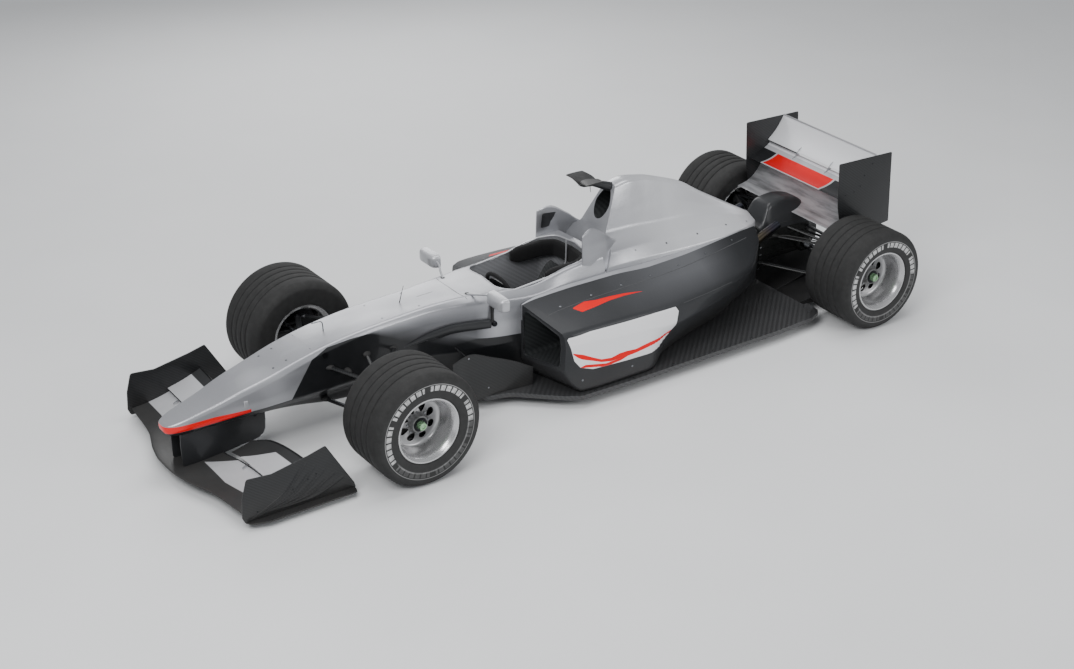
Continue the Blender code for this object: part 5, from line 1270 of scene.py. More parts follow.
def heads(name, laid, radius, height, finish, sides=12):
    """Round heads at (point, facing) pairs."""
    laid = [pair for pair in laid if pair[0] is not None]
    mesh = bpy.data.meshes.new(name)
    mesh.from_pydata([tuple(point) for point, _ in laid], [], [])
    facing = mesh.attributes.new("facing", 'FLOAT_VECTOR', 'POINT')
    for index, (_, normal) in enumerate(laid):
        facing.data[index].vector = normal
    return grown(name, mesh, HEADS, {"Radius": radius, "Height": height, "Sides": sides, "Finish": finish})


def slats(name, count, start, step, size, turn, finish):
    """A row of thin plates."""
    mesh = bpy.data.meshes.new(name)
    return grown(name, mesh, SLATS, {"Count": count, "Start": start, "Step": step, "Size": size,
        "Turn": turn, "Finish": finish})


# Wheels

TYRE_HALF = 0.1925
SHOULDER = 0.048
GROOVES = (-0.084, -0.03, 0.03, 0.084)
GROOVE_HALF = 0.0062
GROOVE_DEPTH = 0.0045
WHEEL_HOLES = 8
HOLE_CIRCLE = 0.0895


def tyre_outline(radius):
    """Closed (axial, radius) outline of a grooved tyre: bead, sidewall, shoulder, tread and back."""
    depth = radius - 0.19
    wall = [(0.1642, 0.1723), (0.17, 0.18), (0.1702, 0.1903), (0.185, 0.1935), (0.1868, 0.199),
        (0.1885, 0.191 + depth * 0.14), (0.1905, 0.19 + depth * 0.26), (0.1919, 0.19 + depth * 0.38),
        (TYRE_HALF, 0.19 + depth * 0.5)]
    arc = []
    for k in range(11):
        turn = math.radians(90) * k / 10
        arc.append((TYRE_HALF - SHOULDER + SHOULDER * math.cos(turn),
            radius - SHOULDER * 0.92 + SHOULDER * 0.92 * math.sin(turn)))
    tread = []
    for middle in reversed(GROOVES):
        tread += [(middle + GROOVE_HALF + 0.002, radius), (middle + GROOVE_HALF, radius - 0.001),
            (middle + GROOVE_HALF * 0.75, radius - GROOVE_DEPTH), (middle - GROOVE_HALF * 0.75,
            radius - GROOVE_DEPTH), (middle - GROOVE_HALF, radius - 0.001), (middle - GROOVE_HALF - 0.002,
            radius)]
    back = [(-axial, out) for axial, out in reversed(wall + arc)]
    return wall + arc + tread + back


RIM_OUTLINE = ((0.1805, 0.18), (0.1805, 0.1885), (0.179, 0.1898), (0.1705, 0.1898), (0.1697, 0.189),
    (0.1647, 0.1725), (0.16, 0.1718), (-0.16, 0.1718), (-0.1647, 0.1725), (-0.1697, 0.189),
    (-0.1705, 0.1898), (-0.179, 0.1898), (-0.1805, 0.1885), (-0.1805, 0.18), (-0.174, 0.169),
    (-0.164, 0.1612), (-0.15, 0.1602), (0.0, 0.1602), (0.018, 0.154), (0.03, 0.143), (0.035, 0.13),
    (0.036, 0.1), (0.043, 0.08), (0.05, 0.062), (0.027, 0.0505), (-0.006, 0.05), (-0.006, 0.024),
    (0.06, 0.024), (0.06, 0.0), (0.08, 0.0), (0.086, 0.03), (0.093, 0.039), (0.0945, 0.044), (0.093, 0.048),
    (0.08, 0.053), (0.066, 0.059), (0.058, 0.068), (0.05, 0.088), (0.046, 0.108), (0.045, 0.125),
    (0.047, 0.136), (0.053, 0.143), (0.064, 0.1478), (0.09, 0.1515), (0.12, 0.1548), (0.148, 0.1588),
    (0.162, 0.164), (0.172, 0.172), (0.177, 0.1772),)


def egg(middle, long_half, wide_half, count):
    """Closed egg outline as (turn offset in metres, radius) pairs, broad end outward."""
    pairs = []
    for a in turns(count):
        broad = 1 + 0.16 * math.sin(a)
        pairs.append((wide_half * broad * math.cos(a), middle + long_half * math.sin(a)))
    return pairs


# Columns: wheel's middle x, axle y, tyre radius, rubber
AXLES = {"front": (FRONT_WHEEL_X, FRONT_AXLE_Y, FRONT_RADIUS, FRONT_RUBBER),
    "rear": (REAR_WHEEL_X, REAR_AXLE_Y, REAR_RADIUS, REAR_RUBBER)}


def make_wheel(axle, side, label, body):
    """Tyre, pierced rim, centre nut and drilled brake disc of one wheel."""
    wheel_x, axle_y, radius, rubber = AXLES[axle]
    centre = (side * wheel_x, axle_y, radius)
    tyre = revolve(f"{axle}_tyre_{label}_rubber", tyre_outline(radius), 144, centre, side, rubber)
    keep(tyre, body, "tyre_rubber", f"{axle}_tyre_{label}")
    rim = revolve(f"{axle}_rim_{label}_casting", RIM_OUTLINE, 128, centre, side, WHEEL_ENAMEL)
    cutters = []
    for turn in turns(WHEEL_HOLES, 0.5):
        rings = [[round_centre(centre, side, axial, out, turn + offset / HOLE_CIRCLE)
            for offset, out in egg(HOLE_CIRCLE, 0.027, 0.0205, 28)] for axial in (0.022, 0.08)]
        cutters.append(skin("hole_cutter", rings, BLACK_ANODISED))
    carve(rim, [join("hole_cutters", cutters)])
    keep(rim, body, "wheel_silver", f"{axle}_rim_{label}")

    # Centre nut with its drive castles, washer and drive pins
    nut_outline = [(0.085, 0.0), (0.085, 0.026), (0.093, 0.027), (0.096, 0.026), (0.101, 0.0235),
        (0.12, 0.0215), (0.1225, 0.0205), (0.123, 0.014), (0.118, 0.0125), (0.116, 0.0)]
    nut = revolve(f"{axle}_nut_{label}", nut_outline, 48, centre, side, ANODISED_NUT)
    castles = []
    for turn in turns(6):
        outward = Vector((0, math.cos(turn), math.sin(turn)))
        castles.append((round_centre(centre, side, 0.114, 0.0226, turn), outward))
    castle_piece = heads(f"{axle}_castles_{label}", castles, 0.0045, 0.004, ANODISED_NUT, 16)
    washer = revolve(f"{axle}_washer_{label}", [(0.0846, 0.022), (0.0846, 0.04), (0.0945, 0.0405),
        (0.0965, 0.039), (0.0965, 0.0255), (0.094, 0.022)], 64, centre, side, BLACK_ANODISED)
    outward = Vector((side, 0, 0))
    pins = [(round_centre(centre, side, 0.062, 0.064, turn), outward) for turn in turns(WHEEL_HOLES)]
    pin_piece = heads(f"{axle}_drive_pins_{label}", pins, 0.0048, 0.008, MACHINED_STEEL)
    keep(join(f"{axle}_nut_{label}_set", [nut, castle_piece, washer, pin_piece]), body, "machined_steel")

    # Drilled carbon disc on its bell, inboard of the web; its drillings are thin dark caps, painted shade
    # where the holes would be
    disc_outline = [(-0.006, 0.052), (-0.006, 0.075), (-0.008, 0.076), (-0.008, 0.121), (-0.0095, 0.1219),
        (-0.0235, 0.1219), (-0.025, 0.121), (-0.025, 0.076), (-0.0259, 0.075), (-0.0259, 0.052)]
    disc = revolve(f"{axle}_disc_{label}", disc_outline, 96, centre, side, BRAKE_CARBON)
    drillings = [(round_centre(centre, side, -0.0079, row_radius, turn), outward)
        for row_radius, shift in ((0.086, 0.0), (0.098, 0.5), (0.11, 0.0)) for turn in turns(24, shift)]
    hole_shade_caps = heads(f"{axle}_disc_hole_shades_{label}", drillings, 0.0024, 0.0006, BLACK_POLYMER, 8)
    keep(join(f"{axle}_disc_{label}_set", [disc, hole_shade_caps]), body, "machined_steel")


for axle in AXLES:
    for side, label in SIDES:
        make_wheel(axle, side, label, f"wheel_{axle[0]}{label[0]}")


# Wings


def aerofoil(leading, trailing, thickness, camber):
    """Closed aerofoil in (y, z); camber bows it downward."""
    count = 14
    start = Vector(leading)
    along = Vector(trailing) - start
    across = Vector((-along.y, along.x)).normalized()
    upper = []
    lower = []
    for k in range(count + 1):
        share = (k / count) ** 1.7
        thick = 2.6 * math.sqrt(share) * (1 - share) ** 0.85 * 0.58 + 0.1 * min(1, share * 8)
        bow = 4 * share * (1 - share) * (1 + 0.15 * (0.5 - share))
        middle = start + along * share - across * camber * bow
        upper.append(middle + across * thickness / 2 * thick)
        lower.append(middle - across * thickness / 2 * thick)
    return [*upper, *reversed(lower[1:])]


def wing(name, stations, finish):
    """Skins aerofoils; each station is (x, leading, trailing, thickness, camber)."""
    rings = []
    for x, leading, trailing, thickness, camber in stations:
        rings.append([Vector((x, y, z)) for y, z in aerofoil(leading, trailing, thickness, camber)])
    return skin(name, rings, finish)


# Columns: x, leading y and z, trailing y and z
FRONT_MAIN_ROWS = ((0.0, -2.4185, 0.078, -2.103, 0.091), (0.07, -2.4175, 0.078, -2.1008, 0.091),
    (0.21, -2.3915, 0.0752, -2.078, 0.1003), (0.406, -2.3288, 0.0739, -2.0609, 0.1069),
    (0.6999, -2.2946, 0.0739, -2.0552, 0.1142))
main_stations = []
for x in spread(-0.6999, 0.6999, 61):
    _, lead_y, lead_z, trail_y, trail_z = smooth_row(FRONT_MAIN_ROWS, abs(x))
    main_stations.append((x, (lead_y, lead_z), (trail_y, trail_z), 0.018, 0.0125))
front_main = wing("front_wing_plane", main_stations, FRONT_WING_LACQUER)

PYLON = ((-2.34, 0.074), (-2.345, 0.2), (-2.34, 0.345), (-1.835, 0.345), (-1.837, 0.17), (-1.852, 0.132),
    (-1.89, 0.108), (-2.01, 0.0965), (-2.169, 0.0766))
pylons = []
pylon_trim = []
for side, label in SIDES:
    outline = rounded_loop([(side * 0.06 - 0.004, y, z) for y, z in PYLON],
        [0.02, 0.02, 0.02, 0.005, 0.03, 0.03, 0.03, 0.03, 0.03], 4)
    pylons.append(plate(f"pylon_{label}", outline, (0.008, 0, 0), CHARCOAL_TRIM, 0.0025))
    # Pale capping along the pylon's lower rear edge, and two bolts by the nose
    capping = smooth_path([(side * 0.06, y, z) for y, z in ((-1.8375, 0.215), (-1.842, 0.155),
        (-1.868, 0.119), (-1.93, 0.1035), (-2.0, 0.0975))], 24)
    pylon_trim.append(tube(f"pylon_capping_{label}", capping, 0.0046, 10, SILVER_TRIM))
    pylon_trim.append(heads(f"pylon_bolts_{label}", side_spots(side * 0.06 + 0.0042, 1,
        ((-1.96, 0.285), (-1.9, 0.262))), 0.012, 0.006, BLACK_ANODISED, 24))
nose_space = [body_section(y, -0.0003, None, 0.0006) for y in nose_stations[6:]]
nose_space += [body_section(y, -0.0008, None, 0.0006) for y in (-1.6, -1.55, -1.45)]
pylon_pair = join("pylons", pylons)
carve(pylon_pair, [skin("nose_space", nose_space, CHARCOAL_TRIM)])
front_parts = [front_main, pylon_pair, *pylon_trim]
# Turned-up trailing edge strip of the main plane
trailing_edge = [(x, *smooth_row(FRONT_MAIN_ROWS, abs(x))[3:]) for x in spread(-0.699, 0.699, 41)]
front_parts.append(edge_strip("front_main_strip", trailing_edge, ((-0.004, -0.002), (0, -0.002),
    (0.001, 0.005), (-0.001, 0.005)), CHARCOAL_TRIM))
keep(join("front_wing_assembly", front_parts), "chassis", "silver_lacquer", "front_wing")

# Columns: x, leading y and z, trailing y and z
FRONT_FLAP_ROWS = ((0.112, -2.078, 0.1069, -1.964, 0.1353), (0.224, -2.0723, 0.1228, -1.8899, 0.1663),
    (0.4, -2.07, 0.129, -1.87, 0.19), (0.6997, -2.0666, 0.1366, -1.8557, 0.2059))
for side, label in SIDES:
    stations = []
    for x in spread(0.112, 0.6997, 30):
        _, lead_y, lead_z, trail_y, trail_z = smooth_row(FRONT_FLAP_ROWS, x)
        ease = min(1.0, 0.35 + (x - 0.112) / 0.05)
        stations.append((side * x, (lead_y, lead_z), (trail_y, trail_z), 0.01 * ease, 0.009 * ease))
    flap = wing(f"front_flap_{label}_plane", stations, FRONT_WING_LACQUER)
    trailing_edge = [(side * x, *smooth_row(FRONT_FLAP_ROWS, x)[3:]) for x in spread(0.116, 0.699, 24)]
    strip = edge_strip(f"flap_strip_{label}", trailing_edge, ((-0.005, -0.001), (0, -0.001), (0.001, 0.007),
        (-0.001, 0.007)), PANEL_CARBON)
    brackets = []
    for x in (0.3, 0.55):
        _, lead_y, lead_z, _, _ = smooth_row(FRONT_FLAP_ROWS, x)
        corners = [(side * x, lead_y + dy, lead_z + dz) for dy, dz in ((-0.04, -0.024), (0.03, -0.004),
            (0.03, 0.006), (-0.03, -0.012))]
        brackets.append(plate(f"slot_bracket_{label}_{x}", rounded_loop(corners, 0.004, 3),
            (side * 0.0025, 0, 0), BRIGHT_ALUMINIUM))
    keep(join(f"front_flap_{label}_set", [flap, strip, *brackets]), "chassis", "silver_lacquer",
        f"front_flap_{label}")

    # Endplate with its outward foot and the pressed strakes on its face
    outline = [(-2.281, 0.293), (-2.3117, 0.182), (-2.3174, 0.073), (-2.3, ENDPLATE_FOOT_Z),
        (-1.645, ENDPLATE_FOOT_Z), (-1.656, 0.069), (-1.816, 0.342), (-1.918, 0.317), (-2.135, 0.279)]
    ring = rounded_loop([(side * ENDPLATE_X, y, z) for y, z in outline],
        [0.02, 0.02, 0.02, 0.02, 0.01, 0.02, 0.012, 0.012, 0.012], 4)
    endplate = plate(f"front_endplate_{label}_plate", ring, (side * 0.008, 0, 0), PANEL_CARBON, 0.0028)
    foot_outline = [(ENDPLATE_X, -2.3), (0.7345, -2.283), (0.763, -2.192), (0.763, -1.668),
        (ENDPLATE_X, -1.6505)]
    foot_ring = rounded_loop([(side * x, y, ENDPLATE_FOOT_Z) for x, y in foot_outline],
        [0.004, 0.03, 0.05, 0.02, 0.004], 4)
    foot = plate(f"front_foot_{label}", foot_ring, (0, 0, 0.008), PANEL_CARBON, 0.0028)
    # Pressed flutes fanning from the lower front corner to the upper rear edge
    strakes = []
    for k in range(5):
        first = Vector((side * 0.7078, -2.27 + 0.022 * k, 0.052 + 0.003 * k))
        last = Vector((side * 0.7078, -1.93 + 0.055 * k, 0.3 - 0.042 * k))
        middle = (first + last) / 2 + Vector((0, 0.03, -0.03))
        path = smooth_path([first, middle, last], 24)
        rings = []
        for i, point in enumerate(path):
            swell = math.sin(math.pi * (0.06 + 0.88 * i / 23))
            wide = 0.0035 + 0.0105 * i / 23
            rings.append([point + Vector((side * high * swell, 0.5 * across * wide, -0.86 * across * wide))
                for across, high in ((-1, 0), (-0.6, 0.003), (0.1, 0.0078), (0.7, 0.007), (1, 0))])
        strakes.append(skin(f"flute_{label}_{k}", rings, PANEL_CARBON, sharp_degrees=60))
    plate_bolts = heads(f"front_plate_bolts_{label}", side_spots(side * 0.7084, side,
        ((-2.23, 0.086), (-2.12, 0.09), (-2.02, 0.15), (-1.93, 0.178), (-1.88, 0.196))), 0.0045, 0.0024,
        BLACK_ANODISED)
    keep(join(f"front_endplate_{label}_set", [endplate, foot, *strakes, plate_bolts]), "chassis",
        "charcoal_lacquer", f"front_endplate_{label}")

# Rear wing. Columns: name, leading y and z, trailing y and z, thickness, camber
REAR_ELEMENTS = (("rear_wing_main", 1.9875, 0.721, 2.168, 0.7817, 0.029, 0.024), ("rear_wing_flap", 2.1515,
    0.8047, 2.277, 0.953, 0.018, 0.0165))
for name, lead_y, lead_z, trail_y, trail_z, thick, camber in REAR_ELEMENTS:
    plane = wing(f"{name}_plane", [(x, (lead_y, lead_z), (trail_y, trail_z), thick, camber)
        for x in spread(-REAR_SPAN, REAR_SPAN, 9)], REAR_WING_LACQUER)
    ends = [(x, trail_y, trail_z) for x in (-REAR_SPAN + 0.001, REAR_SPAN - 0.001)]
    strip = edge_strip(f"{name}_strip", ends, ((-0.006, -0.004), (0, -0.002), (-0.002, 0.006),
        (-0.004, 0.006)), SILVER_TRIM)
    parts = [plane, strip]
    if name == "rear_wing_flap":
        for x in (-0.15, 0.15):
            parts.append(plate(f"rear_slot_bracket_{x}", rounded_loop([(x, 2.1, 0.766), (x, 2.17, 0.79),
                (x, 2.19, 0.838), (x, 2.165, 0.826), (x, 2.135, 0.79)], 0.004, 3), (0.0025, 0, 0),
                BRIGHT_ALUMINIUM))
    keep(join(f"{name}_set", parts), "chassis", "silver_lacquer", name)

# Fairing that joins the two beam wing halves over the crash structure
keep(wing("beam_wing_fairing", [(x, (1.908, 0.5384), (2.1088, 0.6737), 0.0225, 0.042)
    for x in (-0.0236, 0.0, 0.0236)], REAR_WING_LACQUER), "chassis", "silver_lacquer")
for side, label in SIDES:
    beam = wing(f"rear_beam_wing_{label}_plane", [(side * x, (1.9076, 0.5382), (2.1092, 0.674), 0.021,
        0.042) for x in spread(0.024, REAR_SPAN, 10)], REAR_WING_LACQUER)
    keep(beam, "chassis", "silver_lacquer", f"rear_beam_wing_{label}")
    outline = [(1.9622, 0.9614), (1.9748, 0.6688), (2.0168, 0.4723), (2.252, 0.4598), (2.4199, 0.4755),
        (2.403, 0.9468)]
    ring = rounded_loop([(side * 0.4363, y, z) for y, z in outline], 0.01, 4)
    endplate = plate(f"rear_endplate_{label}_plate", ring, (side * 0.006, 0, 0), PANEL_CARBON, 0.0022)
    bolts = heads(f"rear_plate_bolts_{label}", side_spots(side * 0.4425, side, ((2.03, 0.742), (2.1, 0.748),
        (2.15, 0.775), (2.18, 0.84), (2.24, 0.905), (1.95, 0.56), (2.02, 0.61), (2.07, 0.65))), 0.0045,
        0.0024, BLACK_ANODISED)
    keep(join(f"rear_endplate_{label}_set", [endplate, bolts]), "chassis", "charcoal_lacquer",
        f"rear_endplate_{label}")


# Suspension, uprights and brakes

ARM_CHORD = 0.034
ARM_FLAT = 0.014 / 0.034
SOCKET_START = 0.012
SOCKET_LENGTH = 0.05
LEG_START = 0.014
HOUSING_RADIUS = 0.018
HOUSING_HEIGHT = 0.022


def streamlined_leg(name, outer, inner, flat):
    """Carbon leg of teardrop section between two joints, slimmer at its outer end."""
    stations = [(0.0, ARM_CHORD * 0.36), (0.035, ARM_CHORD * 0.44), (0.09, ARM_CHORD * 0.5),
        (0.5, ARM_CHORD * 0.5), (1.0, ARM_CHORD * 0.5)]
    return bar(name, outer, inner, stations, 20, BARE_CARBON, flat, 0.35)


def ball_housing(name, x, y, z):
    """Turned housing of a spherical bearing with its bright ball."""
    half = HOUSING_HEIGHT / 2
    outline = [(-half, 0.0), (-half, 0.012), (-half + 0.001, 0.0165), (-half + 0.003, HOUSING_RADIUS),
        (half - 0.003, HOUSING_RADIUS), (half - 0.001, 0.0165), (half, 0.012), (half, 0.0)]
    case = revolve(name, outline, 36, (x, y, z), 1, BLACK_ANODISED, along='Z')
    cap = revolve(f"{name}_ball", [(half - 0.0005, 0.0), (half - 0.0005, 0.0085), (half, 0.009),
        (half + 0.0002, 0.006), (half + 0.0002, 0.0)], 24, (x, y, z), 1, MACHINED_STEEL, along='Z')
    return [case, cap]


def end_fitting(name, outer, inner, finish):
    """Bonded metal socket at the outer end of a leg, with its lock nut."""
    outer = Vector(outer)
    span = Vector(inner) - outer
    along = span / span.length
    stations = [(0.0, ARM_CHORD * 0.3), (0.15, ARM_CHORD * 0.38), (0.5, ARM_CHORD * 0.4),
        (0.52, ARM_CHORD * 0.48), (0.95, ARM_CHORD * 0.54), (1.0, ARM_CHORD * 0.5)]
    start = outer + along * SOCKET_START
    end = outer + along * (SOCKET_START + SOCKET_LENGTH)
    return bar(name, start, end, stations, 20, finish, ARM_FLAT * 1.35, 0.2)


def root_fairing(name, outer, inner, skin_x, finish=GAITER_RUBBER):
    """Rubber collar where a leg goes through the bodywork."""
    outer = Vector(outer)
    inner = Vector(inner)
    share = (skin_x - abs(outer.x)) / (abs(inner.x) - abs(outer.x))
    middle = outer.lerp(inner, share)
    along = (outer - inner).normalized()
    return bar(name, middle - along * 0.012, middle + along * 0.016, [(0.0, 0.026), (0.55, 0.024),
        (0.8, 0.0215), (1.0, 0.018)], 20, finish, 0.55, 0.2)


def wishbone(end, level, label, outer, inner_x, legs, flat, socket_finish, root_finish):
    """Outer housing and legs of a wishbone, each with its socket and, ahead of the rear axle, its root."""
    parts = ball_housing(f"{end}_{level}_housing_{label}", *outer)
    for inner_y, inner_z, skin_x in legs:
        inner = (inner_x, inner_y, inner_z)
        near = Vector(outer) + (Vector(inner) - Vector(outer)).normalized() * LEG_START
        parts.append(streamlined_leg("leg", near, inner, flat))
        parts.append(end_fitting("socket", outer, inner, socket_finish))
        if inner_y < REAR_AXLE_Y:
            parts.append(root_fairing("root", outer, inner, skin_x, root_finish))
    return parts


def duct_drum(name, centre, side, back, bore, depth):
    """Brake duct's drum: an open shell inboard of the disc."""
    outline = [(back, bore), (back, 0.135), (back + 0.0015, 0.144), (back + 0.006, 0.148),
        (back + depth, 0.149), (back + depth, 0.1465), (back + 0.008, 0.1455), (back + 0.004, 0.142),
        (back + 0.0025, 0.134), (back + 0.0025, bore)]
    return revolve(name, outline, 72, centre, side, BARE_CARBON)


front_upper_z = FRONT_RADIUS + UPRIGHT_HALF + HOUSING_HEIGHT / 2 + 0.0003
front_lower_z = FRONT_RADIUS - UPRIGHT_HALF - HOUSING_HEIGHT / 2 - 0.0003
# Columns: level, housing z, then each leg's inner y and z and the skin's half width there
FRONT_ARMS = (("upper", front_upper_z, ((-1.505, 0.4687, 0.158), (-1.037, 0.4736, 0.158))),
    ("lower", front_lower_z, ((-1.478, 0.2403, 0.093), (-1.019, 0.2305, 0.089))))
for side, label in SIDES:
    for level, z, legs in FRONT_ARMS:
        outer = (side * KINGPIN_X, FRONT_AXLE_Y, z)
        parts = wishbone("front", level, label, outer, side * 0.084, legs, ARM_FLAT, MACHINED_STEEL,
            GAITER_RUBBER)
        if level == "lower":
            foot = (side * (KINGPIN_X - 0.0408), FRONT_AXLE_Y, z)
            top = (side * 0.089, -1.235, 0.526)
            parts.append(bar(f"pushrod_{label}", foot, top, [(0.0, 0.0085), (0.06, 0.0095), (0.1, 0.012),
                (1.0, 0.012)], 20, BARE_CARBON, 0.6, 0.3))
            parts.append(bar(f"pushrod_end_{label}", foot, Vector(foot).lerp(Vector(top), 0.11),
                [(0.0, 0.009), (0.5, 0.0085), (0.55, 0.011), (1.0, 0.0125)], 16, MACHINED_STEEL, 0.8))
            parts.append(root_fairing(f"pushrod_collar_{label}", foot, top, 0.156))
            # Brake line clipped under the front leg
            line_end = (side * 0.15, -1.47, 0.262)
            path = smooth_path([(side * 0.56, -1.3, 0.24), (side * 0.48, -1.33, 0.235),
                (side * 0.33, -1.394, 0.243), line_end], 24)
            parts.append(tube(f"brake_line_{label}", path, 0.0028, 8, MACHINED_STEEL))
        keep(join(f"front_{level}_wishbone_{label}_arm", parts), "chassis", "bare_carbon",
            f"front_{level}_wishbone_{label}")


# Columns: axial place from the wheel's centre, radius; a C round the disc's edge
CALIPER_SECTION = ((-0.052, 0.084), (-0.03, 0.084), (-0.03, 0.1245), (-0.002, 0.1245), (-0.002, 0.086),
    (0.016, 0.086), (0.016, 0.128), (0.01, 0.14), (-0.006, 0.146), (-0.036, 0.146), (-0.052, 0.136))


def brake_caliper(name, centre, side, turn_from, turn_to):
    """Monobloc caliper that straddles the disc: inner and outer halves, bridge and pistons."""
    rings = [[round_centre(centre, side, axial, radius, turn) for axial, radius in CALIPER_SECTION]
        for turn in spread(turn_from, turn_to, 15)]
    body = skin(name, rings, MACHINED_STEEL if "front" in name else BLACK_ANODISED, sharp_degrees=25)
    spots = [(round_centre(centre, side, -0.0525, 0.108, turn), Vector((side, 0, 0)))
        for turn in spread(turn_from + 0.22, turn_to - 0.22, 3)]
    pistons = heads(f"{name}_pistons", spots, 0.015, 0.006, BLACK_ANODISED, 24)
    return [body, pistons]


for side, label in SIDES:
    centre = (side * FRONT_WHEEL_X, FRONT_AXLE_Y, FRONT_RADIUS)
    x = side * KINGPIN_X
    post = revolve(f"front_post_{label}", [(-UPRIGHT_HALF, 0.0), (-UPRIGHT_HALF, 0.019), (-0.096, 0.02),
        (-0.06, 0.0195), (0.06, 0.0195), (0.096, 0.02), (UPRIGHT_HALF, 0.019), (UPRIGHT_HALF, 0.0)], 32,
        (x, FRONT_AXLE_Y, FRONT_RADIUS), 1, CAST_MAGNESIUM, along='Z')
    hub = revolve(f"front_carrier_{label}", [(0.0, 0.0), (0.0, 0.04), (0.004, 0.046), (0.022, 0.05),
        (0.06, 0.052), (0.092, 0.052), (0.098, 0.049), (0.098, 0.0)], 48, (side * 0.555, FRONT_AXLE_Y,
        FRONT_RADIUS), side, CAST_MAGNESIUM)
    stub = revolve(f"front_stub_{label}", [(0.0, 0.0), (0.0, 0.0229), (0.167, 0.0229), (0.1675, 0.0215),
        (0.1675, 0.0)], 32, (side * 0.575, FRONT_AXLE_Y, FRONT_RADIUS), side, MACHINED_STEEL)
    corners = [(x + dx, y, 0.3867) for dx, y in ((-0.0155, RACK_Y - 0.0155), (0.0155, RACK_Y - 0.0155),
        (0.0155, FRONT_AXLE_Y), (-0.0155, FRONT_AXLE_Y))]
    arm_outline = rounded_loop(corners, 0.014, 5)
    tongue = plate(f"steering_arm_{label}", arm_outline, (0, 0, 0.0157), CAST_MAGNESIUM, 0.002)
    webs = []
    for lift in (-0.075, 0.075):
        corners = [(x + side * out, FRONT_AXLE_Y - 0.005, FRONT_RADIUS + lift * share)
            for out, share in ((0, 1), (0.06, 0.55), (0.07, 0.3), (0, 0.2))]
        webs.append(plate(f"upright_web_{label}_{lift}", rounded_loop(corners, 0.006, 3), (0, 0.01, 0),
            CAST_MAGNESIUM, 0.0015))
    # Brake duct: a drum inboard of the disc, fed by a forward scoop
    drum = duct_drum(f"front_duct_drum_{label}", centre, side, -0.07, 0.05, 0.03)
    scoop_rings = []
    for y, wide, low, top in ((-1.462, 0.03, 0.283, 0.378), (-1.44, 0.031, 0.283, 0.378),
            (-1.38, 0.034, 0.286, 0.374), (-1.33, 0.04, 0.292, 0.366)):
        middle_x = x - side * 0.002
        corners = [(middle_x - wide, y, low), (middle_x + wide, y, low), (middle_x + wide, y, top),
            (middle_x - wide, y, top)]
        scoop_rings.append(rounded_loop(corners, 0.016, 4))
    # The inner wall, a tenth nearer the scoop's middle
    for ring in reversed(scoop_rings[:]):
        scoop_rings.append([point + (Vector((middle_x, point.y, 0.33)) - point) * 0.1 + Vector((0, 0.001, 0))
            for point in ring])
    scoop = skin(f"front_duct_scoop_{label}", scoop_rings, BARE_CARBON, closed=True)
    caliper = brake_caliper(f"front_caliper_{label}", centre, side, math.radians(-32), math.radians(38))
    keep(join(f"front_upright_{label}_set", [post, hub, stub, tongue, *webs, drum, scoop, *caliper]),
        "knuckle_fl" if side > 0 else "knuckle_fr", "magnesium_casting", f"front_upright_{label}")

# Steering rack bar, its track rods and eyes, and the boots at the tub
rack_parts = [bar("rack_bar", (-KINGPIN_X + 0.012, RACK_Y, RACK_Z), (KINGPIN_X - 0.012, RACK_Y, RACK_Z),
    [(0.0, 0.0075), (0.03, 0.0075), (0.032, 0.009), (0.968, 0.009), (0.97, 0.0075), (1.0, 0.0075)], 24,
    MACHINED_STEEL)]
for side, label in SIDES:
    rack_parts.append(revolve(f"rod_eye_{label}", [(-0.009, 0.0), (-0.009, 0.01), (-0.0085, 0.0145),
        (-0.006, 0.016), (0.006, 0.016), (0.0085, 0.0145), (0.009, 0.01), (0.009, 0.0)], 28,
        (side * KINGPIN_X, RACK_Y, RACK_Z), 1, BLACK_ANODISED, along='Z'))
    rack_parts.append(revolve(f"rod_nut_{label}", [(0.0, 0.0), (0.0, 0.0105), (0.012, 0.0105),
        (0.012, 0.0)], 6, (side * 0.535, RACK_Y, RACK_Z), -side, MACHINED_STEEL))
    boot_outline = [(0.0, 0.0125), (0.0, 0.025)]
    for k in range(7):
        boot_outline += [(0.004 + 0.0065 * k, 0.0235 - 0.0012 * k),
            (0.0072 + 0.0065 * k, 0.0185 - 0.001 * k)]
    boot_outline += [(0.054, 0.014), (0.054, 0.0125)]
    boot = revolve(f"track_rod_boot_{label}", boot_outline, 40, (side * 0.152, RACK_Y, RACK_Z), side,
        GAITER_RUBBER, sharp_degrees=60)
    keep(boot, "chassis", "black_padding")
keep(join("steering_rack_bar", rack_parts), "rack", "machined_steel", "steering_rack")

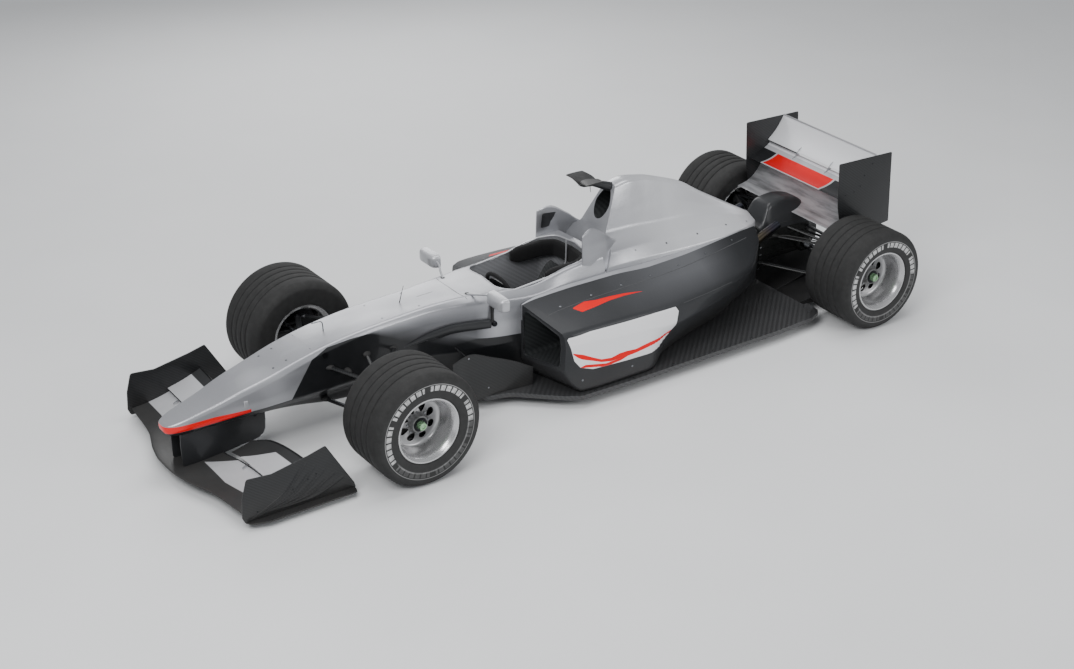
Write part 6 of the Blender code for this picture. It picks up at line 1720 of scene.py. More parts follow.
# Rear corners
rear_upper_z = REAR_RADIUS + REAR_UPRIGHT_HALF
rear_lower_z = REAR_RADIUS - REAR_UPRIGHT_HALF
REAR_BODY_X = 0.5518
REAR_FACE_X = 0.635
REAR_OUTER_X = 0.5778
REAR_ARMS = (("upper", rear_upper_z, ((1.7306, 0.4216, 0.122), (2.038, 0.4216, 0.122))),
    ("lower", rear_lower_z, ((1.6038, 0.2726, 0.122), (2.0317, 0.2853, 0.122))))
for side, label in SIDES:
    for level, z, legs in REAR_ARMS:
        outer = (side * REAR_OUTER_X, REAR_AXLE_Y, z)
        parts = wishbone("rear", level, label, outer, side * 0.075, legs, 0.37, BLACK_ANODISED,
            CAST_MAGNESIUM)
        if level == "upper":
            # Pushrod link that runs to the casing
            foot = (side * 0.5, 1.985, 0.41)
            parts.append(bar(f"rear_rocker_link_{label}", foot, (side * 0.118, 1.865, 0.452),
                [(0.0, 0.0075), (0.08, 0.0085), (0.12, 0.0105), (1.0, 0.0105)], 16, BARE_CARBON, 0.8))
            # Toe link behind the shaft and the brake hose along the front leg
            parts.append(bar(f"rear_toe_link_{label}", (side * 0.52, 2.085, 0.395),
                (side * 0.112, 2.048, 0.372), [(0.0, 0.007), (0.06, 0.01), (0.94, 0.01), (1.0, 0.007)], 16,
                BARE_CARBON, 0.7))
            parts.append(tube(f"rear_brake_hose_{label}", smooth_path(
                [(side * 0.105, 1.7, 0.412), (side * 0.22, 1.775, 0.452), (side * 0.38, 1.88, 0.446),
                 (side * 0.505, 1.955, 0.436)], 26), 0.0038, 10, GAITER_RUBBER))
        keep(join(f"rear_{level}_wishbone_{label}_arm", parts), "chassis", "bare_carbon",
            f"rear_{level}_wishbone_{label}")
    centre = (side * REAR_WHEEL_X, REAR_AXLE_Y, REAR_RADIUS)
    carrier_length = REAR_FACE_X - REAR_BODY_X
    carrier = revolve(f"rear_carrier_{label}", [(0.0, 0.0243), (0.0, 0.044), (0.004, 0.05), (0.02, 0.052),
        (carrier_length - 0.006, 0.052), (carrier_length, 0.048), (carrier_length, 0.0243)], 48,
        (side * REAR_BODY_X, REAR_AXLE_Y, REAR_RADIUS), side, CAST_MAGNESIUM)
    low_x = min(side * REAR_BODY_X, side * (REAR_BODY_X + 0.052))
    pillars = []
    for low, high in ((REAR_RADIUS - 0.0978, REAR_RADIUS - 0.03),
            (REAR_RADIUS + 0.03, REAR_RADIUS + 0.0978)):
        pillars.append(block(f"rear_pillar_{label}_{low:.2f}", (low_x, REAR_AXLE_Y - 0.026, low),
            (low_x + 0.052, REAR_AXLE_Y + 0.026, high), CAST_MAGNESIUM, 0.005))
    drum = duct_drum(f"rear_duct_drum_{label}", centre, side, -0.064, 0.056, 0.028)
    caliper = brake_caliper(f"rear_caliper_{label}", centre, side, math.radians(148), math.radians(212))
    keep(join(f"rear_upright_{label}_set", [carrier, *pillars, drum, *caliper]), "chassis",
        "magnesium_casting", f"rear_upright_{label}")
    # Driveshaft with tripod housings and ribbed boots at both ends
    start = 0.1206
    shaft_outline = [(0.0, 0.0), (0.0, 0.0228), (0.03, 0.0228), (0.034, 0.0205)]
    for k in range(5):
        shaft_outline += [(0.038 + 0.008 * k, 0.0225 - 0.0012 * k),
            (0.042 + 0.008 * k, 0.0185 - 0.0012 * k)]
    shaft_outline += [(0.08, 0.013), (0.36, 0.013)]
    for k in range(5):
        shaft_outline += [(0.366 + 0.008 * k, 0.016 + 0.0012 * k), (0.37 + 0.008 * k, 0.0135 + 0.0012 * k)]
    shaft_outline += [(0.408, 0.0205), (0.412, 0.0228), (0.606, 0.0228), (0.606, 0.0)]
    shaft = revolve(f"driveshaft_{label}_bar", shaft_outline, 36, (side * start, REAR_AXLE_Y, REAR_RADIUS),
        side, MACHINED_STEEL)
    keep(shaft, "wheel_rl" if side > 0 else "wheel_rr", "machined_steel", f"driveshaft_{label}")


# Cockpit

TILT = math.radians(12)
WHEEL_CENTRE = Vector((0, -0.25, 0.535))
FORWARD = Vector((0, -math.cos(TILT), -math.sin(TILT)))
UPWARD = Vector((0, -math.sin(TILT), math.cos(TILT)))
ACROSS = Vector((1, 0, 0))


def at_wheel(across, up, deep=0.0):
    """Point in the steering wheel's own plane; deep goes towards the driver."""
    return WHEEL_CENTRE + ACROSS * across + UPWARD * up - FORWARD * deep


rim_points = []
for turn in turns(64):
    wide = 0.125 * math.copysign(abs(math.cos(turn)) ** 0.8, math.cos(turn))
    high = 0.098 * math.copysign(abs(math.sin(turn)) ** 0.8, math.sin(turn))
    rim_points.append(at_wheel(wide, high))
wheel_parts = [loop_tube("steering_rim", rim_points, 0.0125, 14, GRIP_SUEDE)]
face_outline = [(-0.118, 0.02), (-0.09, 0.046), (-0.045, 0.058), (0.045, 0.058), (0.09, 0.046),
    (0.118, 0.02), (0.118, -0.02), (0.085, -0.034), (0.052, -0.062), (-0.052, -0.062), (-0.085, -0.034),
    (-0.118, -0.02)]
face_points = [at_wheel(*point, 0.003) for point in rounded_loop(face_outline, 0.012, 4)]
wheel_parts.append(plate("steering_face", face_points, -FORWARD * 0.006, BARE_CARBON, 0.0015))
BUTTONS = ((-0.07, 0.028, RED_SWITCH), (-0.046, 0.04, YELLOW_SWITCH), (0.07, 0.028, RED_SWITCH),
    (0.046, 0.04, BRIGHT_ALUMINIUM), (-0.072, -0.01, BRIGHT_ALUMINIUM), (0.072, -0.01, YELLOW_SWITCH),
    (-0.036, -0.04, BLACK_ANODISED), (0.0, -0.044, BLACK_ANODISED), (0.036, -0.04, BLACK_ANODISED))
for k, (u, v, finish) in enumerate(BUTTONS):
    wheel_parts.append(heads(f"button_{k}", [(at_wheel(u, v, 0.0115), -FORWARD)], 0.0062, 0.007, finish,
        24))
display = plate("blank_display", [at_wheel(u, v, 0.009) for u, v in ((-0.03, 0.006), (0.03, 0.006),
    (0.03, 0.032), (-0.03, 0.032))], -FORWARD * 0.004, BLACK_POLYMER, 0.001)
paddles = []
for side, label in SIDES:
    paddles.append(plate(f"paddle_{label}", [at_wheel(side * u, v, -0.02)
        for u, v in ((0.04, -0.024), (0.105, -0.03), (0.11, 0.026), (0.045, 0.022))], FORWARD * 0.0025,
        BARE_CARBON, 0.0008))
boss = [WHEEL_CENTRE - FORWARD * 0.002, WHEEL_CENTRE + FORWARD * 0.0625]
wheel_parts.append(bar("quick_release", boss[0], boss[1], [(0.0, 0.032), (0.25, 0.032), (0.28, 0.028),
    (0.55, 0.028), (0.58, 0.032), (0.8, 0.032), (1.0, 0.026)], 36, BLACK_ANODISED))
column_end = WHEEL_CENTRE + FORWARD * 0.925
wheel_parts.append(bar("steering_column", boss[1], column_end, [(0.0, 0.0115), (1.0, 0.0115)], 20,
    BARE_CARBON))
keep(join("steering_wheel_set", [*wheel_parts, display, *paddles]), "steering", "steering_grip",
    "steering_wheel")

# Seat shell. Columns: y, half width, floor z of the shell's middle, z of its sides
SEAT_ROWS = ((-0.268, 0.146, 0.292, 0.305), (-0.2, 0.148, 0.268, 0.3), (-0.1, 0.149, 0.24, 0.285),
    (-0.02, 0.149, 0.226, 0.278), (0.04, 0.149, 0.262, 0.33), (0.09, 0.148, 0.342, 0.412),
    (0.14, 0.146, 0.44, 0.492), (0.18, 0.14, 0.52, 0.548), (0.206, 0.134, 0.558, 0.562))
seat_rings = []
for k in range(40):
    y = -0.268 + 0.474 * k / 39
    _, half, middle, sides_z = smooth_row(SEAT_ROWS, y)
    ring = []
    for j in range(25):
        share = -1 + 2 * j / 24
        ring.append(Vector((half * share, y, middle + (sides_z - middle) * abs(share) ** 3)))
    back = [Vector((point.x * 0.99, point.y + 0.006, point.z - 0.01)) for point in reversed(ring)]
    seat_rings.append(ring + back)
seat_shell = skin("seat_shell", seat_rings, INNER_CARBON)
seat_foot = block("seat_foot", (-0.12, -0.24, 0.1206), (0.12, 0.02, 0.215), INNER_CARBON, 0.02)
seat_tree = tree_of(seat_shell)
straps = []
STRAPS = (((0.06, 0.186), (0.052, 0.1), (0.04, 0.02), (0.014, -0.08)), ((-0.06, 0.186), (-0.052, 0.1),
    (-0.04, 0.02), (-0.014, -0.08)), ((0.14, -0.06), (0.09, -0.075), (0.02, -0.092)),
    ((-0.14, -0.06), (-0.09, -0.075), (-0.02, -0.092)), ((0.01, -0.1), (0.018, -0.15), (0.03, -0.225)))
for k, line in enumerate(STRAPS):
    path = smooth_path([Vector((x, y, 0)) for x, y in line], 22)
    laid = [on_top(seat_tree, point.x, point.y, 0.004) for point in path]
    strap = ribbon(f"harness_strap_{k}", laid, 0.042, HARNESS_WEB, 0.0016)
    straps.append(strap)
buckle_at, buckle_normal = on_top(seat_tree, 0.0, -0.09, 0.01)
buckle = heads("harness_buckle", [(buckle_at, buckle_normal)], 0.026, 0.014, BRIGHT_ALUMINIUM, 32)
release = heads("harness_release", [(buckle_at + buckle_normal * 0.008, buckle_normal)], 0.015, 0.006,
    RED_SWITCH, 24)
keep(join("seat_with_harness", [seat_shell, seat_foot, *straps, buckle, release]), "chassis", "bare_carbon",
    "seat")

# Padded surround behind the driver's head: a crowned foam roll with its cover seam
HEADREST_LOW = 0.5841
HEADREST_HIGH = 0.6825
PAD_DEPTH = 0.05
outer_line = [point for point in opening_outline(0.0) if point.y > -0.155]
outer_line.sort(key=lambda point: math.atan2(point.x, point.y + 0.5))
path = smooth_path(outer_line, 60)
pad_rings = []
seam_top = []
for k, point in enumerate(path):
    along = (path[min(k + 1, len(path) - 1)] - path[max(k - 1, 0)]).normalized()
    inward = Vector((along.y, -along.x, 0))
    if inward.dot(point) > 0:
        inward = -inward
    swell = math.sin(math.pi * min(k, len(path) - 1 - k, 4) / 8)
    ends = 0.55 + 0.45 * swell
    ring = []
    for turn in turns(20):
        wide = math.copysign(abs(math.cos(turn)) ** 0.55, math.cos(turn))
        high = math.copysign(abs(math.sin(turn)) ** 0.55, math.sin(turn))
        centre = point + inward * (0.0012 + PAD_DEPTH / 2)
        height = (HEADREST_LOW + HEADREST_HIGH) / 2 + high * (HEADREST_HIGH - HEADREST_LOW) / 2 * ends
        ring.append(centre + inward * wide * PAD_DEPTH / 2 * ends + Vector((0, 0, height)))
    pad_rings.append(ring)
    seam_top.append(point + inward * (0.0012 + PAD_DEPTH * 0.8) + Vector((0, 0, HEADREST_HIGH - 0.0035)))
pad = skin("headrest_pad", pad_rings, PAD_CLOTH, sharp_degrees=80)
piping = tube("headrest_piping", seam_top[3:-3], 0.0022, 8, PAD_CLOTH)
keep(join("headrest_padding", [pad, piping]), "chassis", "black_padding", "headrest")

# Slim rod that stands up in the opening beside the seat
rod = tube("radio_mast", smooth_path([(-0.004, 0.204, 0.552), (-0.004, 0.222, 0.6), (-0.006, 0.227, 0.74)],
    16), 0.0052, 12, SILVER_TRIM)
keep(rod, "chassis", "machined_steel")

# Mirrors: housing, glass and stalk
for side, label in SIDES:
    centre = Vector((side * 0.36, -0.51, 0.675))
    half = 0.0882
    rings = []
    for along, size in ((-0.33, 0.3), (-0.325, 0.5), (-0.29, 0.66), (-0.2, 0.84), (-0.08, 0.94),
            (0.1, 0.99), (0.318, 1.0)):
        ring = rounded_loop(box_corners(size, size * 0.46), 0.3 * size, 6)
        rings.append([centre + Vector((point.x * half, along * half, point.y * half)) for point in ring])
    inner_rings = []
    for along, size in ((0.318, 0.93), (0.245, 0.91)):
        ring = rounded_loop(box_corners(size, size * 0.44), 0.26, 6)
        inner_rings.append([centre + Vector((point.x * half, along * half, point.y * half))
            for point in ring])
    shell = skin(f"mirror_shell_{label}", rings + inner_rings, SILVER_TRIM)
    glass_outline = rounded_loop(box_corners(0.9, 0.42), 0.24, 6)
    glass = plate(f"mirror_glass_{label}", [centre + Vector((point.x * half, 0.246 * half, point.y * half))
        for point in glass_outline], (0, 0.0016, 0), MIRROR_GLASS)
    foot, foot_normal = on_top(whole_tub_tree, side * 0.128, -0.56, -0.004)
    elbow = centre + Vector((-side * 0.09, 0.004, 0.004))
    stalk = tube(f"mirror_stalk_{label}", smooth_path([elbow + Vector((side * 0.02, 0, 0.004)), elbow,
        foot.lerp(elbow, 0.45), foot], 20), 0.0062, 14, SILVER_TRIM)
    base = heads(f"mirror_base_{label}", [(foot + foot_normal * 0.0045, foot_normal)], 0.013, 0.003,
        BLACK_ANODISED, 24)
    keep(join(f"mirror_{label}_set", [shell, glass, stalk, base]), "chassis", "silver_lacquer",
        f"mirror_{label}")


# Floor, plank, diffuser and bargeboards

FLOOR_UNDER_Z = 0.0574
FLOOR_THICKNESS = 0.0272
PLANK_UNDER_Z = 0.0422
# Columns: half width, y
FLOOR_HALF = ((0.0, -0.657), (0.2835, -0.624), (0.34, -0.572), (0.378, -0.434), (0.592, -0.204),
    (0.646, -0.116), (0.655, 0.229), (0.649, 1.344), (0.63, 1.649), (0.58, 1.741), (0.46, 1.757),
    (0.46, 1.72), (0.0, 1.72))
FLOOR_ROUNDING = [0.05, 0.06, 0.14, 0.14, 0.05, 0.06, 0.06, 0.06, 0.04, 0.012, 0.002]
floor_ring = rounded_loop(both_halves([Vector((x, y, FLOOR_UNDER_Z)) for x, y in FLOOR_HALF]),
    [0.0, *FLOOR_ROUNDING, 0.0, *reversed(FLOOR_ROUNDING)], 5)
floor_plate = plate("floor_plate", floor_ring, (0, 0, FLOOR_THICKNESS), FLOOR_CARBON, 0.005)
plank = plate("skid_plank", rounded_loop([(-0.149, -0.61, PLANK_UNDER_Z), (0.149, -0.61, PLANK_UNDER_Z),
    (0.149, 1.668, PLANK_UNDER_Z), (-0.149, 1.668, PLANK_UNDER_Z)], 0.05, 6), (0, 0, 0.018), PLANK_WOOD,
    0.003)
skid_spots = [(Vector((x, y, 0.0433)), Vector((0, 0, -1))) for x in (-0.09, 0.0, 0.09)
    for y in (-0.48, 0.35, 1.05, 1.55)]
skids = heads("skid_plugs", skid_spots, 0.025, 0.0016, MACHINED_STEEL, 32)
floor_screws = heads("floor_screws", [(Vector((side * x, y, FLOOR_TOP)), Vector((0, 0, 1)))
    for side, _ in SIDES for x, y in ((0.63, -0.02), (0.635, 0.25), (0.635, 0.55), (0.635, 0.85),
    (0.635, 1.15), (0.63, 1.45), (0.5, 1.7), (0.56, 1.68))], 0.007, 0.0016, MACHINED_STEEL, 20)
keep(join("floor_with_plank", [floor_plate, plank, skids, floor_screws]), "chassis", "bare_carbon", "floor")

# Columns: y, middle roof z, side roof z, foot z of the fences
TUNNEL_ROWS = ((1.7202, 0.085, 0.085, 0.0595), (1.8688, 0.1148, 0.102, 0.0561), (2.0328, 0.1615, 0.1275,
    0.0595), (2.1703, 0.2035, 0.157, 0.068))
TUNNEL_X = 0.195
DIFFUSER_X = 0.43
rings = []
for y in spread(1.7204, 2.1702, 19):
    _, roof, side_roof, foot = smooth_row(TUNNEL_ROWS, y)
    thin = 0.0032
    roof_skin = min(0.007, 0.003 + (y - 1.72) * 0.06)
    inner = TUNNEL_X * 0.385
    half = [(0, roof), (TUNNEL_X - 0.004, roof), (TUNNEL_X + thin, roof - 0.003),
        (TUNNEL_X + thin, side_roof), (DIFFUSER_X - 0.003, side_roof), (DIFFUSER_X, side_roof - 0.003),
        (DIFFUSER_X, foot + 0.002), (DIFFUSER_X - 0.002, foot), (DIFFUSER_X - 2 * thin, foot),
        (DIFFUSER_X - 2 * thin, side_roof - roof_skin), (TUNNEL_X + thin, side_roof - roof_skin),
        (TUNNEL_X + thin, foot), (TUNNEL_X - thin, foot), (TUNNEL_X - thin, roof - roof_skin),
        (inner + thin, roof - roof_skin), (inner + thin, foot), (inner - thin, foot),
        (inner - thin, roof - roof_skin), (0, roof - roof_skin)]
    rings.append(both_halves([Vector((x, y, z)) for x, z in half]))
diffuser = skin("diffuser_tunnels", rings, BARE_CARBON, sharp_degrees=28)
gurney = block("diffuser_trailing_lip", (-TUNNEL_X + 0.004, 2.16, 0.1955), (TUNNEL_X - 0.004, 2.169,
    0.2038), PANEL_CARBON, 0.0015)
keep(join("diffuser_set", [diffuser, gurney]), "chassis", "bare_carbon", "diffuser")

# Columns: y, x, foot z, top z
VANE_ROWS = ((-0.801, 0.343, 0.156, 0.36), (-0.69, 0.334, 0.0856, 0.384), (-0.526, 0.337, 0.0856, 0.324),
    (-0.362, 0.353, 0.0856, 0.252), (-0.27, 0.365, 0.0856, 0.198))
for side, label in SIDES:
    rings = []
    for k in range(33):
        y = -0.8 + 0.529 * k / 32
        _, x, low, top = smooth_row(VANE_ROWS, y)
        ease = min(1.0, 0.35 + min(k, 32 - k) / 3)
        centre = x + 0.0028
        thin = 0.0026 * ease
        fold = 0.0012
        ring = [(centre - thin, low), (centre + thin, low), (centre + thin, top - 0.014),
            (centre + thin, top - 0.004), (centre + fold, top), (centre - fold, top),
            (centre - thin, top - 0.004), (centre - thin, top - 0.014)]
        rings.append([Vector((side * across, y, z)) for across, z in ring])
    vane = skin(f"turning_vane_{label}", rings, SHADED_VANE_CARBON, sharp_degrees=28)
    stays = []
    for y, z, tub_z in ((-0.69, 0.362, 0.372), (-0.56, 0.14, 0.3)):
        _, x, low, top = smooth_row(VANE_ROWS, y)
        anchor, _ = on_side(whole_tub_tree, side, y, tub_z, -0.003)
        start = Vector((side * x, y, z))
        stays.append(bar(f"vane_stay_{label}_{y}", start, anchor, [(0, 0.0045), (1, 0.0045)], 12,
            BARE_CARBON, 0.7, 0.3))
        stays.append(heads(f"vane_bolt_{label}_{y}",
            [(start + Vector((side * 0.0058, 0, 0)), Vector((side, 0, 0)))], 0.006, 0.003, MACHINED_STEEL,
            6))
    keep(join(f"bargeboard_{label}_set", [vane, *stays]), "chassis", "bare_carbon", f"bargeboard_{label}")

# Engine, gearbox, exhausts and rain light

engine = block("engine_block", (-0.2195, 0.5808, 0.0858), (0.2195, 1.1698, 0.4992), ENGINE_CASTING, 0.012)
covers = [block(f"cam_cover_{label}", (min(side * 0.09, side * 0.2), 0.62, 0.455),
    (max(side * 0.09, side * 0.2), 1.14, 0.4996), BARE_CARBON, 0.01) for side, label in SIDES]
bolt_places = [(y, z) for y in spread(0.62, 1.13, 8) for z in (0.11, 0.3)]
sump_bolts = heads("engine_bolts", side_spots(0.2195, 1, bolt_places) + side_spots(-0.2195, -1,
    bolt_places), 0.008, 0.005, MACHINED_STEEL, 6)
keep(join("engine_set", [engine, *covers, sump_bolts]), "chassis", "engine_block", "engine")

# Columns: y, top z, top half width, side half width, upper z, lower z, foot half width, foot z
CASING_ROWS = (
    (1.1703, 0.448, 0.12, 0.162, 0.384, 0.16, 0.132, 0.09),
    (1.471, 0.47, 0.108, 0.126, 0.41, 0.192, 0.108, 0.122),
    (1.655, 0.494, 0.09, 0.12, 0.448, 0.243, 0.09, 0.211),
    (1.742, 0.624, 0.074, 0.12, 0.461, 0.269, 0.084, 0.256),
    (1.849, 0.64, 0.066, 0.12, 0.461, 0.269, 0.082, 0.256),
    (1.951, 0.621, 0.06, 0.12, 0.455, 0.269, 0.08, 0.256),
    (2.033, 0.57, 0.055, 0.12, 0.448, 0.269, 0.077, 0.256),
    (2.077, 0.49, 0.054, 0.103, 0.422, 0.282, 0.07, 0.269),
    (2.14, 0.458, 0.054, 0.084, 0.41, 0.307, 0.06, 0.294),
)


def casing_ring(y, grow=0.0):
    """Closed ring of the gearbox casing and crash structure."""
    _, top, top_x, side_x, upper, lower, foot_x, foot = smooth_row(CASING_ROWS, y)
    points = [(0, top + grow), (top_x + grow * 0.7, top + grow), (side_x + grow, upper + grow * 0.4),
        (side_x + grow, lower - grow * 0.4), (foot_x + grow * 0.7, foot - grow), (0, foot - grow)]
    return both_halves([Vector((x, y, z)) for x, z in rounded(points, [0.04, 0.022, 0.022, 0.014], 5)])


casing = skin("gearbox_casing", [casing_ring(y) for y in spread(1.1706, 2.1398, 74)], CAST_MAGNESIUM)
casing.data.materials.append(CHARCOAL_TRIM)
for face in casing.data.polygons:
    if face.center.z > 0.475 and 1.6 < face.center.y < 2.08:
        face.material_index = 1
casing_tree = tree_of(casing)
casing_parts = [casing]
for y in (1.32, 1.471, 1.635):
    flange = skin(f"casing_flange_{y:.2f}", [casing_ring(y - 0.006, 0.0052),
        casing_ring(y + 0.006, 0.0052)], CAST_MAGNESIUM)
    casing_parts.append(flange)
    casing_parts.append(heads(f"flange_studs_{y:.2f}",
        [(on_side(casing_tree, side, y, z, 0.0055)[0], Vector((0, 1, 0))) for side, _ in SIDES
        for z in (0.22, 0.27, 0.32, 0.37)], 0.0055, 0.016, MACHINED_STEEL, 6))
for side, label in SIDES:
    for k, z in enumerate((0.3, 0.35, 0.4)):
        laid = [on_side(casing_tree, side, y, z) for y in spread(1.66, 2.05, 20)]
        casing_parts.append(ribbon(f"casing_rib_{label}_{k}", laid, 0.008, CAST_MAGNESIUM, 0.005))
    # Output flange round the driveshaft
    casing_parts.append(revolve(f"output_flange_{label}", [(0.0, 0.03), (0.0, 0.06), (0.01, 0.06),
        (0.014, 0.05), (0.02, 0.044), (0.02, 0.03)], 40, (side * 0.115, REAR_AXLE_Y, REAR_RADIUS), side,
        CAST_MAGNESIUM))
    seam = [on_side(casing_tree, side, y, 0.49) for y in spread(1.7, 2.05, 20)]
    casing_parts.append(ribbon(f"hump_seam_{label}", seam, 0.004, GAITER_RUBBER, 0.0012))
lifting = block("jacking_bar", (-0.045, 2.115, 0.2955), (0.045, 2.1385, 0.3085), MACHINED_STEEL, 0.003)
keep(join("gearbox_set", [*casing_parts, lifting]), "chassis", "engine_block", "gearbox")

PIPE_RADIUS = 0.0283
for side, label in SIDES:
    route = smooth_path([(side * 0.1944, 1.1715, 0.3968), (side * 0.1944, 1.4196, 0.4224),
        (side * 0.1824, 1.602, 0.4864), (side * 0.174, 1.723, 0.526)], 40)
    pipe = tube(f"tail_pipe_{label}", route, PIPE_RADIUS, 32, HEATED_STEEL)
    back = (route[-1] - route[-8]).normalized()
    bore = tube(f"tail_pipe_bore_{label}", [route[-12], route[-6], route[-1] + back * 0.03], 0.0262, 32,
        HEATED_STEEL)
    carve(pipe, [bore])
    beads = []
    for k in (9, 20, 31):
        along = (route[k + 1] - route[k - 1]).normalized()
        beads.append(bar(f"weld_bead_{label}_{k}", route[k] - along * 0.003, route[k] + along * 0.003,
            [(0, PIPE_RADIUS), (0.3, 0.0296), (0.7, 0.0296), (1, PIPE_RADIUS)], 32, HEATED_STEEL))
    keep(join(f"exhaust_{label}_set", [pipe, *beads]), "chassis", "exhaust_metal", f"exhaust_{label}")

lamp_shell = block("rain_light_shell", (-0.0358, 2.1405, 0.3518), (0.0358, 2.1715, 0.4162), BLACK_POLYMER,
    0.004)
lens = block("rain_light_lens", (-0.032, 2.165, 0.3556), (0.032, 2.1738, 0.4124), RED_LENS, 0.002)
cells = heads("rain_light_cells", [(Vector((x, 2.1738, z)), Vector((0, 1, 0)))
    for x in spread(-0.0256, 0.0256, 6) for z in spread(0.3616, 0.4064, 5)], 0.004, 0.002, RED_LENS, 20)
keep(join("rain_light_set", [lamp_shell, lens, cells]), "chassis", "red_lens", "rain_light")

# Camera pod

rings = []
for k in range(33):
    x = -0.1043 + 0.2086 * k / 32
    reach = abs(x) / 0.1045
    lead = 0.3105 - 0.0209 * reach
    trail = 0.429 - 0.021 * max(0, (reach - 0.29) / 0.71)
    low = 1.0795 + 0.12 * abs(x) - 0.03 * max(0, 1 - reach * 1.5) ** 1.5
    top = 1.0899 + 0.12 * abs(x)
    ring = []
    for share, up in ((0.0, 0.45), (0.03, 0.75), (0.12, 0.95), (0.35, 1.0), (0.7, 0.92), (1.0, 0.72),
            (1.0, 0.55), (0.8, 0.3), (0.5, 0.0), (0.25, 0.0), (0.08, 0.12), (0.02, 0.28)):
        ring.append(Vector((x, lead + (trail - lead) * share, low + (top - low) * up)))
    rings.append(ring)
pod_wing = skin("camera_wing", rings, BLACK_POLYMER, sharp_degrees=50)
body = bar("camera_body", (0, 0.322, 1.066), (0, 0.444, 1.052), [(0.0, 0.01), (0.04, 0.016), (0.18, 0.0215),
    (0.6, 0.0225), (1.0, 0.018)], 28, BLACK_POLYMER, 0.85)
stem = bar("camera_stem", (0, 0.376, 1.07), (0, 0.535, 1.004), [(0.0, 0.018), (0.4, 0.0215), (1.0, 0.029)],
    24, CHARCOAL_TRIM)
eye = revolve("camera_window", [(0.0, 0.0), (0.0, 0.0095), (0.004, 0.0095), (0.004, 0.0)], 28,
    (0, 0.3205, 1.066), 1, MIRROR_GLASS, along='Y')
keep(join("camera_pod_set", [pod_wing, body, stem, eye]), "chassis", "charcoal_lacquer", "camera_pod")

# Radiators, panel lines, fasteners and the guide along the tub

for side, label in SIDES:
    core = slats(f"radiator_core_{label}", 26, (side * 0.405, 0.006, 0.25), (0, 0, 0.0074),
        (0.205, 0.03, 0.0011), (math.radians(-18), 0, 0), RADIATOR_METAL)
    keep(core, "chassis", "machined_steel")

trim = []


def seam_line(name, tree, points, width=0.0035, side=0):
    """Shut line laid on a surface through plan places, or through side places when side is given."""
    path = smooth_path([Vector((*point, 0)) for point in points], 26)
    laid = [on_side(tree, side, p.x, p.y) if side else on_top(tree, p.x, p.y) for p in path]
    trim.append(ribbon(name, laid, width, SHUT_LINE, 0.0004))


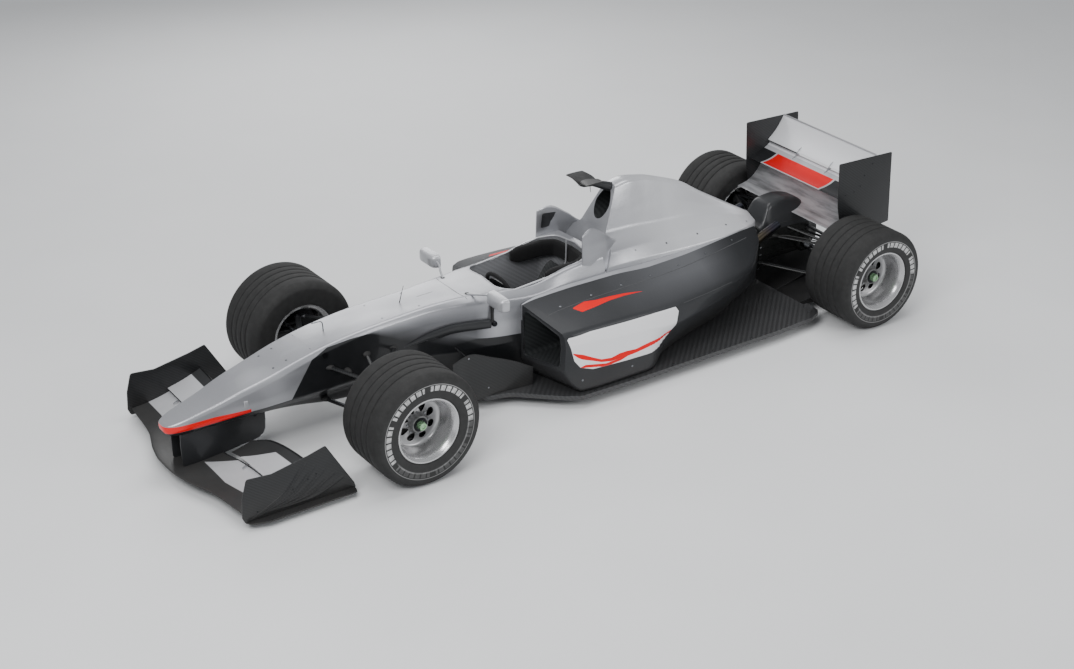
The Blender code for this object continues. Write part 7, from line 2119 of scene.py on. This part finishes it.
seam_line("hatch_line", whole_tub_tree, [(-0.171, -0.585), (-0.11, -0.6), (0.0, -0.604), (0.11, -0.6),
    (0.171, -0.585)])
seam_line("deck_line", whole_tub_tree, [(0.0, -0.817), (0.0, -0.711)], 0.003)
nose_tree = tree_of(nose_cone)
screws = []
for side, label in SIDES:
    tree = pods[label]
    seam_line(f"pod_seam_{label}", tree, [(side * 0.42, -0.2), (side * 0.4, 0.25), (side * 0.372, 0.7),
        (side * 0.33, 1.1), (side * 0.3, 1.36)])
    seam_line(f"pod_flank_seam_{label}", tree, [(0.66, 0.435), (0.88, 0.427), (1.1, 0.418)], 0.003,
        side=side)
    for y in spread(-0.1, 1.25, 7):
        x = curve_through([-0.2, 0.25, 0.7, 1.1, 1.36], [0.42, 0.4, 0.372, 0.33, 0.3], y) - 0.02
        screws.append(on_top(tree, side * x, y, 0.0006))
    for y, z in ((-0.1, 0.17), (0.25, 0.16), (0.55, 0.17)):
        screws.append(on_side(tree, side, y, z, 0.0006))
    for y, x in ((0.56, 0.232), (0.8, 0.222), (1.05, 0.205), (1.3, 0.175), (1.5, 0.135)):
        screws.append(on_top(cover_tree, side * x, y, 0.0006))
    for y in (-1.7, -1.78):
        screws.append(on_top(nose_tree, side * 0.085, y, 0.0006))
    for y in (-1.56, -1.1, -0.86):
        screws.append(on_top(whole_tub_tree, side * 0.098, y, 0.0006))
    # Curved guide low on the tub's side, from behind the front arms to a bracket under the mirror
    rings = []
    for share in spread(0, 1, 34):
        y = -1.0 + 0.52 * share
        z = curve_through([0.0, 0.35, 0.62, 1.0], [0.455, 0.5, 0.52, 0.512], share)
        anchor, _ = on_side(whole_tub_tree, side, y, z)
        if anchor is None:
            continue
        out = Vector((side, 0, 0.15)).normalized()
        down = Vector((0, 0, -1))
        grow = min(1.0, 0.15 + share * 2.2)
        base = anchor - out * 0.004
        ring = [base, base + out * 0.024 * grow + down * 0.002, base + out * 0.03 * grow + down * 0.01,
            base + out * 0.03 * grow + down * 0.046 * grow, base + out * 0.022 * grow + down * 0.056 * grow,
            base + down * 0.058 * grow]
        rings.append(ring)
    trim.append(skin(f"side_guide_{label}", rings, CHARCOAL_TRIM, sharp_degrees=50))
    corner = rings[-1][2] + Vector((0, 0.004, -0.006))
    trim.append(bar(f"guide_strut_{label}", corner, corner + Vector((-side * 0.014, 0.012, 0.094)),
        [(0, 0.011), (0.5, 0.009), (1, 0.012)], 20, BLACK_POLYMER, 0.8))
    trim.append(bar(f"guide_knuckle_{label}", corner + Vector((-side * 0.018, 0.012, -0.012)),
        corner + Vector((side * 0.016, 0.012, -0.012)), [(0, 0.014), (0.2, 0.017), (0.8, 0.017),
        (1, 0.014)], 24, BLACK_ANODISED))
    # Inner pad of the cockpit fins
    trim.append(plate(f"fin_pad_{label}",
        rounded_loop([(side * 0.2195, 0.19, 0.742), (side * 0.2165, 0.3, 0.742), (side * 0.199, 0.3, 0.832),
        (side * 0.2035, 0.19, 0.842)], 0.012, 4), (-side * 0.004, 0, 0), CHARCOAL_TRIM, 0.0015))
    # Small antenna under the camera wing's end
    trim.append(bar(f"wing_antenna_{label}", (side * 0.06, 0.345, 1.085), (side * 0.06, 0.352, 1.032),
        [(0, 0.0022), (1, 0.0016)], 10, BLACK_POLYMER))
    # Small ride height sensor above the end of the nose's stripe
    trim.append(block(f"nose_sensor_{label}", (min(side * 0.128, side * 0.1425), -1.992, 0.362),
        (max(side * 0.128, side * 0.1425), -1.968, 0.402), SILVER_TRIM, 0.003))
    # Round cap over the damper, where the front arms start
    port, normal = on_side(whole_tub_tree, side, -1.5, 0.545)
    trim.append(heads(f"damper_cap_{label}", [(port + normal * 0.001, normal)], 0.018, 0.005,
        BLACK_ANODISED, 28))
trim.append(heads("quarter_turn_screws", screws, 0.0062, 0.0016, MACHINED_STEEL, 20))
antenna_at, _ = on_top(whole_tub_tree, 0.0, -0.93, -0.004)
trim.append(bar("deck_antenna", antenna_at, antenna_at + Vector((0, 0.03, 0.1)), [(0, 0.004), (0.1, 0.0026),
    (1, 0.0014)], 12, BLACK_POLYMER))
pitot_at, _ = on_top(whole_tub_tree, 0.0, -1.42, -0.004)
trim.append(tube("pitot_tube", smooth_path([pitot_at, pitot_at + Vector((0, -0.004, 0.055)),
    pitot_at + Vector((0, -0.02, 0.068)), pitot_at + Vector((0, -0.07, 0.07))], 18), 0.0032, 12,
    MACHINED_STEEL))
keep(join("body_trim", trim), "chassis", "silver_lacquer")


# Floor and light

def make_floor_finish():
    """Matt painted studio floor, plain and pale."""
    material, shader, coordinates, *_ = new_finish("pale_studio_floor", 0.9)
    feed(shader, Base_Color=blend_colour(grain(coordinates, 1.5), colour("#DCDDDE"), colour("#E2E3E4")))
    return material


stage_mesh = bmesh.new()
bmesh.ops.create_circle(stage_mesh, cap_ends=True, radius=60, segments=64)
for vert in stage_mesh.verts:
    vert.co.z = -0.001
studio_floor = solid("studio_floor", stage_mesh, make_floor_finish())

world = bpy.data.worlds.new("studio")
bpy.context.scene.world = world
world.use_nodes = True
world_tree = world.node_tree
world_tree.nodes["Background"].inputs["Color"].default_value = colour("#E8EAED")
world_tree.nodes["Background"].inputs["Strength"].default_value = 0.55

# Columns: name, place, aims at, width, height, watts
LAMPS = (
    ("key", (3.5, -5.5, 6.0), (0, 0.0, 0.3), 4.0, 3.0, 420),
    ("fill", (6.5, 3.5, 3.5), (0, 0.5, 0.3), 4.0, 2.5, 170),
    ("top", (0.0, 0.0, 6.5), (0, 0.0, 0.0), 3.0, 7.0, 260),
    ("back", (-6.0, 2.0, 3.5), (0, 0.0, 0.4), 4.0, 3.0, 160),
)
for name, place, target, width, height, watts in LAMPS:
    lamp = bpy.data.lights.new(name, 'AREA')
    lamp.shape = 'RECTANGLE'
    lamp.size = width
    lamp.size_y = height
    lamp.energy = watts
    holder = bpy.data.objects.new(name, lamp)
    holder.location = place
    holder.rotation_euler = (Vector(target) - Vector(place)).to_track_quat('-Z', 'Y').to_euler()
    bpy.context.scene.collection.objects.link(holder)
